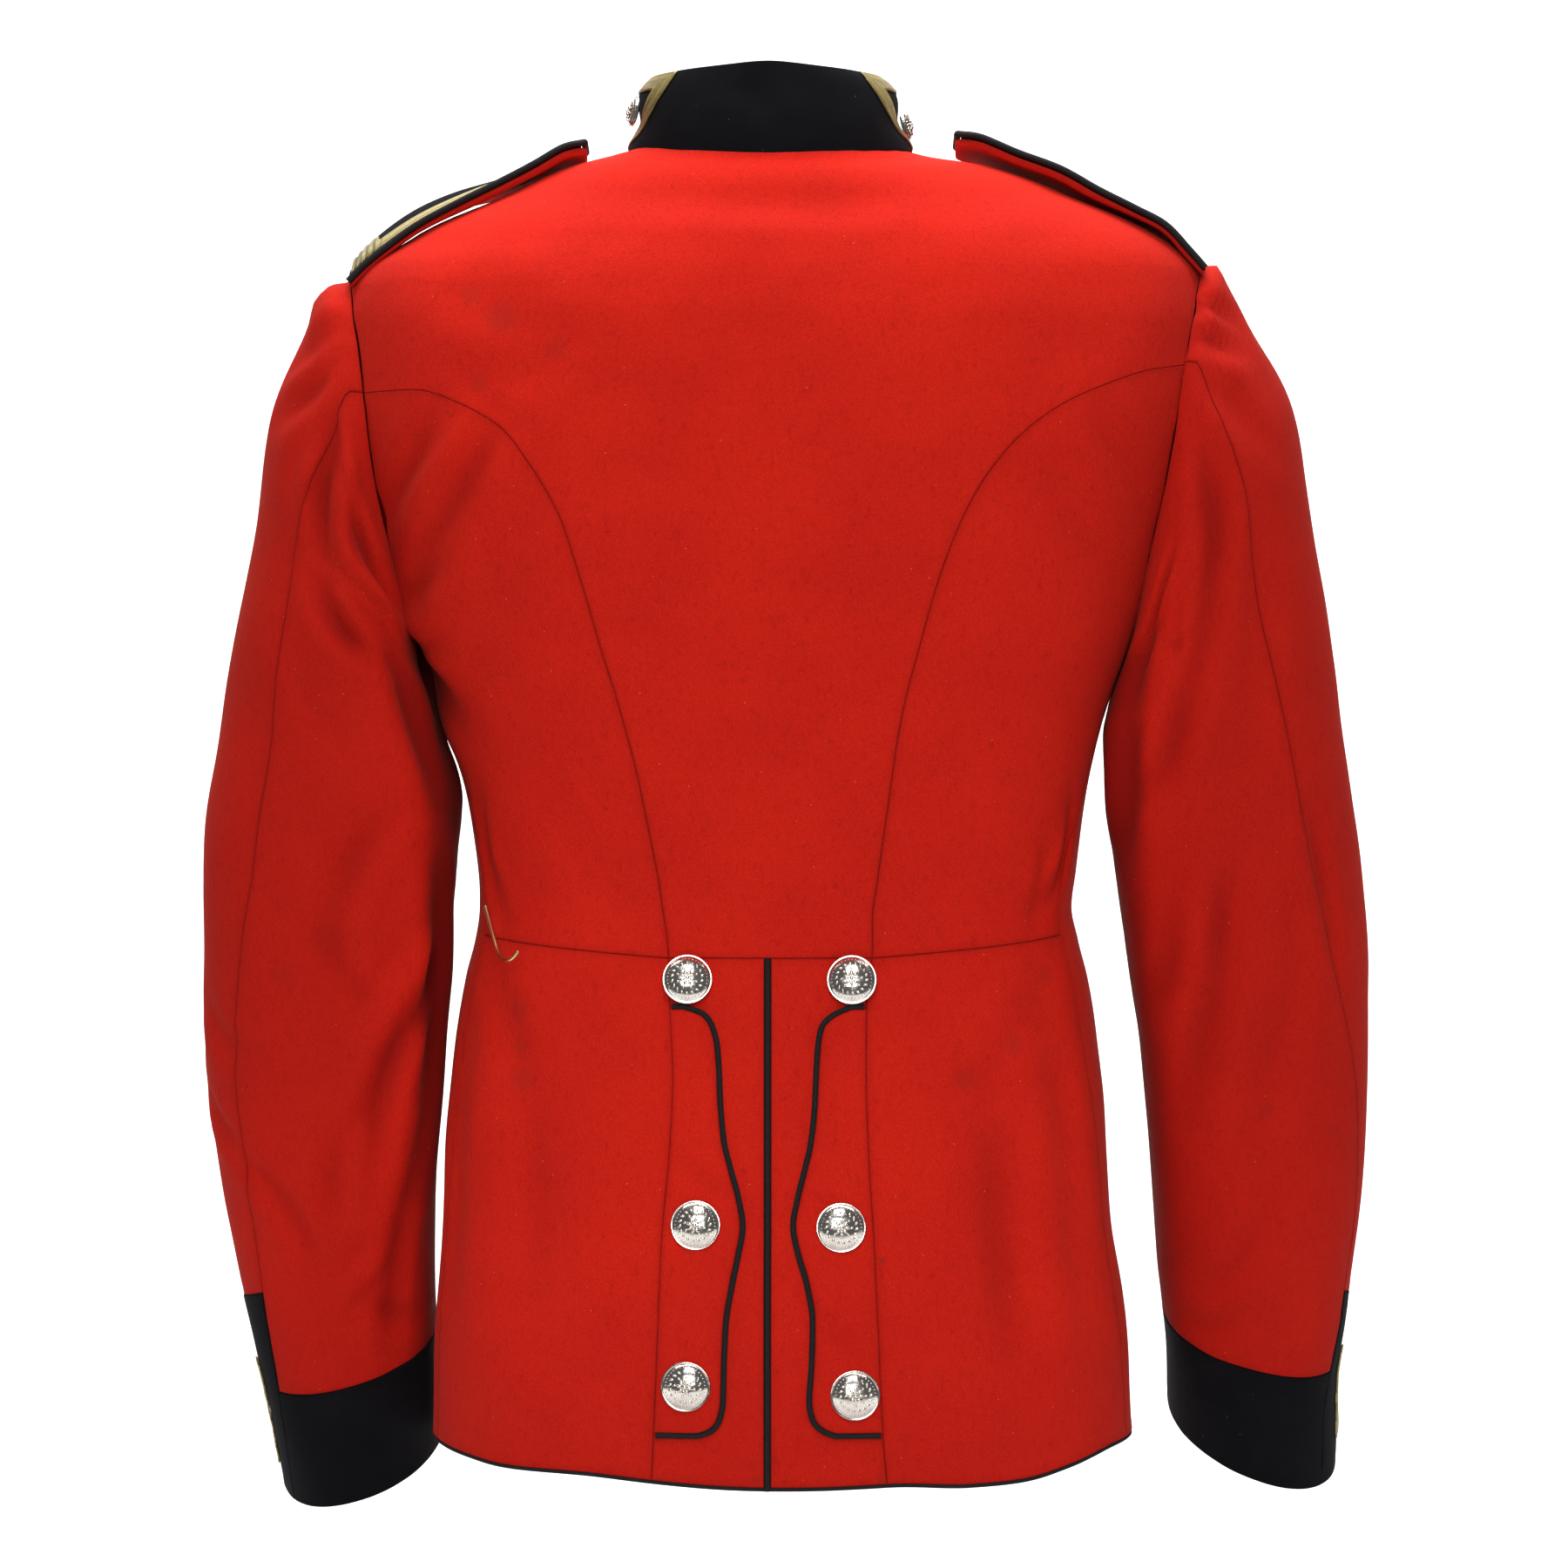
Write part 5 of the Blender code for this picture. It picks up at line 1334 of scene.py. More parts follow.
class Seams:
    """The body's seams, each as a rough line of places that runs up or down it."""

    shares = np.linspace(0, 1, 41)

    @staticmethod
    def hem_height(turn: Array) -> Array:
        """The hem's side height at a turn."""
        return HEM_LINE.at("side_z", np.degrees(turn) % 360)

    def side_back(self, side: Side) -> Array:
        """The curved side-back seam, from the waist to the armhole.

        Args:
            side: Whose seam it is.

        Returns:
            The places.
        """
        names = (side.value + "_z", side.value + "_across")
        rows = SIDE_BACK.rows[:, [SIDE_BACK_COLUMNS.index(name) for name in names]]
        seam = BODY_FORM.place(rows[:, 1] * side.sign, rows[:, 0])
        seam[0] = self.plait(side)[0]
        return np.concatenate([seam, armhole_place(loop_keys(side)[1], side)[None]])

    @staticmethod
    def side_seam(side: Side, heights: Array) -> Array:
        """The side seam at these side heights."""
        turn = np.radians(SIDE_SEAM.at(side.value + "_round", heights))
        return np.stack([side.turn(turn), heights], -1)

    def upper_side(self, side: Side) -> Array:
        """The side seam, from the waist to the armhole.

        Args:
            side: Whose seam it is.

        Returns:
            The places.
        """
        end = armhole_place(SIDE_SEAM_TURN, side)
        places = self.side_seam(side, WAIST_SIDE + (end[1] - WAIST_SIDE) * self.shares)
        places[:, 0] += (end[0] - places[-1, 0]) * self.shares**4
        return places

    def lower_side(self, side: Side) -> Array:
        """The side seam, from the waist down to the hem."""
        return self._to_hem(self.side_seam(side, WAIST_SIDE + (HEM - WAIST_SIDE) * self.shares))

    def _to_hem(self, places: Array) -> Array:
        """A seam that runs down, stretched so that it ends on the hem.

        Args:
            places: The seam's places, downwards.

        Returns:
            The same places, stretched.
        """
        top, foot = places[0, 1], places[-1, 1]
        wanted = self.hem_height(places[-1, 0])
        places[:, 1] = top + (places[:, 1] - top) * (wanted - top) / (foot - top)
        return places

    def plait(self, side: Side) -> Array:
        """The plait seam, from the waist down to the hem.

        Args:
            side: Whose seam it is.

        Returns:
            The places.
        """
        heights = WAIST_CENTRE + (PLAIT_ROWS[-1][0] - WAIST_CENTRE) * self.shares
        across = PLAIT.at(side.value + "_across", heights) * side.sign
        return self._to_hem(BODY_FORM.place(across, heights))

    def vent(self) -> Array:
        """The centre vent, from the waist to the hem."""
        heights = WAIST_CENTRE + (HEM - 18 - WAIST_CENTRE) * self.shares
        return self._to_hem(BODY_FORM.place(np.full(len(heights), VENT_ACROSS), heights))

    @staticmethod
    def front_edge(heights: Array) -> Array:
        """The front edge at these side heights."""
        reach = (FRONT_EDGE_ACROSS - BODY.at("shift", heights)) / BODY.at("half_width", heights)
        return np.stack([-np.arccos(np.clip(reach, -1, 1)), heights], -1)

    @staticmethod
    def shoulder(side: Side) -> Array:
        """The shoulder seam, from the armhole to the neck."""
        heights = np.linspace(SHOULDER[side.value], NECK, 31)
        return np.stack([np.full(len(heights), side.turn(0.0)), heights], -1)

    @staticmethod
    def armhole(side: Side, first: float, last: float) -> Array:
        """The armhole's edge between two of its turns."""
        return armhole_place(np.linspace(first, last, 33), side)

    def front_side(self, side: Side) -> list[Array]:
        """A forepart's side edge in runs: up the side seam, round the armhole and along the shoulder."""
        armhole = self.armhole(side, SIDE_SEAM_TURN, 360.0)
        return [self.lower_side(side)[::-1], self.upper_side(side), armhole, self.shoulder(side)]


SEAMS = Seams()


def read_together(form: Form, lines: Sequence[Sequence[Array]], pitch: float = PITCH) -> list[Array]:
    """Reads lines that are made of runs, finely and with as many places on each.

    Args:
        form: The form that the lines lie on.
        lines: Each line as its runs in order, with as many runs on each.
        pitch: The greatest step.

    Returns:
        One row of places for each line, close together near both of its ends.
    """
    read: list[list[Array]] = [[] for _ in lines]
    count = len(lines[0])
    for number in range(count):
        runs = [line[number] for line in lines]
        along = [run_along(form.point(run[:, 0], run[:, 1])) for run in runs]
        lengths = np.array([run[-1] for run in along])
        shares = edge_shares(lengths, pitch)
        for line, (places, run, share) in enumerate(zip(runs, along, shares)):
            table = Sections(("run", "a", "b"), np.column_stack([run, places]))
            found = np.stack([table.at("a", share * run[-1]), table.at("b", share * run[-1])], -1)
            read[line].append(found if number == count - 1 else found[:-1])
    return [np.concatenate(parts) for parts in read]


def ruled(form: Form, left: Array, right: Array, pitch: float = PITCH) -> Array:
    """A grid of places between two lines with as many places each, close together near both.

    Args:
        form: The form that the lines lie on.
        left: The first line.
        right: The second line.
        pitch: The greatest step across.

    Returns:
        The grid, with a row for each pair of places.
    """
    part = np.linspace(0, 1, 33)
    rough = left[:, None] + (right - left)[:, None] * part[None, :, None]
    runs = run_along(form.point(rough[..., 0], rough[..., 1]), axis=1)
    wanted = edge_shares(runs[:, -1], pitch)
    across = np.array([np.interp(share * run[-1], run, part) for run, share in zip(runs, wanted)])
    return left[:, None] + (right - left)[:, None] * across[..., None]


def patch(left: Array, right: Array, bottom: Array, top: Array) -> Array:
    """A grid that meets four lines, which share their corners.

    Args:
        left: The first line up.
        right: The last line up.
        bottom: The first line across.
        top: The last line across.

    Returns:
        The grid, with a row for each place up.
    """

    def shares(first: Array, last: Array) -> Array:
        """How far along each place lies, between the two lines."""
        runs = [run_along(BODY_FORM.point(line[:, 0], line[:, 1])) for line in (first, last)]
        return (runs[0] / runs[0][-1] + runs[1] / runs[1][-1]) / 2

    up, over = shares(left, right)[:, None, None], shares(bottom, top)[None, :, None]
    low, high = ((1 - over) * line[0] + over * line[-1] for line in (bottom, top))
    corners = (1 - up) * low + up * high
    return (1 - up) * bottom + up * top + (1 - over) * left[:, None] + over * right[:, None] - corners


def led_to_hem(places: Array, row: int) -> Array:
    """A grid whose first or last row is put on the hem, and its other rows moved less and less.

    Args:
        places: The grid, whose rows run across.
        row: Nought where the first row is the hem, and -1 where the last is.

    Returns:
        The grid.
    """
    share = np.linspace(0, 1, len(places)) if row == -1 else np.linspace(1, 0, len(places))
    moved = places.copy()
    short = SEAMS.hem_height(places[row, :, 0]) - places[row, :, 1]
    moved[..., 1] += short * share[:, None] ** 2
    return moved


# ---------------------------------------------------------------- the tunic's cloth


def painted_shade_beside_sleeve(places: Array) -> Array:
    """Painted shade on the body's cloth in the hollow between it and the sleeves.

    Args:
        places: Places on the body.

    Returns:
        Its strength, as depths in millimetres.
    """
    turn, height = np.degrees(places[..., 0]), places[..., 1]
    from_side = np.minimum(np.abs(turn), np.abs(turn - 180))
    above = np.clip((height - PAINTED_SHADE_FOOT) / PAINTED_SHADE_FADE, 0, 1)
    below = np.clip((PAINTED_SHADE_TOP - height) / PAINTED_SHADE_FADE, 0, 1)
    return PAINTED_SHADE_DEPTH * np.exp(-((from_side / PAINTED_SHADE_REACH) ** 2)) * (above * below)


@dataclass(frozen=True)
class Bodice:
    """The back, the two side bodies and the two foreparts.

    Args:
        maker: What makes the sheets.
        creases: The body's creases.
        slot_gap: How far a panel keeps from the middle of a cord in its seam.
    """

    maker: ClothMaker
    creases: Creases
    slot_gap: float = SEAM_PIPE

    def _panel(self, name: str, places: Array, rests_on: str, edge_gap: float = 0.0) -> None:
        """Makes one red panel.

        Args:
            name: The CAD node's name.
            places: Its grid of turns and side heights.
            rests_on: The CAD node that it hangs from.
            edge_gap: How far its last column draws in from its seam.
        """
        self.maker.sheet(
            name,
            Slot.RED,
            BODY_FORM,
            places,
            creases=self.creases,
            borders=Borders((0.0, 0.0, 0.0, edge_gap)),
            # Painted shade beside the sleeves.
            shade=painted_shade_beside_sleeve(places),
            rests_on=[rests_on],
        )

    def back(self) -> None:
        """The back, from the waist to the neck and from armhole to armhole."""
        lines = [
            [SEAMS.side_back(side), SEAMS.armhole(side, loop_keys(side)[1], 0.0), SEAMS.shoulder(side)]
            for side in Side
        ]
        left, right = read_together(BODY_FORM, lines)
        self._panel("back", ruled(BODY_FORM, left, right), "collar")

    def side_body(self, side: Side) -> None:
        """A side body, between the side-back seam, the waist, the side seam and the armhole.

        Args:
            side: Which one it is.
        """
        left, right = read_together(BODY_FORM, [[SEAMS.side_back(side)], [SEAMS.upper_side(side)]])
        top = SEAMS.armhole(side, loop_keys(side)[1], SIDE_SEAM_TURN)
        part = np.linspace(0, 1, len(top))[:, None]
        waist = left[0] * (1 - part) + right[0] * part
        bottom, top = read_together(BODY_FORM, [[waist], [top]])
        self._panel(f"side_body_{side.value}", patch(left, right, bottom, top), "back")

    def forepart(self, side: Side) -> None:
        """A forepart, from the side seam to the front edge and from the hem to the neck.

        Args:
            side: Which one it is.
        """
        (edge,) = read_together(BODY_FORM, [SEAMS.front_side(side)])
        if side is Side.RIGHT:
            edge[:, 0] -= 2 * np.pi
        places = led_to_hem(ruled(BODY_FORM, edge, SEAMS.front_edge(edge[:, 1])), 0)
        self._panel(f"forepart_{side.value}", places, f"side_body_{side.value}", self.slot_gap)

    def build(self) -> None:
        """Makes every panel of it."""
        self.back()
        for side in Side:
            self.side_body(side)
            self.forepart(side)


@dataclass(frozen=True)
class Skirts:
    """The centre and side skirts behind, and the slash flaps that lie on them.

    Args:
        maker: What makes the sheets.
        creases: The body's creases.
        slot_gap: How far a panel keeps from the middle of the cord in the vent.
        flap_clearance: The room between a flap and the skirt under it.
        line_pitch: The greatest step along a slash.
        flap_pitch: The greatest step across a flap.
    """

    maker: ClothMaker
    creases: Creases
    slot_gap: float = SEAM_PIPE
    flap_clearance: float = 0.25
    line_pitch: float = 1.6
    flap_pitch: float = 1.8

    def _panel(self, name: str, lines: Sequence[Array], first_gap: float, rests_on: str) -> None:
        """A skirt panel between two lines that run down to the hem.

        Args:
            name: The CAD node's name.
            lines: The two lines, downwards.
            first_gap: How far the panel draws in from the first line.
            rests_on: The CAD node that it hangs from.
        """
        first, last = read_together(BODY_FORM, [[line] for line in lines])
        places = led_to_hem(ruled(BODY_FORM, first, last), -1)
        borders = Borders((0.0, 0.0, first_gap, 0.0))
        self.maker.sheet(
            name, Slot.RED, BODY_FORM, places, creases=self.creases, borders=borders, rests_on=[rests_on]
        )

    @staticmethod
    def slash_line(side: Side) -> Array:
        """The slash's piped line as (across, z), from its top end to its low end.

        Args:
            side: Whose slash it is.

        Returns:
            The line's points.
        """
        rows = SLASH.rows[::-1]
        line = np.stack([rows[:, SLASH_COLUMNS.index(side.value + "_across")], rows[:, 0]], -1)
        run = run_along(line)
        table = Sections(("run", "across", "z"), np.column_stack([run, line]))
        even = edge_shares(run[-1], Skirts.line_pitch)[0] * run[-1]
        return np.stack([table.at("across", even), table.at("z", even)], -1)

    @staticmethod
    def beside(line: Array, distance: float) -> Array:
        """A line of (across, z) moved towards the plait seam.

        Args:
            line: The line.
            distance: How far it is moved.

        Returns:
            The moved line.
        """
        along = unit(np.gradient(line, axis=0))
        aside = np.stack([-along[:, 1], along[:, 0]], -1)
        return line + aside * distance

    def flap(self, side: Side) -> None:
        """A slash flap, from the plait seam to its piped edge.

        Args:
            side: Whose flap it is.
        """
        edge = self.beside(self.slash_line(side), SLASH_PIPE)
        seam = PLAIT.at(side.value + "_across", edge[:, 1])
        shares = edge_shares(np.abs(seam - edge[:, 0]).mean(), self.flap_pitch)[0]
        across = seam[:, None] + (edge[:, :1] - seam[:, None]) * shares
        places = BODY_FORM.place(across * side.sign, np.repeat(edge[:, 1:], len(shares), axis=1))
        self.maker.sheet(
            f"slash_flap_{side.value}",
            Slot.RED,
            BODY_FORM,
            places,
            FLAP_CLOTH,
            CLOTH / 2 + self.flap_clearance + FLAP_CLOTH / 2,
            self.creases,
            Borders(rolls=(FREE_ROLL,) * 4),
            held="laid",
            rests_on=[f"centre_skirt_{side.value}"],
        )

    def build(self) -> None:
        """Makes the four skirt panels and the two flaps."""
        for side in Side:
            plait = SEAMS.plait(side)
            centre, outer = f"centre_skirt_{side.value}", f"side_skirt_{side.value}"
            self._panel(centre, (SEAMS.vent(), plait), self.slot_gap, "back")
            self._panel(outer, (plait, SEAMS.lower_side(side)), 0.0, f"side_body_{side.value}")
            self.flap(side)


class Half(Enum):
    """The two halves of a sleeve."""

    TOP = "top"
    UNDER = "under"


@dataclass(frozen=True)
class Sleeve:
    """A two-piece sleeve and its cuff, in two halves that stand at different heights.

    Args:
        maker: What makes the sheets.
        side: Whose sleeve it is.
        creases: The sleeve's creases.
        lace_clearance: The room between the cuff and the strip of lace on it.
        inner_turn: The turn that faces the body.
        inner_reach: How far to both sides the body keeps the light off it.
        painted_shade_depth: How dark the painted shade is there, as a depth.
        lace_pitch: The greatest step on the strip of lace.
        lace_width: About how wide that strip is.
        lace_edge: How far its edges stand proud of its middle.
    """

    maker: ClothMaker
    side: Side
    creases: Creases
    lace_clearance: float = 0.12
    inner_turn: float = 192.0
    inner_reach: float = 42.0
    painted_shade_depth: float = 17.0
    lace_pitch: float = 0.8
    lace_width: float = 9.0
    lace_edge: float = 0.22

    @property
    def form(self) -> SleeveForm:
        """The sleeve's surface."""
        return SLEEVE_FORMS[self.side]

    def _grid(self, half: Half, levels: tuple[float, float], slant_at_end: bool) -> Array:
        """A half's places between two sections, of which one slants up to the hind seam on the top half.

        Args:
            half: Which half it is.
            levels: The sections at its two ends, at the fore seam.
            slant_at_end: Whether the last row slants, and not the first.

        Returns:
            The grid of (turn, section), with rows along the sleeve.
        """
        form = self.form
        runs = np.interp(levels, form.stations, form.runs)
        rows = edge_shares(runs[1] - runs[0], PITCH)[0]
        section = np.interp(runs[0] + (runs[1] - runs[0]) * rows, form.runs, form.stations)[:, None]
        part = edge_shares(HALF_SLEEVE_GIRTH, PITCH)[0][None]
        towards_hind = part if half is Half.TOP else 1 - part
        rise = (CUFF_LOW - CUFF_TALL) * towards_hind if half is Half.TOP else 0 * part
        share = rows[:, None] ** 6 if slant_at_end else 1 - rows[:, None]
        section = section - rise * share
        hind, fore = form.table.at("hind_turn", section), form.table.at("fore_turn", section)
        start, end = (fore, hind + 360) if half is Half.TOP else (hind, fore)
        return np.stack([np.radians(start + (end - start) * part), section], -1)

    def shade(self, places: Array) -> Array:
        """Painted shade on the sleeve's side that faces the body, as a depth in millimetres."""
        from_inner = (np.degrees(places[..., 0]) - self.inner_turn) / self.inner_reach
        return self.painted_shade_depth * np.exp(-(from_inner**2)) * np.clip((places[..., 1] - 0.8) / 1.5, 0, 1)

    def lace(self) -> None:
        """The scalloped strip of lace that stands on the top cuff."""
        rows = np.array(CUFF_LACE_ROWS)
        table = Sections(("section", "half_width"), rows)
        length = np.diff(np.interp(rows[[0, -1], 0], self.form.stations, self.form.runs))
        along = edge_shares(length, self.lace_pitch)[0]
        section = (rows[0, 0] + (rows[-1, 0] - rows[0, 0]) * along)[:, None]
        across = edge_shares(self.lace_width, self.lace_pitch)[0] * 2 - 1
        reach = table.at("half_width", section) / self.form.table.at("half_depth", section)
        turn = np.radians(CUFF_LACE_TURN) + reach * across
        places = np.stack([turn, section + 0 * turn], -1)
        self.maker.sheet(
            f"cuff_lace_{self.side.value}",
            Slot.LACE,
            self.form,
            places,
            LACE,
            CUFF_STEP + CLOTH / 2 + self.lace_clearance + LACE / 2,
            self.creases,
            Borders(rolls=(LACE / 2,) * 4),
            relief=self.lace_edge * np.abs(across[None] + 0 * section) ** 3,
            held="laid",
            rests_on=[f"top_cuff_{self.side.value}"],
        )

    def build(self) -> None:
        """Makes both halves of the sleeve and the cuff, and the lace."""
        side = self.side.value
        for half in Half:
            name = f"{half.value}_sleeve_{side}"
            places = self._grid(half, (0.0, CUFF_LOW), True)
            self.maker.sheet(
                name,
                Slot.RED,
                self.form,
                places,
                creases=self.creases,
                borders=Borders(rolls=(ARMHOLE_ROLL, SEAM_ROLL, SEAM_ROLL, SEAM_ROLL)),
                # Painted shade on the side that faces the body.
                shade=self.shade(places),
                rests_on=["back" if half is Half.TOP else f"side_body_{side}"],
            )
            cuff = f"{half.value}_cuff_{side}"
            places = self._grid(half, (CUFF_LOW, CUFF_END), False)
            self.maker.sheet(
                cuff, Slot.BLACK, self.form, places, CLOTH, CUFF_STEP, self.creases, rests_on=[name]
            )
        self.lace()


# ---------------------------------------------------------------- collar, straps and their lace


Ribs = Callable[[Array, Array], tuple[Array, Array]]


@dataclass(frozen=True)
class LaceFrame:
    """A closed frame of lace on a form, mitred at its corners.

    Args:
        maker: What makes the sheets.
        form: The form that it lies on.
        path: Gives the frame's line at a share of the way from its outer to its inner edge.
        columns: How many places it has across.
        step: The greatest step along it.
        edge_height: How far its two ribbed edges stand proud of its middle.
        creases: The form's creases, which it follows.
    """

    maker: ClothMaker
    form: Form
    path: Callable[[float], Array]
    columns: int = 13
    step: float = 1.4
    edge_height: float = 0.22
    creases: Creases | None = None

    def places(self) -> Array:
        """The frame's grid, with rows along it.

        Returns:
            The grid.
        """
        lines = np.stack([self.path(share) for share in np.linspace(0, 1, self.columns)], 1)
        lines = np.concatenate([lines, lines[:1]])
        middle = lines[:, self.columns // 2]
        steps = np.diff(run_along(self.form.point(middle[:, 0], middle[:, 1])))
        parts = []
        for first, last, length in zip(lines[:-1], lines[1:], steps):
            part = np.linspace(0, 1, max(int(np.ceil(length / self.step)), 1) + 1)[:-1]
            parts.append(first + (last - first) * part[:, None, None])
        return np.concatenate(parts)

    def make(self, name: str, lift: float, rests_on: str, ribs: Ribs | None = None) -> None:
        """Args:
            name: The CAD node's name.
            lift: How far its middle lies off the form.
            rests_on: The CAD node that it lies on.
            ribs: Gives more height, and how deep it is between, from the places and the shares across.
        """
        places = self.places()
        share = np.linspace(0, 1, self.columns)[None] + 0 * places[..., 0]
        relief = self.edge_height * np.clip(np.abs(share - 0.5) * 5 - 1.3, 0, 1)
        shade = 0 * relief
        if ribs:
            raised, shade = ribs(places, share)
            relief = relief + raised
        self.maker.sheet(
            name,
            Slot.LACE,
            self.form,
            places,
            LACE,
            lift,
            self.creases,
            Borders(rolls=(0.0, 0.0, LACE / 2, LACE / 2)),
            ring=True,
            relief=relief,
            wavy=0.0,
            shade=shade,
            held="laid",
            rests_on=[rests_on],
        )


@dataclass(frozen=True)
class Collar:
    """The stand collar and a frame of lace on each side of it.

    Args:
        maker: What makes the sheets.
        lace_clearance: The room between the collar and its lace.
        pitch: The greatest step on the collar.
        creases: Where the collar sinks in.
    """

    maker: ClothMaker
    lace_clearance: float = 0.1
    pitch: float = 2.4
    creases: Creases = Creases(COLLAR_FORM, COLLAR_CREASES)

    @property
    def lace_lift(self) -> float:
        """How far the middle of the lace lies off the collar's middle."""
        return CLOTH / 2 + self.lace_clearance + LACE / 2

    @staticmethod
    def _rear_turn(side: Side, rise: Array) -> Array:
        """The turn, in degrees from the side line, of the lace's rear edge at this rise.

        Args:
            side: Which side of the collar it is on.
            rise: The rise from seam to top edge.

        Returns:
            The turn.
        """
        place = COLLAR_LACE[side.value]
        across = place["seam_across"] + (place["top_across"] - place["seam_across"]) * rise
        reach = (across - COLLAR.at("shift", rise)) / (COLLAR.at("half_width", rise) - CLOTH / 2)
        return np.degrees(np.arccos(np.clip(np.abs(reach), 0, 1)))

    def lace_path(self, side: Side, share: float) -> Array:
        """The frame's line at this share of its width in from its outer edge.

        Args:
            side: Which side of the collar it is on.
            share: Nought at the outer edge and one at the inner.

        Returns:
            A closed line of (turn, rise), without its last place.
        """
        inward = share * LACE_WIDTH
        per_degree = math.radians(COLLAR_GIRTH_RADIUS)
        low, high = 0.03 + inward / COLLAR_HEIGHT, 0.97 - inward / COLLAR_HEIGHT
        front = -87.5 + inward / per_degree
        rises = np.linspace(low, high, 9)
        rear = self._rear_turn(side, rises) - 1.25 * inward / per_degree
        top = np.stack([np.linspace(rear[-1], front, 31), np.full(31, high)], -1)
        fore = np.stack([np.full(5, front), np.linspace(high, low, 5)], -1)
        base = np.stack([np.linspace(front, rear[0], 31), np.full(31, low)], -1)
        slope = np.stack([rear, rises], -1)
        line = np.concatenate([top[:-1], fore[:-1], base[:-1], slope[:-1]])
        return np.stack([side.turn(np.radians(line[:, 0])), line[:, 1]], -1)

    def build(self) -> None:
        """Makes the collar and its lace."""
        opening = math.radians(COLLAR_HALF_OPENING)
        shares = edge_shares(2 * math.pi * COLLAR_GIRTH_RADIUS, self.pitch)[0]
        turns = -np.pi / 2 + opening + (2 * np.pi - 2 * opening) * shares
        turn, rise = np.meshgrid(turns, edge_shares(COLLAR_HEIGHT, self.pitch)[0])
        self.maker.sheet(
            "collar",
            Slot.BLACK,
            COLLAR_FORM,
            np.stack([turn, rise], -1),
            creases=self.creases,
            borders=Borders(rolls=(FREE_ROLL,) * 4),
            wavy=0.0,
            rests_on=["back", "forepart_left", "forepart_right"],
        )
        for side in Side:
            frame = LaceFrame(self.maker, COLLAR_FORM, partial(self.lace_path, side), creases=self.creases)
            frame.make(f"collar_lace_{side.value}", self.lace_lift, "collar")


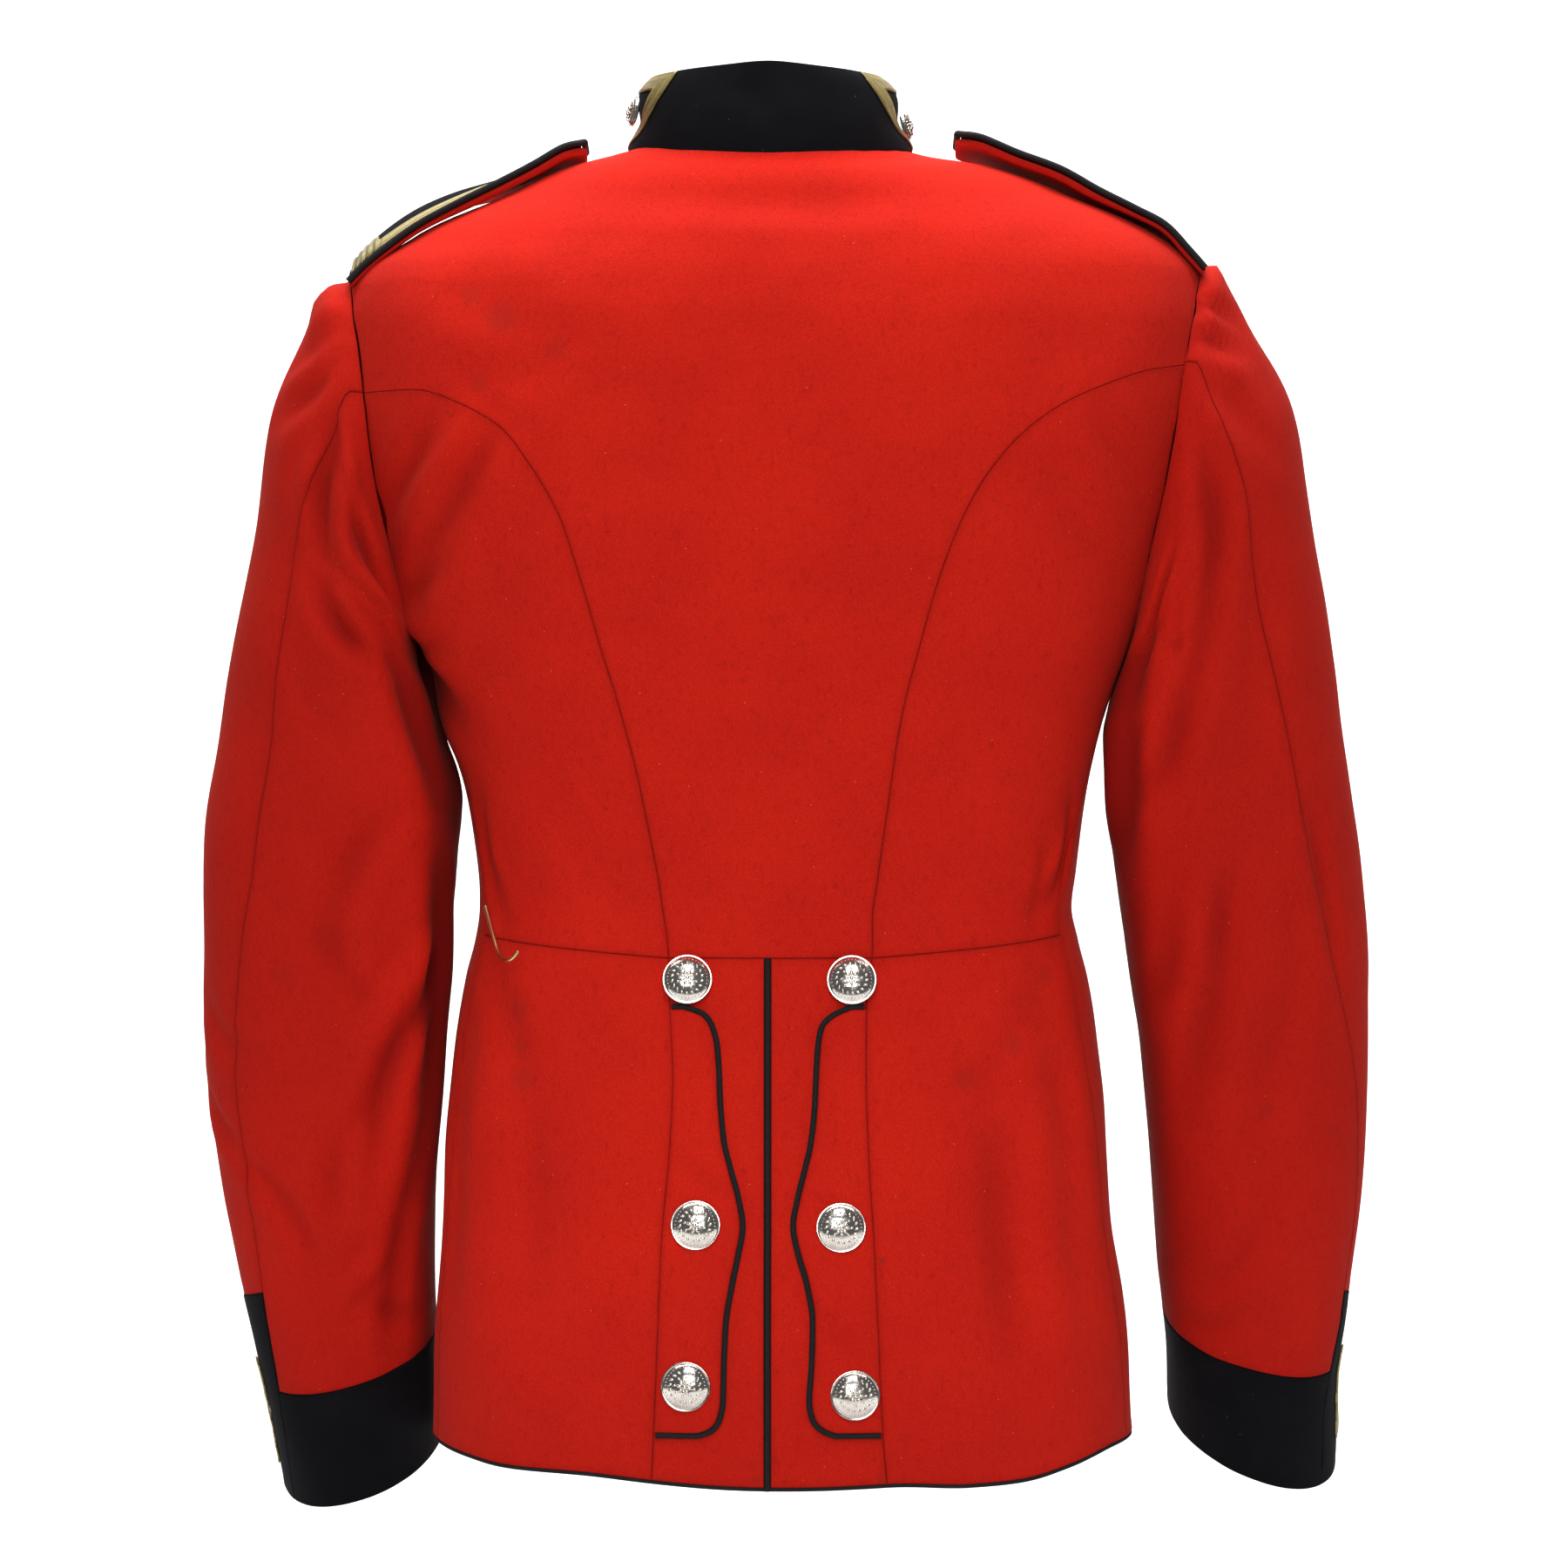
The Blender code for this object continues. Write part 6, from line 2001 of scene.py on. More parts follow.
@dataclass(frozen=True)
class ShoulderStrap:
    """A shoulder strap: black cloth, its red lining, its piped edge and its frame of lace.

    Args:
        maker: What makes the sheets.
        side: Whose strap it is.
        lace_clearance: The room between the strap and its lace.
        end_ribs: How many ribs cross the lace at the outer end.
        rib_height: How high those stand.
        pitch: The greatest step on the strap.
        cord_rise: How far its cord's middle stands above its own.
        lining_margin: How far the lining reaches out under the cord.
        lining_end: How far it does at the neck end.
        lining_edges: Stations, and how thick the lining's edges are there.
        lining_rolls: Over how much of its width each border of the lining rounds off.
        width: About how wide the strap is.
        length: About how long it is.
        clearance: The room between its layers and beside its cord.
        lace_columns: How many places its frame of lace has across.
        lace_step: The greatest step along that.
    """

    maker: ClothMaker
    side: Side
    lace_clearance: float = 0.1
    end_ribs: float = 5.5
    rib_height: float = 0.6
    pitch: float = 2.4
    cord_rise: float = 1.7
    lining_margin: float = 2.3
    lining_end: float = 3.7
    lining_edges: tuple[tuple[float, ...], tuple[float, ...]] = (
        (0, 1, 1.6, 2.8, 3.5, 4.2, 5, 7, 8),
        (2.2, 2.6, 2.2, 2.3, 2.8, 3.6, 3.6, 4.0, 4.4),
    )
    lining_rolls: tuple[float, float, float, float] = (0.6, 3.0, 1.3, 1.3)
    width: float = 54.0
    length: float = 138.0
    clearance: float = 0.05
    lace_columns: int = 25
    lace_step: float = 1.3

    @property
    def form(self) -> StrapForm:
        """The strap's surface."""
        return STRAP_FORMS[self.side]

    @property
    def lace_lift(self) -> float:
        """How far the middle of the lace lies above the strap's middle."""
        return STRAP_CLOTH / 2 + self.lace_clearance + LACE / 2

    def edge(self, outward: float) -> Array:
        """A line round the strap's two sides and neck end, this far outside them.

        Args:
            outward: The distance outside the strap.

        Returns:
            The line's points.
        """
        form, stations = self.form, np.linspace(0, STRAP_STATIONS, 49)
        half = form.table.at("half_width", stations)
        step = np.gradient(form.point(0 * stations, stations), axis=0)
        length = np.linalg.norm(step, axis=1)
        onward = step / length[:, None]
        taper = np.gradient(half) / length
        lean = np.hypot(1, taper)
        reach = 1 + outward / lean / half
        shift = onward * (-taper * outward / lean)[:, None]
        rear = form.point(reach, stations) + shift
        front = form.point(-reach, stations) + shift
        corner = np.linspace(float(np.arctan(-taper[-1])), np.pi / 2, 9)[1:]
        corner_reach = 1 + outward * np.cos(corner) / half[-1]
        corner_out = onward[-1] * (outward * np.sin(corner))[:, None]
        last = np.full(len(corner), float(STRAP_STATIONS))
        rear_corner = form.point(corner_reach, last) + corner_out
        front_corner = form.point(-corner_reach, last) + corner_out
        return np.concatenate([rear, rear_corner, front_corner[::-1], front[::-1]])

    def lace_path(self, share: float) -> Array:
        """The frame's line at this share of its width in from its outer edge, as (reach, station).

        Args:
            share: Nought at the frame's outer edge and one at its inner.

        Returns:
            A closed line, without its last place.
        """
        inward = STRAP_LACE_INSET + share * LACE_WIDTH
        run = np.linspace(0.3 + STRAP_END_LACE * share, 7.75 - share, 33)
        reach = 1 - inward / self.form.table.at("half_width", run)
        rear, front = np.stack([reach, run], -1), np.stack([-reach, run], -1)
        over = np.linspace(1, -1, 15)[1:-1]
        tip = np.stack([over * reach[-1], run[-1] + 0.1 * (1 - over**2)], -1)
        end = np.stack([-over * reach[0], np.full(len(over), run[0])], -1)
        return np.concatenate([rear, tip, front[::-1], end])

    def ribs(self, places: Array, share: Array) -> tuple[Array, Array]:
        """The ribs across the strap's outer end: how high they stand, and how deep it is between them.

        Args:
            places: The frame's places.
            share: How far across the frame each lies.

        Returns:
            The heights and the depths.
        """
        width = STRAP_END_LACE + 0.35
        depth = np.clip((places[..., 1] - 0.3) / width, 0, 1)
        wave = 0.5 - 0.5 * np.cos(2 * np.pi * self.end_ribs * depth)
        inside = np.clip((1 - depth) * 8, 0, 1) + 0 * share
        return self.rib_height * wave * inside, 10 * (1 - wave) * inside

    def build(self) -> None:
        """Makes the cloth, the lining, the piping and the lace."""
        side = self.side.value
        across = edge_shares(self.width, self.pitch)[0] * 2 - 1
        stations = edge_shares(self.length, self.pitch)[0][:, None] * STRAP_STATIONS
        self.maker.sheet(
            f"strap_{side}",
            Slot.BLACK,
            self.form,
            np.stack([across + 0 * stations, stations + 0 * across], -1),
            STRAP_CLOTH,
            creases=Creases(self.form, STRAP_CREASES),
            borders=Borders(rolls=(STRAP_CLOTH / 2,) * 4),
            wavy=0.0,
            held="laid",
            rests_on=[f"top_sleeve_{side}"],
        )
        wider = 1 + self.lining_margin / self.form.table.at("half_width", stations)
        longer = 1 + self.lining_end / self.length
        edge = np.interp(stations, *self.lining_edges)
        centre = np.minimum(edge, STRAP_LINING + stations / 2)
        thick = centre + (edge - centre) * across**2
        self.maker.sheet(
            f"strap_lining_{side}",
            Slot.RED,
            self.form,
            np.stack([across * wider, stations * longer + 0 * across], -1),
            thick,
            -(STRAP_CLOTH + thick) / 2 - self.clearance,
            borders=Borders(rolls=self.lining_rolls),
            wavy=0.0,
            held="laid",
            rests_on=[f"strap_{side}"],
        )
        line = self.edge(STRAP_PIPE + self.clearance) + np.array([0, 0, self.cord_rise])
        Cord(f"strap_piping_{side}", Slot.CORD, STRAP_PIPE, line).make(self.maker.finishes)
        frame = LaceFrame(self.maker, self.form, self.lace_path, self.lace_columns, self.lace_step)
        frame.make(f"strap_lace_{side}", self.lace_lift, f"strap_{side}", self.ribs)


# ---------------------------------------------------------------- cords, hook and buttons


@dataclass(frozen=True)
class Cord:
    """A round cord or wire along a line of points.

    Args:
        name: The CAD node's name.
        slot: The record's material slot.
        radius: Its radius, in millimetres.
        line: Its points, in millimetres.
        ends: The share of the radius at its first and last point.
    """

    name: str
    slot: Slot
    radius: float
    line: Array
    ends: tuple[float, float] = (1.0, 1.0)

    def make(self, finishes: dict[Slot, bpy.types.Material]) -> bpy.types.Object:
        """Args:
            finishes: The material of each slot.

        Returns:
            The piece.
        """
        curve = bpy.data.curves.new(self.name + PIECE_ENDING, "CURVE")
        curve.dimensions = "3D"
        curve.bevel_depth = self.radius * MM
        curve.bevel_resolution = 3
        curve.use_fill_caps = True
        spline = curve.splines.new("POLY")
        spline.points.add(len(self.line) - 1)
        spline.points.foreach_set("co", np.column_stack([self.line * MM, np.ones(len(self.line))]).ravel())
        for point, share in zip((spline.points[0], spline.points[-1]), self.ends):
            point.radius = share
        piece = bpy.data.objects.new(curve.name, curve)
        bpy.context.scene.collection.objects.link(piece)
        alone(piece)
        bpy.ops.object.convert(target="MESH")
        bpy.ops.object.shade_smooth_by_angle(angle=math.radians(50))
        piece.data.materials.clear()
        piece.data.materials.append(finishes[self.slot])
        stands_for(piece, self.slot, self.name)
        LOG.info("%s: %d faces", piece.name, len(piece.data.polygons))
        return piece


def alone(piece: bpy.types.Object) -> None:
    """Makes a piece the only selected one, and the active one.

    Args:
        piece: The piece.
    """
    bpy.ops.object.select_all(action="DESELECT")
    piece.select_set(True)
    bpy.context.view_layer.objects.active = piece


@dataclass(frozen=True)
class Pipings:
    """The cords in the vent, down the front edge, along the hem and round the slashes.

    Args:
        maker: What makes the sheets.
        creases: The body's creases, which the cords follow.
        pitch: The greatest step along the vent's cord.
        tuck: How far a cord's end is tucked under its neighbour.
        vent_drop: How far the vent's cord hangs below the hem, in the hem cord's radii.
        hem_drop: How far the hem's cord hangs below the cloth's end, in its radii.
        hem_gap: How far the hem's cords keep from the middle of the vent, as a turn in radians.
        front_points: How many points the front edge's cord has.
        hem_points: How many points each of the hem's cords has.
        slash_ends: How far a slash's cord rises above its first and last point, in millimetres.
        clearance: The room between a slash's cord and the skirt.
    """

    maker: ClothMaker
    creases: Creases
    pitch: float = 2.5
    tuck: float = 1.0
    vent_drop: float = 1.6
    hem_drop: float = 0.7
    hem_gap: float = 0.004
    front_points: int = 150
    hem_points: int = 190
    slash_ends: tuple[float, float] = (6.0, 22.0)
    clearance: float = 0.1

    def _on_body(self, places: Array, height: float) -> Array:
        """Points this far out of the body's cloth, creases and all."""
        return on_cloth(BODY_FORM, self.creases, places, height)[0]

    def _cord(self, name: str, radius: float, line: Array) -> None:
        """Makes one black cord."""
        Cord(name, Slot.CORD, radius, line).make(self.maker.finishes)

    def build(self) -> None:
        """Makes all of them."""
        (vent,) = read_together(BODY_FORM, [[SEAMS.vent()]], self.pitch)
        points = self._on_body(vent, 0.0)
        points[0, 2] -= self.tuck
        points[-1, 2] -= self.vent_drop * HEM_PIPE
        self._cord("vent_piping", SEAM_PIPE, points)
        heights = np.linspace(float(SEAMS.hem_height(np.array(-np.pi / 2))), NECK, self.front_points)
        points = self._on_body(SEAMS.front_edge(heights), 0.0)
        points[-1, 2] -= self.tuck
        self._cord("front_piping", SEAM_PIPE, points)
        drop = np.array([0, 0, -self.hem_drop * HEM_PIPE])
        start = float(vent[-1, 0])
        front = float(SEAMS.front_edge(heights[:1])[0, 0])
        for side in Side:
            short = self.hem_gap * side.sign
            end = front if side is Side.LEFT else front + 2 * np.pi
            turns = np.linspace(start - short, end + short, self.hem_points)
            places = np.stack([turns, SEAMS.hem_height(turns)], -1)
            self._cord(f"hem_piping_{side.value}", HEM_PIPE, self._on_body(places, 0.0) + drop)
            line = Skirts.slash_line(side)
            first, last = ([reach, 0.0] for reach in self.slash_ends)
            path = np.concatenate([line[:1] + first, line, line[-1:] + last])
            seam = PLAIT.at(side.value + "_across", path[[0, -1], 1])
            path[[0, -1], 0] = seam - self.tuck
            places = BODY_FORM.place(path[:, 0] * side.sign, path[:, 1])
            points = self._on_body(places, CLOTH / 2 + self.clearance + SLASH_PIPE)
            self._cord(f"slash_piping_{side.value}", SLASH_PIPE, points)


def on_cloth(form: Form, creases: Creases, places: Array, height: float) -> tuple[Array, Array]:
    """Points this far out of a form's creased cloth, and its normals there.

    Args:
        form: The form.
        creases: Its creases.
        places: The form's two numbers.
        height: The distance from the middle of the cloth.

    Returns:
        The points and the normals.
    """
    a, b = places[..., 0], places[..., 1]
    points, normals = form.point(a, b), form.normal(a, b)
    lift = creases.lift(a, b) + waves(points, SLOW_WAVES) + height
    return points + normals * lift[..., None], normals


@dataclass(frozen=True)
class Ring:
    """A ring of small squashed balls on a button's dome, in shares of the button's radius.

    Args:
        count: How many balls it has.
        across: How far from the crown they stand.
        size: Each ball's half length outward, half width and half height.
        segments: How many sides each has.
        turn: How far each is turned out of line, in radians. At nought each leans with the dome.
    """

    count: int
    across: float
    size: tuple[float, float, float]
    segments: int
    turn: float = 0.0


@dataclass(frozen=True)
class ButtonPattern:
    """A domed button with a boss, a rosette, a ring of leaves and a ring of beads.

    Args:
        profile: Its outline from the back's edge to the crown, as shares of its radius: across and up.
        facets: How many sides its outline has.
        rings: The boss, the two rows of petals, the leaves and the beads.
    """

    profile: tuple[tuple[float, float], ...] = (
        (0.94, 0.0),
        (0.99, 0.03),
        (1.0, 0.075),
        (0.975, 0.108),
        (0.935, 0.115),
        (0.905, 0.10),
        (0.885, 0.108),
        (0.86, 0.14),
        (0.80, 0.185),
        (0.70, 0.245),
        (0.58, 0.30),
        (0.44, 0.348),
        (0.29, 0.381),
        (0.14, 0.397),
    )
    facets: int = 72
    rings: tuple[Ring, ...] = (
        Ring(1, 0.0, (0.095, 0.095, 0.065), 14),
        Ring(8, 0.215, (0.125, 0.07, 0.058), 12),
        Ring(8, 0.40, (0.07, 0.05, 0.042), 10, 0.39),
        Ring(18, 0.60, (0.11, 0.05, 0.045), 10, 0.62),
        Ring(36, 0.80, (0.03, 0.03, 0.032), 8),
    )

    def _height(self, across: float) -> float:
        """The dome's height at a share of the radius.

        Args:
            across: The share of the radius.

        Returns:
            The height, in the same measure.
        """
        reach = [place[0] for place in self.profile[::-1]]
        height = [place[1] for place in self.profile[::-1]]
        return float(np.interp(across, reach[: -3], height[: -3]))

    def _relief(self, ring: Ring) -> None:
        """Sets a ring of small squashed balls on the dome.

        Args:
            ring: The ring.
        """
        across = ring.across
        slope = (self._height(across + 0.02) - self._height(across - 0.02)) / 0.04
        lean = -math.atan(slope) if ring.turn == 0.0 else 0.0
        for number in range(ring.count):
            angle = 2 * math.pi * (number + 0.5) / ring.count
            bpy.ops.mesh.primitive_uv_sphere_add(
                segments=ring.segments,
                ring_count=max(ring.segments // 2, 4),
                radius=1.0,
                location=(across * math.cos(angle), across * math.sin(angle), self._height(across)),
                rotation=(0.0, lean, angle + ring.turn),
                scale=ring.size,
            )

    def model(self) -> bpy.types.Object:
        """Models the button with a radius of one, its back at nought and its crown up.

        Returns:
            The model, which the buttons are copied from.
        """
        bpy.ops.object.select_all(action="DESELECT")
        bpy.ops.mesh.primitive_circle_add(vertices=self.facets, radius=self.profile[0][0], fill_type="NGON")
        piece = bpy.context.active_object
        bpy.ops.object.mode_set(mode="EDIT")
        bpy.ops.mesh.select_all(action="SELECT")
        for (reach, height), (next_reach, next_height) in zip(self.profile, self.profile[1:]):
            bpy.ops.mesh.extrude_region_move(
                MESH_OT_extrude_region={}, TRANSFORM_OT_translate={"value": (0, 0, next_height - height)}
            )
            scale = next_reach / reach
            bpy.ops.transform.resize(value=(scale, scale, 1), center_override=(0, 0, next_height))
        bpy.ops.mesh.poke(offset=0.002)
        for ring in self.rings:
            self._relief(ring)
        bpy.ops.mesh.select_all(action="SELECT")
        bpy.ops.mesh.normals_make_consistent(inside=False)
        bpy.ops.object.mode_set(mode="OBJECT")
        bpy.ops.object.shade_smooth_by_angle(angle=math.radians(42))
        return piece


@dataclass(frozen=True)
class Buttons:
    """The buttons of the back, the front, the collar and the straps.

    Args:
        finishes: The material of each slot.
        creases: The body's creases, which the buttons follow.
        collar: The collar that two of them sit on.
        straps: The straps that two of them sit on.
        pattern: What they all look like.
        waist_tilt: How far the two waist buttons tip over their pipings, in degrees.
        waist_lift: How much of that slope also tips them up.
        waist_seat: How high they sit over the skirt, in the piping's radii.
        collar_height: How much taller the collar's buttons stand than the others, for their size.
        collar_tip: The slope at which those face back.
        tip_lift: How much of that slope lifts them, so that their rims clear the collar.
        clearance: The room under a button.
        back_spin: The turn from one back button to the next, in radians.
        front_spin: The turn from one front button to the next.
        small_spin: The turn of the collar's and straps' buttons.
    """

    finishes: dict[Slot, bpy.types.Material]
    creases: Creases
    collar: Collar
    straps: dict[Side, ShoulderStrap]
    pattern: ButtonPattern = ButtonPattern()
    waist_tilt: float = 7.0
    waist_lift: float = 0.6
    waist_seat: float = 1.6
    collar_height: float = 1.2
    collar_tip: float = 0.26
    tip_lift: float = 0.7
    clearance: float = 0.1
    back_spin: float = 0.41
    front_spin: float = 0.3
    small_spin: float = 0.2

    def _place(
        self,
        model: bpy.types.Object,
        name: str,
        radius: float,
        place: Array,
        out: Array,
        spin: float,
        taller: float = 1.0,
    ) -> None:
        """Sets a copy of the button with its back at a place and its crown outward.

        Args:
            model: The button that is copied.
            name: The CAD node's name.
            radius: Its radius, in millimetres.
            place: The middle of its back.
            out: Where its crown faces.
            spin: How far it is turned about its middle, in radians.
            taller: How much taller it is than the model, for its size.
        """
        piece = model.copy()
        piece.data = model.data.copy()
        piece.name = piece.data.name = name + PIECE_ENDING
        bpy.context.scene.collection.objects.link(piece)
        outward = Vector(out.tolist())
        stand = Vector((0, 0, 1)).rotation_difference(outward).to_matrix().to_4x4()
        turned = Matrix.Rotation(spin, 4, "Z")
        sized = Matrix.Scale(radius * MM, 4) @ Matrix.Scale(taller, 4, Vector((0, 0, 1)))
        piece.data.transform(Matrix.Translation(Vector((place * MM).tolist())) @ stand @ turned @ sized)
        piece.data.materials.clear()
        piece.data.materials.append(self.finishes[Slot.SILVER])
        stands_for(piece, Slot.SILVER, name)

    def build(self) -> None:
        """Makes all eighteen."""
        model = self.pattern.model()
        flap = CLOTH / 2 + Skirts.flap_clearance + FLAP_CLOTH + self.clearance
        piping = CLOTH / 2 + self.clearance + self.waist_seat * SLASH_PIPE
        for number, (name, (across, z)) in enumerate(BACK_BUTTONS.items()):
            at_waist = name.startswith("waist")
            seat = BODY_FORM.place(across, z)
            place, out = on_cloth(BODY_FORM, self.creases, seat, piping if at_waist else flap)
            if at_waist:
                slope = math.tan(math.radians(self.waist_tilt))
                out = unit(out + np.array([-math.copysign(slope, across), 0.0, slope * self.waist_lift]))
            self._place(model, f"back_button_{name}", COAT_BUTTON, place, out, self.back_spin * number)
        for number, z in enumerate(np.linspace(FRONT_BUTTON_TOP, FRONT_BUTTON_BOTTOM, FRONT_BUTTON_COUNT)):
            seat = BODY_FORM.place(0.0, z, "front")
            place, out = on_cloth(BODY_FORM, self.creases, seat, CLOTH / 2 + self.clearance)
            name = f"front_button_{number + 1}"
            self._place(model, name, COAT_BUTTON, place, out, self.front_spin * number)
        for side in Side:
            lace = COLLAR_LACE[side.value]
            turn = np.array(side.turn(math.radians(lace["button_turn"])))
            rise = np.array(lace["button_rise"])
            out = COLLAR_FORM.normal(turn, rise)
            tipped = unit(out + np.array([0.0, self.collar_tip, 0.0]))
            top = CLOTH / 2 if side is Side.LEFT else self.collar.lace_lift + LACE / 2
            top += float(self.collar.creases.lift(turn, rise)) + COLLAR_BUTTON_GAP
            top += SMALL_BUTTON * self.collar_tip * self.tip_lift
            place = COLLAR_FORM.point(turn, rise) + out * top
            name = f"collar_button_{side.value}"
            self._place(model, name, SMALL_BUTTON, place, tipped, self.small_spin, self.collar_height)
            strap = self.straps[side]
            middle, station = np.array(0.0), np.array(STRAP_BUTTON_STATION)
            out = strap.form.normal(middle, station)
            place = strap.form.point(middle, station) + out * (strap.lace_lift + LACE / 2 + self.clearance)
            self._place(model, f"strap_button_{side.value}", SMALL_BUTTON, place, out, self.small_spin)
        bpy.data.objects.remove(model, do_unlink=True)
        LOG.info("buttons: 18 of %s facets", self.pattern.facets)


@dataclass(frozen=True)
class BeltHook:
    """The belt hook, a bent brass wire that leaves the left side seam at the waist.

    Args:
        finishes: The material of each slot.
        creases: The body's creases.
        steps: How many points its wire has.
        stand_off: How far it keeps off the creased cloth.
        smoothings: How often its line is smoothed.
        tip: How far its rounded tip reaches past its last point, as a share of the last step.
        ends: The share of its radius at both ends.
    """

    finishes: dict[Slot, bpy.types.Material]
    creases: Creases
    steps: int = 48
    stand_off: float = 2.6
    smoothings: int = 8
    tip: float = 0.35
    ends: tuple[float, float] = (1.0, 0.8)

    def build(self) -> None:
        """Makes the hook."""
        rows = np.array(HOOK_ROWS)
        run = run_along(rows)
        table = Sections(("run", "across", "z", "off"), np.column_stack([run, rows]))
        even = np.linspace(0, run[-1], self.steps)
        across, z, off = (table.at(name, even) for name in ("across", "z", "off"))
        out = on_cloth(BODY_FORM, self.creases, BODY_FORM.place(across, z), 0.0)[1]
        places = BODY_FORM.place(across - out[:, 0] * off, z)
        points, out = on_cloth(BODY_FORM, self.creases, places, self.stand_off)
        line = points + out * off[:, None]
        for _ in range(self.smoothings):
            line[1:-1] = (line[:-2] + 2 * line[1:-1] + line[2:]) / 4
        tip = line[-1] + (line[-1] - line[-2]) * self.tip
        Cord("belt_hook", Slot.BRASS, HOOK_WIRE, np.vstack([line, tip]), self.ends).make(self.finishes)


# ---------------------------------------------------------------- finishes


class Wire:
    """An output of a node, with arithmetic that adds the nodes for it."""

    def __init__(self, recipe: "Recipe", socket: bpy.types.NodeSocket) -> None:
        """Keeps the recipe and the socket."""
        self.recipe = recipe
        self.socket = socket

    def _math(self, operation: str, *values: Any) -> "Wire":
        """A maths node on these values."""
        return self.recipe.node("ShaderNodeMath", inputs=dict(enumerate(values)), operation=operation)

    def __add__(self, other: Any) -> "Wire":
        """The sum."""
        return self._math("ADD", self, other)

    def __radd__(self, other: Any) -> "Wire":
        """The sum."""
        return self._math("ADD", other, self)

    def __sub__(self, other: Any) -> "Wire":
        """The difference."""
        return self._math("SUBTRACT", self, other)

    def __rsub__(self, other: Any) -> "Wire":
        """The difference, the other way."""
        return self._math("SUBTRACT", other, self)

    def __mul__(self, other: Any) -> "Wire":
        """The product."""
        return self._math("MULTIPLY", self, other)

    def __truediv__(self, other: Any) -> "Wire":
        """The quotient."""
        return self._math("DIVIDE", self, other)

    def most(self, other: Any) -> "Wire":
        """The greater of the two."""
        return self._math("MAXIMUM", self, other)

    def size(self) -> "Wire":
        """The value without its sign."""
        return self._math("ABSOLUTE", self)

    def sine(self) -> "Wire":
        """The sine."""
        return self._math("SINE", self)

    def step(self, low: float, high: float) -> "Wire":
        """Nought below low and one above high, or the other way where low is the greater, softly between.

        Args:
            low: Where the step starts.
            high: Where it ends.

        Returns:
            The softened step.
        """
        rising = low < high
        inputs = {"Value": self, "From Min": min(low, high), "From Max": max(low, high)}
        inputs |= {"To Min": 0.0 if rising else 1.0, "To Max": 1.0 if rising else 0.0}
        return self.recipe.node("ShaderNodeMapRange", inputs=inputs, interpolation_type="SMOOTHSTEP")


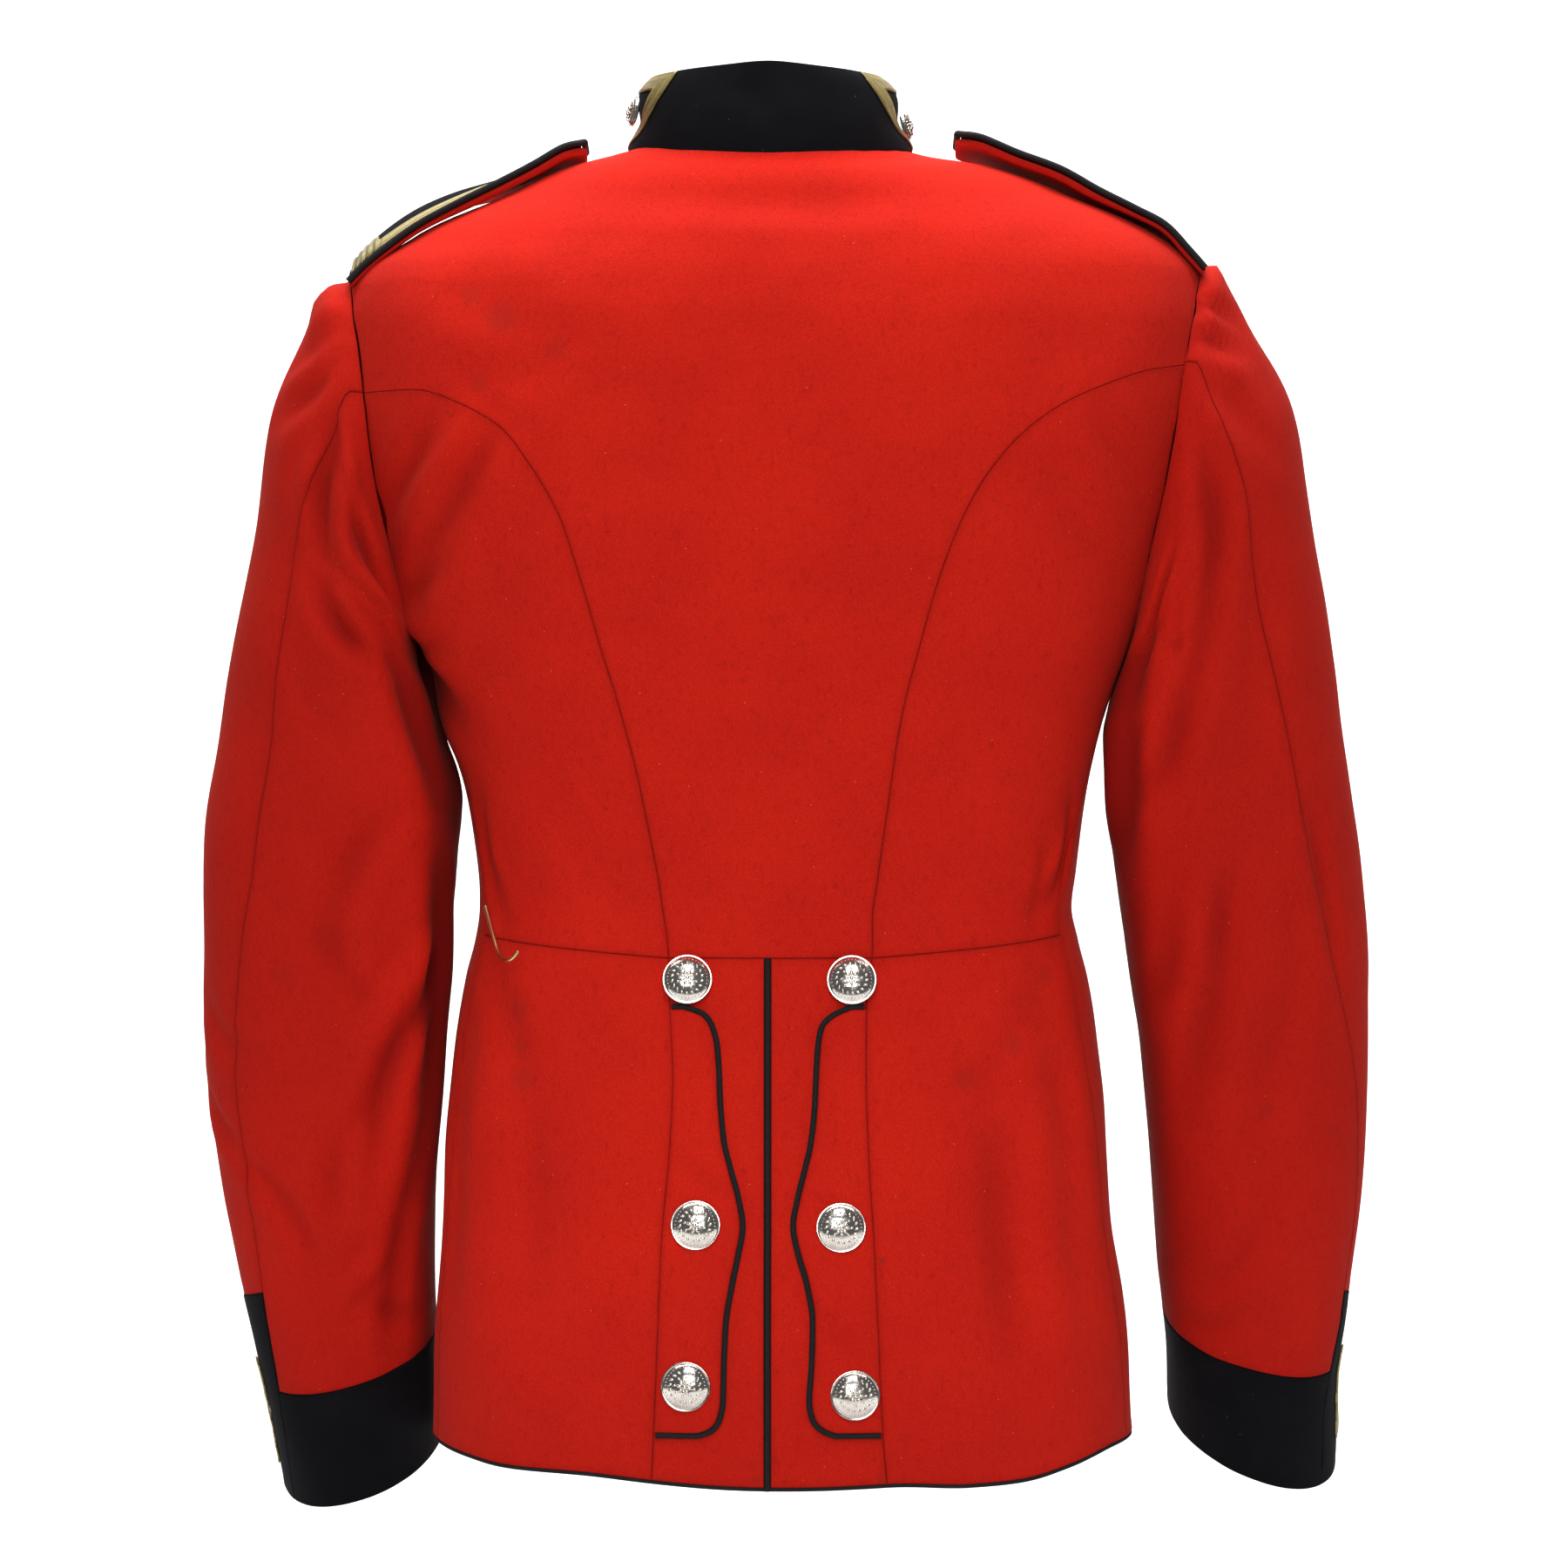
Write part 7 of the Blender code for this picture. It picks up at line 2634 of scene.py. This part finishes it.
class Recipe:
    """A material that is built node by node."""

    def __init__(self, name: str) -> None:
        """Starts an empty material with an output.

        Args:
            name: The material's name.
        """
        self.material = bpy.data.materials.new(name)
        self.material.use_nodes = True
        self.tree = self.material.node_tree
        self.tree.nodes.clear()
        self.output = self.tree.nodes.new("ShaderNodeOutputMaterial")

    def node(
        self, kind: str, take: int | str = 0, inputs: dict[Any, Any] | None = None, **settings: Any
    ) -> Wire:
        """Adds a node.

        Args:
            kind: Its Blender type.
            take: Which output to hand on.
            inputs: What goes into its inputs, by name or number: a wire or a constant.
            settings: Its own settings.

        Returns:
            The output asked for.
        """
        made = self.tree.nodes.new(kind)
        for name, value in settings.items():
            setattr(made, name, value)
        for key, value in (inputs or {}).items():
            if isinstance(value, Wire):
                self.tree.links.new(value.socket, made.inputs[key])
            else:
                made.inputs[key].default_value = value
        return Wire(self, made.outputs[take])

    def place(self) -> Wire:
        """The place in the object's own frame, in metres."""
        return self.node("ShaderNodeTexCoord", "Object")

    def flat(self) -> tuple[Wire, Wire]:
        """The place on the flat cut, in metres across and along."""
        plane = self.node("ShaderNodeSeparateXYZ", inputs={0: self.node("ShaderNodeTexCoord", "UV")})
        return plane, Wire(self, plane.socket.node.outputs[1])

    def number(self, name: str) -> Wire:
        """A number that the mesh carries."""
        return self.node("ShaderNodeAttribute", "Fac", attribute_name=name)

    def noise(
        self, scale: float, detail: float = 2.0, rough: float = 0.5, stretch: Vector | None = None
    ) -> Wire:
        """Noise in the object's own frame.

        Args:
            scale: How many grains a metre.
            detail: How many finer layers.
            rough: How strong those are.
            stretch: How much the grains are squeezed along each axis.

        Returns:
            Its value, from nought to one.
        """
        place = self.place()
        if stretch:
            place = self.node("ShaderNodeMapping", inputs={"Vector": place, "Scale": stretch})
        inputs = {"Vector": place, "Scale": scale, "Detail": detail, "Roughness": rough}
        return self.node("ShaderNodeTexNoise", inputs=inputs)

    def specks(self, scale: float, size: float) -> Wire:
        """Small specks in the object's own frame.

        Args:
            scale: How many cells a metre, each with at most one speck.
            size: Each speck's radius as a share of its cell.

        Returns:
            One in a speck and nought elsewhere.
        """
        cell = self.node("ShaderNodeTexVoronoi", "Distance", {"Vector": self.place(), "Scale": scale})
        return cell.step(size, size * 0.4)

    def mix(
        self, share: Wire | float, first: Colour | Wire, last: Colour | Wire, blend: str = "MIX"
    ) -> Wire:
        """Mixes two colours.

        Args:
            share: How much of the last one.
            first: The first colour.
            last: The last colour.
            blend: How they mix.

        Returns:
            The mixed colour.
        """
        inputs = {0: share, 6: first, 7: last}
        return self.node("ShaderNodeMix", 2, inputs, data_type="RGBA", blend_type=blend)

    def bump(self, height: Wire, distance: float, strength: float = 1.0, below: Wire | None = None) -> Wire:
        """Turns a height into a normal.

        Args:
            height: The height, from nought to one.
            distance: What a height of one stands for, in metres.
            strength: How strongly it shows.
            below: A normal that it is laid on.

        Returns:
            The normal.
        """
        inputs: dict[str, Any] = {"Height": height, "Distance": distance, "Strength": strength}
        if below:
            inputs["Normal"] = below
        return self.node("ShaderNodeBump", inputs=inputs)

    def finish(self, **inputs: Any) -> bpy.types.Material:
        """Ends the recipe with a Principled shader.

        Args:
            inputs: Its inputs, with underscores for spaces.

        Returns:
            The material.
        """
        named = {name.replace("_", " "): value for name, value in inputs.items()}
        shader = self.node("ShaderNodeBsdfPrincipled", inputs=named)
        self.tree.links.new(shader.socket, self.output.inputs["Surface"])
        return self.material


@dataclass(frozen=True)
class Mark:
    """A darker patch on the cloth.

    Args:
        form: The form that it is on.
        a: The form's first number there, in degrees.
        b: Its second number.
        radius: How far it reaches, in millimetres.
        strength: How much of the patch colour shows at its middle.
    """

    form: Form
    a: float
    b: float
    radius: float
    strength: float

    def centre(self) -> Array:
        """Where it is, in metres."""
        return self.form.point(np.array(math.radians(self.a)), np.array(self.b)) * MM


@dataclass(frozen=True)
class RedWool:
    """Felted scarlet wool with a soft nap, faint darker patches and darker seams, and painted shade in its
    folds, beside the sleeves, low down and at the sides.

    Args:
        bright: The nap's brighter colour.
        deep: The colour between.
        patch_colour: The dulled colour of the darker patches.
        dark_and_shade: The darker colour of the nap and the seams, and of the painted shade in folds, beside
            the sleeves, low down and at the sides.
        painted_shadow: The near-black painted shadow at the bottom of the deepest folds and hollows.
        marks: The marks on it.
    """

    bright: Colour = (0.660, 0.0180, 0.0072, 1.0)
    deep: Colour = (0.490, 0.0100, 0.0046, 1.0)
    patch_colour: Colour = (0.330, 0.0180, 0.0100, 1.0)
    dark_and_shade: Colour = (0.190, 0.0040, 0.0030, 1.0)
    painted_shadow: Colour = (0.022, 0.0006, 0.0006, 1.0)
    marks: tuple[Mark, ...] = ()

    @staticmethod
    def _across(recipe: Recipe) -> Wire:
        """How far the place lies from the tunic's middle, in metres."""
        return recipe.node("ShaderNodeSeparateXYZ", inputs={0: recipe.place()})

    def _patches(self, recipe: Recipe) -> Wire:
        """How much of the patch colour shows, from the marks with ragged edges.

        Args:
            recipe: The material's recipe.

        Returns:
            The share.
        """
        place = recipe.place()
        ragged = (recipe.noise(170.0, 3.0) - 0.5) * 0.9
        total: Wire | None = None
        for mark in self.marks:
            centre = Vector(mark.centre().tolist())
            away = recipe.node("ShaderNodeVectorMath", 1, {0: place, 1: centre}, operation="DISTANCE")
            depth = (away / (mark.radius * MM) + ragged).step(1.0, 0.25) * mark.strength
            total = depth if total is None else total.most(depth)
        return total if total is not None else ragged * 0.0

    def material(self, name: str) -> bpy.types.Material:
        """Builds the material.

        Args:
            name: The material's name.

        Returns:
            The material.
        """
        recipe = Recipe(name)
        mottled = recipe.noise(14.0, 4.0, 0.6).step(0.28, 0.72)
        fibre = recipe.noise(1150.0, 3.0, 0.7)
        nap = recipe.noise(300.0, 4.0, 0.7, Vector((1.0, 1.0, 0.6)))
        lint = recipe.specks(85.0, 0.045)
        base = recipe.mix(mottled * 0.38 + fibre.step(0.38, 0.66) * 0.62, self.deep, self.bright)
        base = recipe.mix(nap.step(0.52, 0.72) * 0.24, base, self.dark_and_shade)
        base = recipe.mix(self._patches(recipe), base, self.patch_colour)
        base = recipe.mix(recipe.number("seam") * 0.5, base, self.dark_and_shade)
        # Painted shade: crease troughs and the hollows beside the sleeves are darkened.
        base = recipe.mix((recipe.number("fold") * -0.16).step(0.05, 1.6) * 0.75, base, self.dark_and_shade)
        base = recipe.mix(lint * 0.2, base, (0.8, 0.45, 0.38, 1.0))
        # Painted shadow, near black, where the troughs and hollows are deepest.
        base = recipe.mix((recipe.number("fold") * -0.16).step(1.3, 3.0) * 0.75, base, self.painted_shadow)
        # Painted shade: the cloth is darker towards the bottom.
        low = (recipe.node("ShaderNodeSeparateXYZ", 2, {0: recipe.place()}) * -1.0).step(0.54, 0.68)
        base = recipe.mix(low * 0.22, base, self.dark_and_shade)
        # Painted shade: the cloth is darker at the sides and on the sleeves.
        aside = self._across(recipe).size().step(0.15, 0.235)
        base = recipe.mix(aside * 0.33, base, self.dark_and_shade)
        coarse = recipe.bump(nap, 0.00042, 0.6)
        normal = recipe.bump(fibre, 0.00028, 0.7, coarse)
        return recipe.finish(
            Base_Color=base,
            Roughness=0.86 + mottled * 0.08,
            Normal=normal,
            Specular_IOR_Level=0.08,
            Sheen_Weight=0.06,
            Sheen_Roughness=0.45,
            Sheen_Tint=(1.0, 0.30, 0.22, 1.0),
        )


@dataclass(frozen=True)
class BlackWool:
    """Felted navy-black wool with a little lint.

    Args:
        shade: Its colour.
        rubbed: Its colour where it is rubbed.
        lint: The lint's colour.
    """

    shade: Colour = (0.0022, 0.0021, 0.0029, 1.0)
    rubbed: Colour = (0.0052, 0.0050, 0.0066, 1.0)
    lint: Colour = (0.16, 0.16, 0.17, 1.0)

    def material(self, name: str) -> bpy.types.Material:
        """Builds the material.

        Args:
            name: The material's name.

        Returns:
            The material.
        """
        recipe = Recipe(name)
        fibre = recipe.noise(950.0, 3.0, 0.65)
        rubbed = recipe.noise(26.0, 3.0).step(0.42, 0.75)
        base = recipe.mix(rubbed * 0.6 + fibre.step(0.5, 0.75) * 0.3, self.shade, self.rubbed)
        base = recipe.mix(recipe.specks(120.0, 0.05) * 0.5, base, self.lint)
        return recipe.finish(
            Base_Color=base,
            Roughness=0.88,
            Normal=recipe.bump(fibre, 0.00022, 0.5),
            Specular_IOR_Level=0.1,
            Sheen_Weight=0.012,
            Sheen_Roughness=0.5,
            Sheen_Tint=(0.75, 0.8, 1.0, 1.0),
        )


@dataclass(frozen=True)
class BlackCord:
    """Corded black wool piping.

    Args:
        shade: Its colour.
        twist: How many strands a metre.
    """

    shade: Colour = (0.0048, 0.0048, 0.0060, 1.0)
    twist: float = 620.0

    def material(self, name: str) -> bpy.types.Material:
        """Builds the material.

        Args:
            name: The material's name.

        Returns:
            The material.
        """
        recipe = Recipe(name)
        fibre = recipe.noise(self.twist, 2.0, 0.6)
        base = recipe.mix(fibre.step(0.5, 0.8) * 0.5, self.shade, (0.018, 0.018, 0.021, 1.0))
        return recipe.finish(
            Base_Color=base, Roughness=0.8, Normal=recipe.bump(fibre, 0.0003, 0.6), Specular_IOR_Level=0.3
        )


@dataclass(frozen=True)
class GoldLace:
    """Woven metal-thread lace: ribbed bright edges and a flatter tan middle woven on the bias.

    Args:
        edge: The edges' colour.
        middle: The middle's colour.
        dark: The colour between the threads.
        width: The lace's width, in metres.
        border: How wide each ribbed edge is, in metres.
        rib: From one rib to the next, in metres.
    """

    edge: Colour = (0.60, 0.49, 0.19, 1.0)
    middle: Colour = (0.42, 0.33, 0.11, 1.0)
    dark: Colour = (0.07, 0.045, 0.018, 1.0)
    width: float = LACE_WIDTH * MM
    border: float = 0.0023
    rib: float = 0.00118

    def material(self, name: str) -> bpy.types.Material:
        """Builds the material.

        Args:
            name: The material's name.

        Returns:
            The material.
        """
        recipe = Recipe(name)
        across, along = recipe.flat()
        from_edge = self.width / 2 - (across - self.width / 2).size()
        at_edge = from_edge.step(self.border * 1.12, self.border * 0.88)
        turn = 2 * math.pi
        ribs = (along * (turn / self.rib)).sine() * 0.5 + 0.5
        bias = ((along + across) * (turn / 0.0016)).sine() * ((along - across) * (turn / 0.0016)).sine()
        weave = bias * 0.5 + 0.5
        height = recipe.node("ShaderNodeMix", 0, {0: at_edge, 2: weave * 0.6, 3: ribs})
        fleck = recipe.noise(700.0, 2.0)
        colour = recipe.mix(at_edge, self.middle, self.edge)
        colour = recipe.mix(height.step(0.45, 0.0) * 0.75, colour, self.dark)
        colour = recipe.mix(fleck.step(0.5, 0.8) * 0.35, colour, self.dark)
        line = (from_edge - self.border).size().step(0.0005, 0.0001)
        colour = recipe.mix(line * 0.7, colour, self.dark)
        colour = recipe.mix((recipe.number("fold") * -1.0).step(4.5, 9.0) * 0.8, colour, self.dark)
        return recipe.finish(
            Base_Color=colour,
            Metallic=0.55 + at_edge * 0.25,
            Roughness=0.50 - at_edge * 0.12,
            Normal=recipe.bump(height + fleck * 0.25, 0.00042, 0.9),
        )


@dataclass(frozen=True)
class Polished:
    """A polished metal with faint smudges.

    Args:
        shade: Its colour.
        rough: How rough it is.
        smudge: How much rougher its smudges are.
        dull: Its colour in its smudges.
    """

    shade: Colour
    rough: float
    smudge: float
    dull: Colour

    def material(self, name: str) -> bpy.types.Material:
        """Builds the material.

        Args:
            name: The material's name.

        Returns:
            The material.
        """
        recipe = Recipe(name)
        patch_noise = recipe.noise(240.0, 4.0, 0.6)
        smudged = patch_noise.step(0.45, 0.7)
        return recipe.finish(
            Base_Color=recipe.mix(smudged * 0.5, self.shade, self.dull),
            Metallic=1.0,
            Roughness=smudged * self.smudge + self.rough,
            Normal=recipe.bump(recipe.noise(900.0, 2.0), 0.00004, 0.4),
        )


# Darker patches: broad ones that follow crease troughs on the back, the skirts and the sleeves, and small
# spots on the skirt and at the hem.
MARKS = (
    Mark(BODY_FORM, 49, -73, 9, 0.30),
    Mark(BODY_FORM, 56, -86, 12, 0.35),
    Mark(BODY_FORM, 65, -103, 9, 0.30),
    Mark(BODY_FORM, 53, -120, 8, 0.28),
    Mark(BODY_FORM, 38.7, -438, 9, 0.35),
    Mark(BODY_FORM, 40.5, -456, 8, 0.30),
    Mark(BODY_FORM, 42, -473, 10, 0.35),
    Mark(BODY_FORM, 122, -471, 8, 0.30),
    Mark(BODY_FORM, 134.5, -454.5, 9, 0.35),
    Mark(BODY_FORM, 147, -421, 8, 0.30),
    Mark(BODY_FORM, 104.5, -556.6, 3.2, 0.65),
    Mark(BODY_FORM, 73, -658.6, 3.5, 0.60),
    Mark(BODY_FORM, 87, -656, 3.0, 0.55),
    Mark(BODY_FORM, 103, -656, 3.0, 0.55),
    Mark(SLEEVE_FORMS[Side.RIGHT], 88.3, 8.25, 7, 0.35),
    Mark(SLEEVE_FORMS[Side.RIGHT], 53.0, 8.41, 6, 0.30),
    Mark(SLEEVE_FORMS[Side.LEFT], 76.0, 6.9, 8, 0.22),
)


def make_finishes() -> dict[Slot, bpy.types.Material]:
    """Builds one material for each of the record's slots."""
    recipes = {
        Slot.RED: RedWool(marks=MARKS),
        Slot.BLACK: BlackWool(),
        Slot.CORD: BlackCord(),
        Slot.LACE: GoldLace(),
        Slot.SILVER: Polished((0.82, 0.78, 0.71, 1.0), 0.13, 0.16, (0.58, 0.57, 0.55, 1.0)),
        Slot.BRASS: Polished((0.74, 0.55, 0.26, 1.0), 0.30, 0.04, (0.70, 0.51, 0.23, 1.0)),
    }
    return {slot: recipe.material(slot.value + "_finish") for slot, recipe in recipes.items()}


# ---------------------------------------------------------------- studio


@dataclass(frozen=True)
class Lamp:
    """A soft square lamp that faces a point.

    Args:
        name: Its name.
        place: Where it stands, in metres.
        faces: The point that it faces.
        size: Its width, in metres.
        power: Its power, in watts.
        colour: Its colour.
    """

    name: str
    place: tuple[float, float, float]
    faces: tuple[float, float, float]
    size: float
    power: float
    colour: tuple[float, float, float] = (1.0, 1.0, 1.0)

    def build(self) -> None:
        """Sets the lamp up."""
        light = bpy.data.lights.new(self.name, "AREA")
        light.shape = "SQUARE"
        light.size = self.size
        light.energy = self.power
        light.color = self.colour
        lamp = bpy.data.objects.new(self.name, light)
        bpy.context.scene.collection.objects.link(lamp)
        lamp.location = self.place
        aim = Vector(self.faces) - Vector(self.place)
        lamp.rotation_euler = aim.to_track_quat("-Z", "Y").to_euler()


@dataclass(frozen=True)
class Studio:
    """A pale floor that sweeps up behind, soft lamps and the camera.

    Args:
        floor_height: The floor's height, in metres.
        reach: How far the floor runs towards the camera.
        wall: How far behind the tunic the sweep stands upright.
        bend: The sweep's radius.
        half_width: Half the floor's width.
        paper: The floor's colour.
        camera_place: Where the camera stands.
        lens: Its focal length, in millimetres, on a sensor 36 mm wide.
        lamps: The lamps.
        sky: How bright the air round it is.
    """

    floor_height: float = -0.775
    reach: float = 0.75
    wall: float = -2.4
    bend: float = 0.9
    half_width: float = 1.3
    paper: Colour = (0.88, 0.88, 0.88, 1.0)
    camera_place: tuple[float, float, float] = (-0.005, 3.2, -0.323)
    lens: float = 140.66
    lamps: tuple[Lamp, ...] = (
        Lamp("overhead", (0.0, 1.35, 1.2), (0.0, 0.05, -0.15), 0.9, 13.5),
        Lamp("camera_side", (0.1, 3.3, 0.55), (0.0, 0.0, -0.25), 1.6, 52.0),
        Lamp("backdrop", (0.0, -0.7, 1.7), (0.0, -2.4, -0.2), 2.4, 120.0),
    )
    sky: float = 0.1

    def _sweep(self) -> bpy.types.Object:
        """The floor and the sweep behind it, extruded from one edge.

        Returns:
            The floor.
        """
        bpy.ops.object.select_all(action="DESELECT")
        bpy.ops.mesh.primitive_plane_add(size=1.0)
        floor = bpy.context.active_object
        floor.name = "studio_floor"
        floor.scale = (2 * self.half_width, self.reach - self.wall - self.bend, 1.0)
        floor.location = (0.0, (self.reach + self.wall + self.bend) / 2, self.floor_height)
        bpy.ops.object.transform_apply(location=True, rotation=False, scale=True)
        rear = self.wall + self.bend
        for vertex in floor.data.vertices:
            vertex.select = vertex.co.y < rear + 0.01
        for edge in floor.data.edges:
            edge.select = all(floor.data.vertices[corner].co.y < rear + 0.01 for corner in edge.vertices)
        for face in floor.data.polygons:
            face.select = False
        bpy.ops.object.mode_set(mode="EDIT")
        bpy.ops.mesh.select_mode(type="EDGE")
        turns = np.linspace(0, math.pi / 2, 17)
        steps = np.diff(np.stack([-np.sin(turns), 1 - np.cos(turns)], -1), axis=0) * self.bend
        for back, up in [*steps.tolist(), [0.0, 4.0]]:
            bpy.ops.mesh.extrude_region_move(
                MESH_OT_extrude_region={}, TRANSFORM_OT_translate={"value": (0.0, back, up)}
            )
        bpy.ops.object.mode_set(mode="OBJECT")
        bpy.ops.object.shade_smooth()
        return floor

    def build(self) -> None:
        """Sets up the floor, the lamps, the air and the camera."""
        floor = self._sweep()
        recipe = Recipe("studio_paper")
        grain = recipe.noise(40.0, 2.0)
        paper = recipe.mix(grain * 0.06, self.paper, (0.8, 0.8, 0.8, 1.0))
        floor.data.materials.append(recipe.finish(Base_Color=paper, Roughness=0.92, Specular_IOR_Level=0.1))
        for lamp in self.lamps:
            lamp.build()
        scene = bpy.context.scene
        world = bpy.data.worlds.new("studio_air")
        world.use_nodes = True
        world.node_tree.nodes["Background"].inputs["Color"].default_value = (1.0, 1.0, 1.0, 1.0)
        world.node_tree.nodes["Background"].inputs["Strength"].default_value = self.sky
        scene.world = world
        lens = bpy.data.cameras.new("camera")
        lens.lens = self.lens
        lens.sensor_width = 36.0
        camera = bpy.data.objects.new("camera", lens)
        scene.collection.objects.link(camera)
        camera.location = self.camera_place
        camera.rotation_euler = (math.pi / 2, 0.0, math.pi)
        scene.camera = camera
        scene.view_settings.view_transform = "Standard"


# ---------------------------------------------------------------- the whole tunic


def main() -> None:
    """Builds the tunic and the studio."""
    logging.basicConfig(level=logging.INFO, format="%(name)s: %(message)s")
    finishes = make_finishes()
    maker = ClothMaker(finishes)
    body = Creases(BODY_FORM, BODY_CREASES)
    Bodice(maker, body).build()
    Skirts(maker, body).build()
    for side, rows in ((Side.LEFT, LEFT_SLEEVE_CREASES), (Side.RIGHT, RIGHT_SLEEVE_CREASES)):
        Sleeve(maker, side, Creases(SLEEVE_FORMS[side], rows)).build()
    collar = Collar(maker)
    collar.build()
    straps = {side: ShoulderStrap(maker, side) for side in Side}
    for strap in straps.values():
        strap.build()
    Pipings(maker, body).build()
    Buttons(finishes, body, collar, straps).build()
    BeltHook(finishes, body).build()
    Studio().build()
    LOG.info("%d sheets of cloth", len(maker.made))


if __name__ == "__main__":
    main()
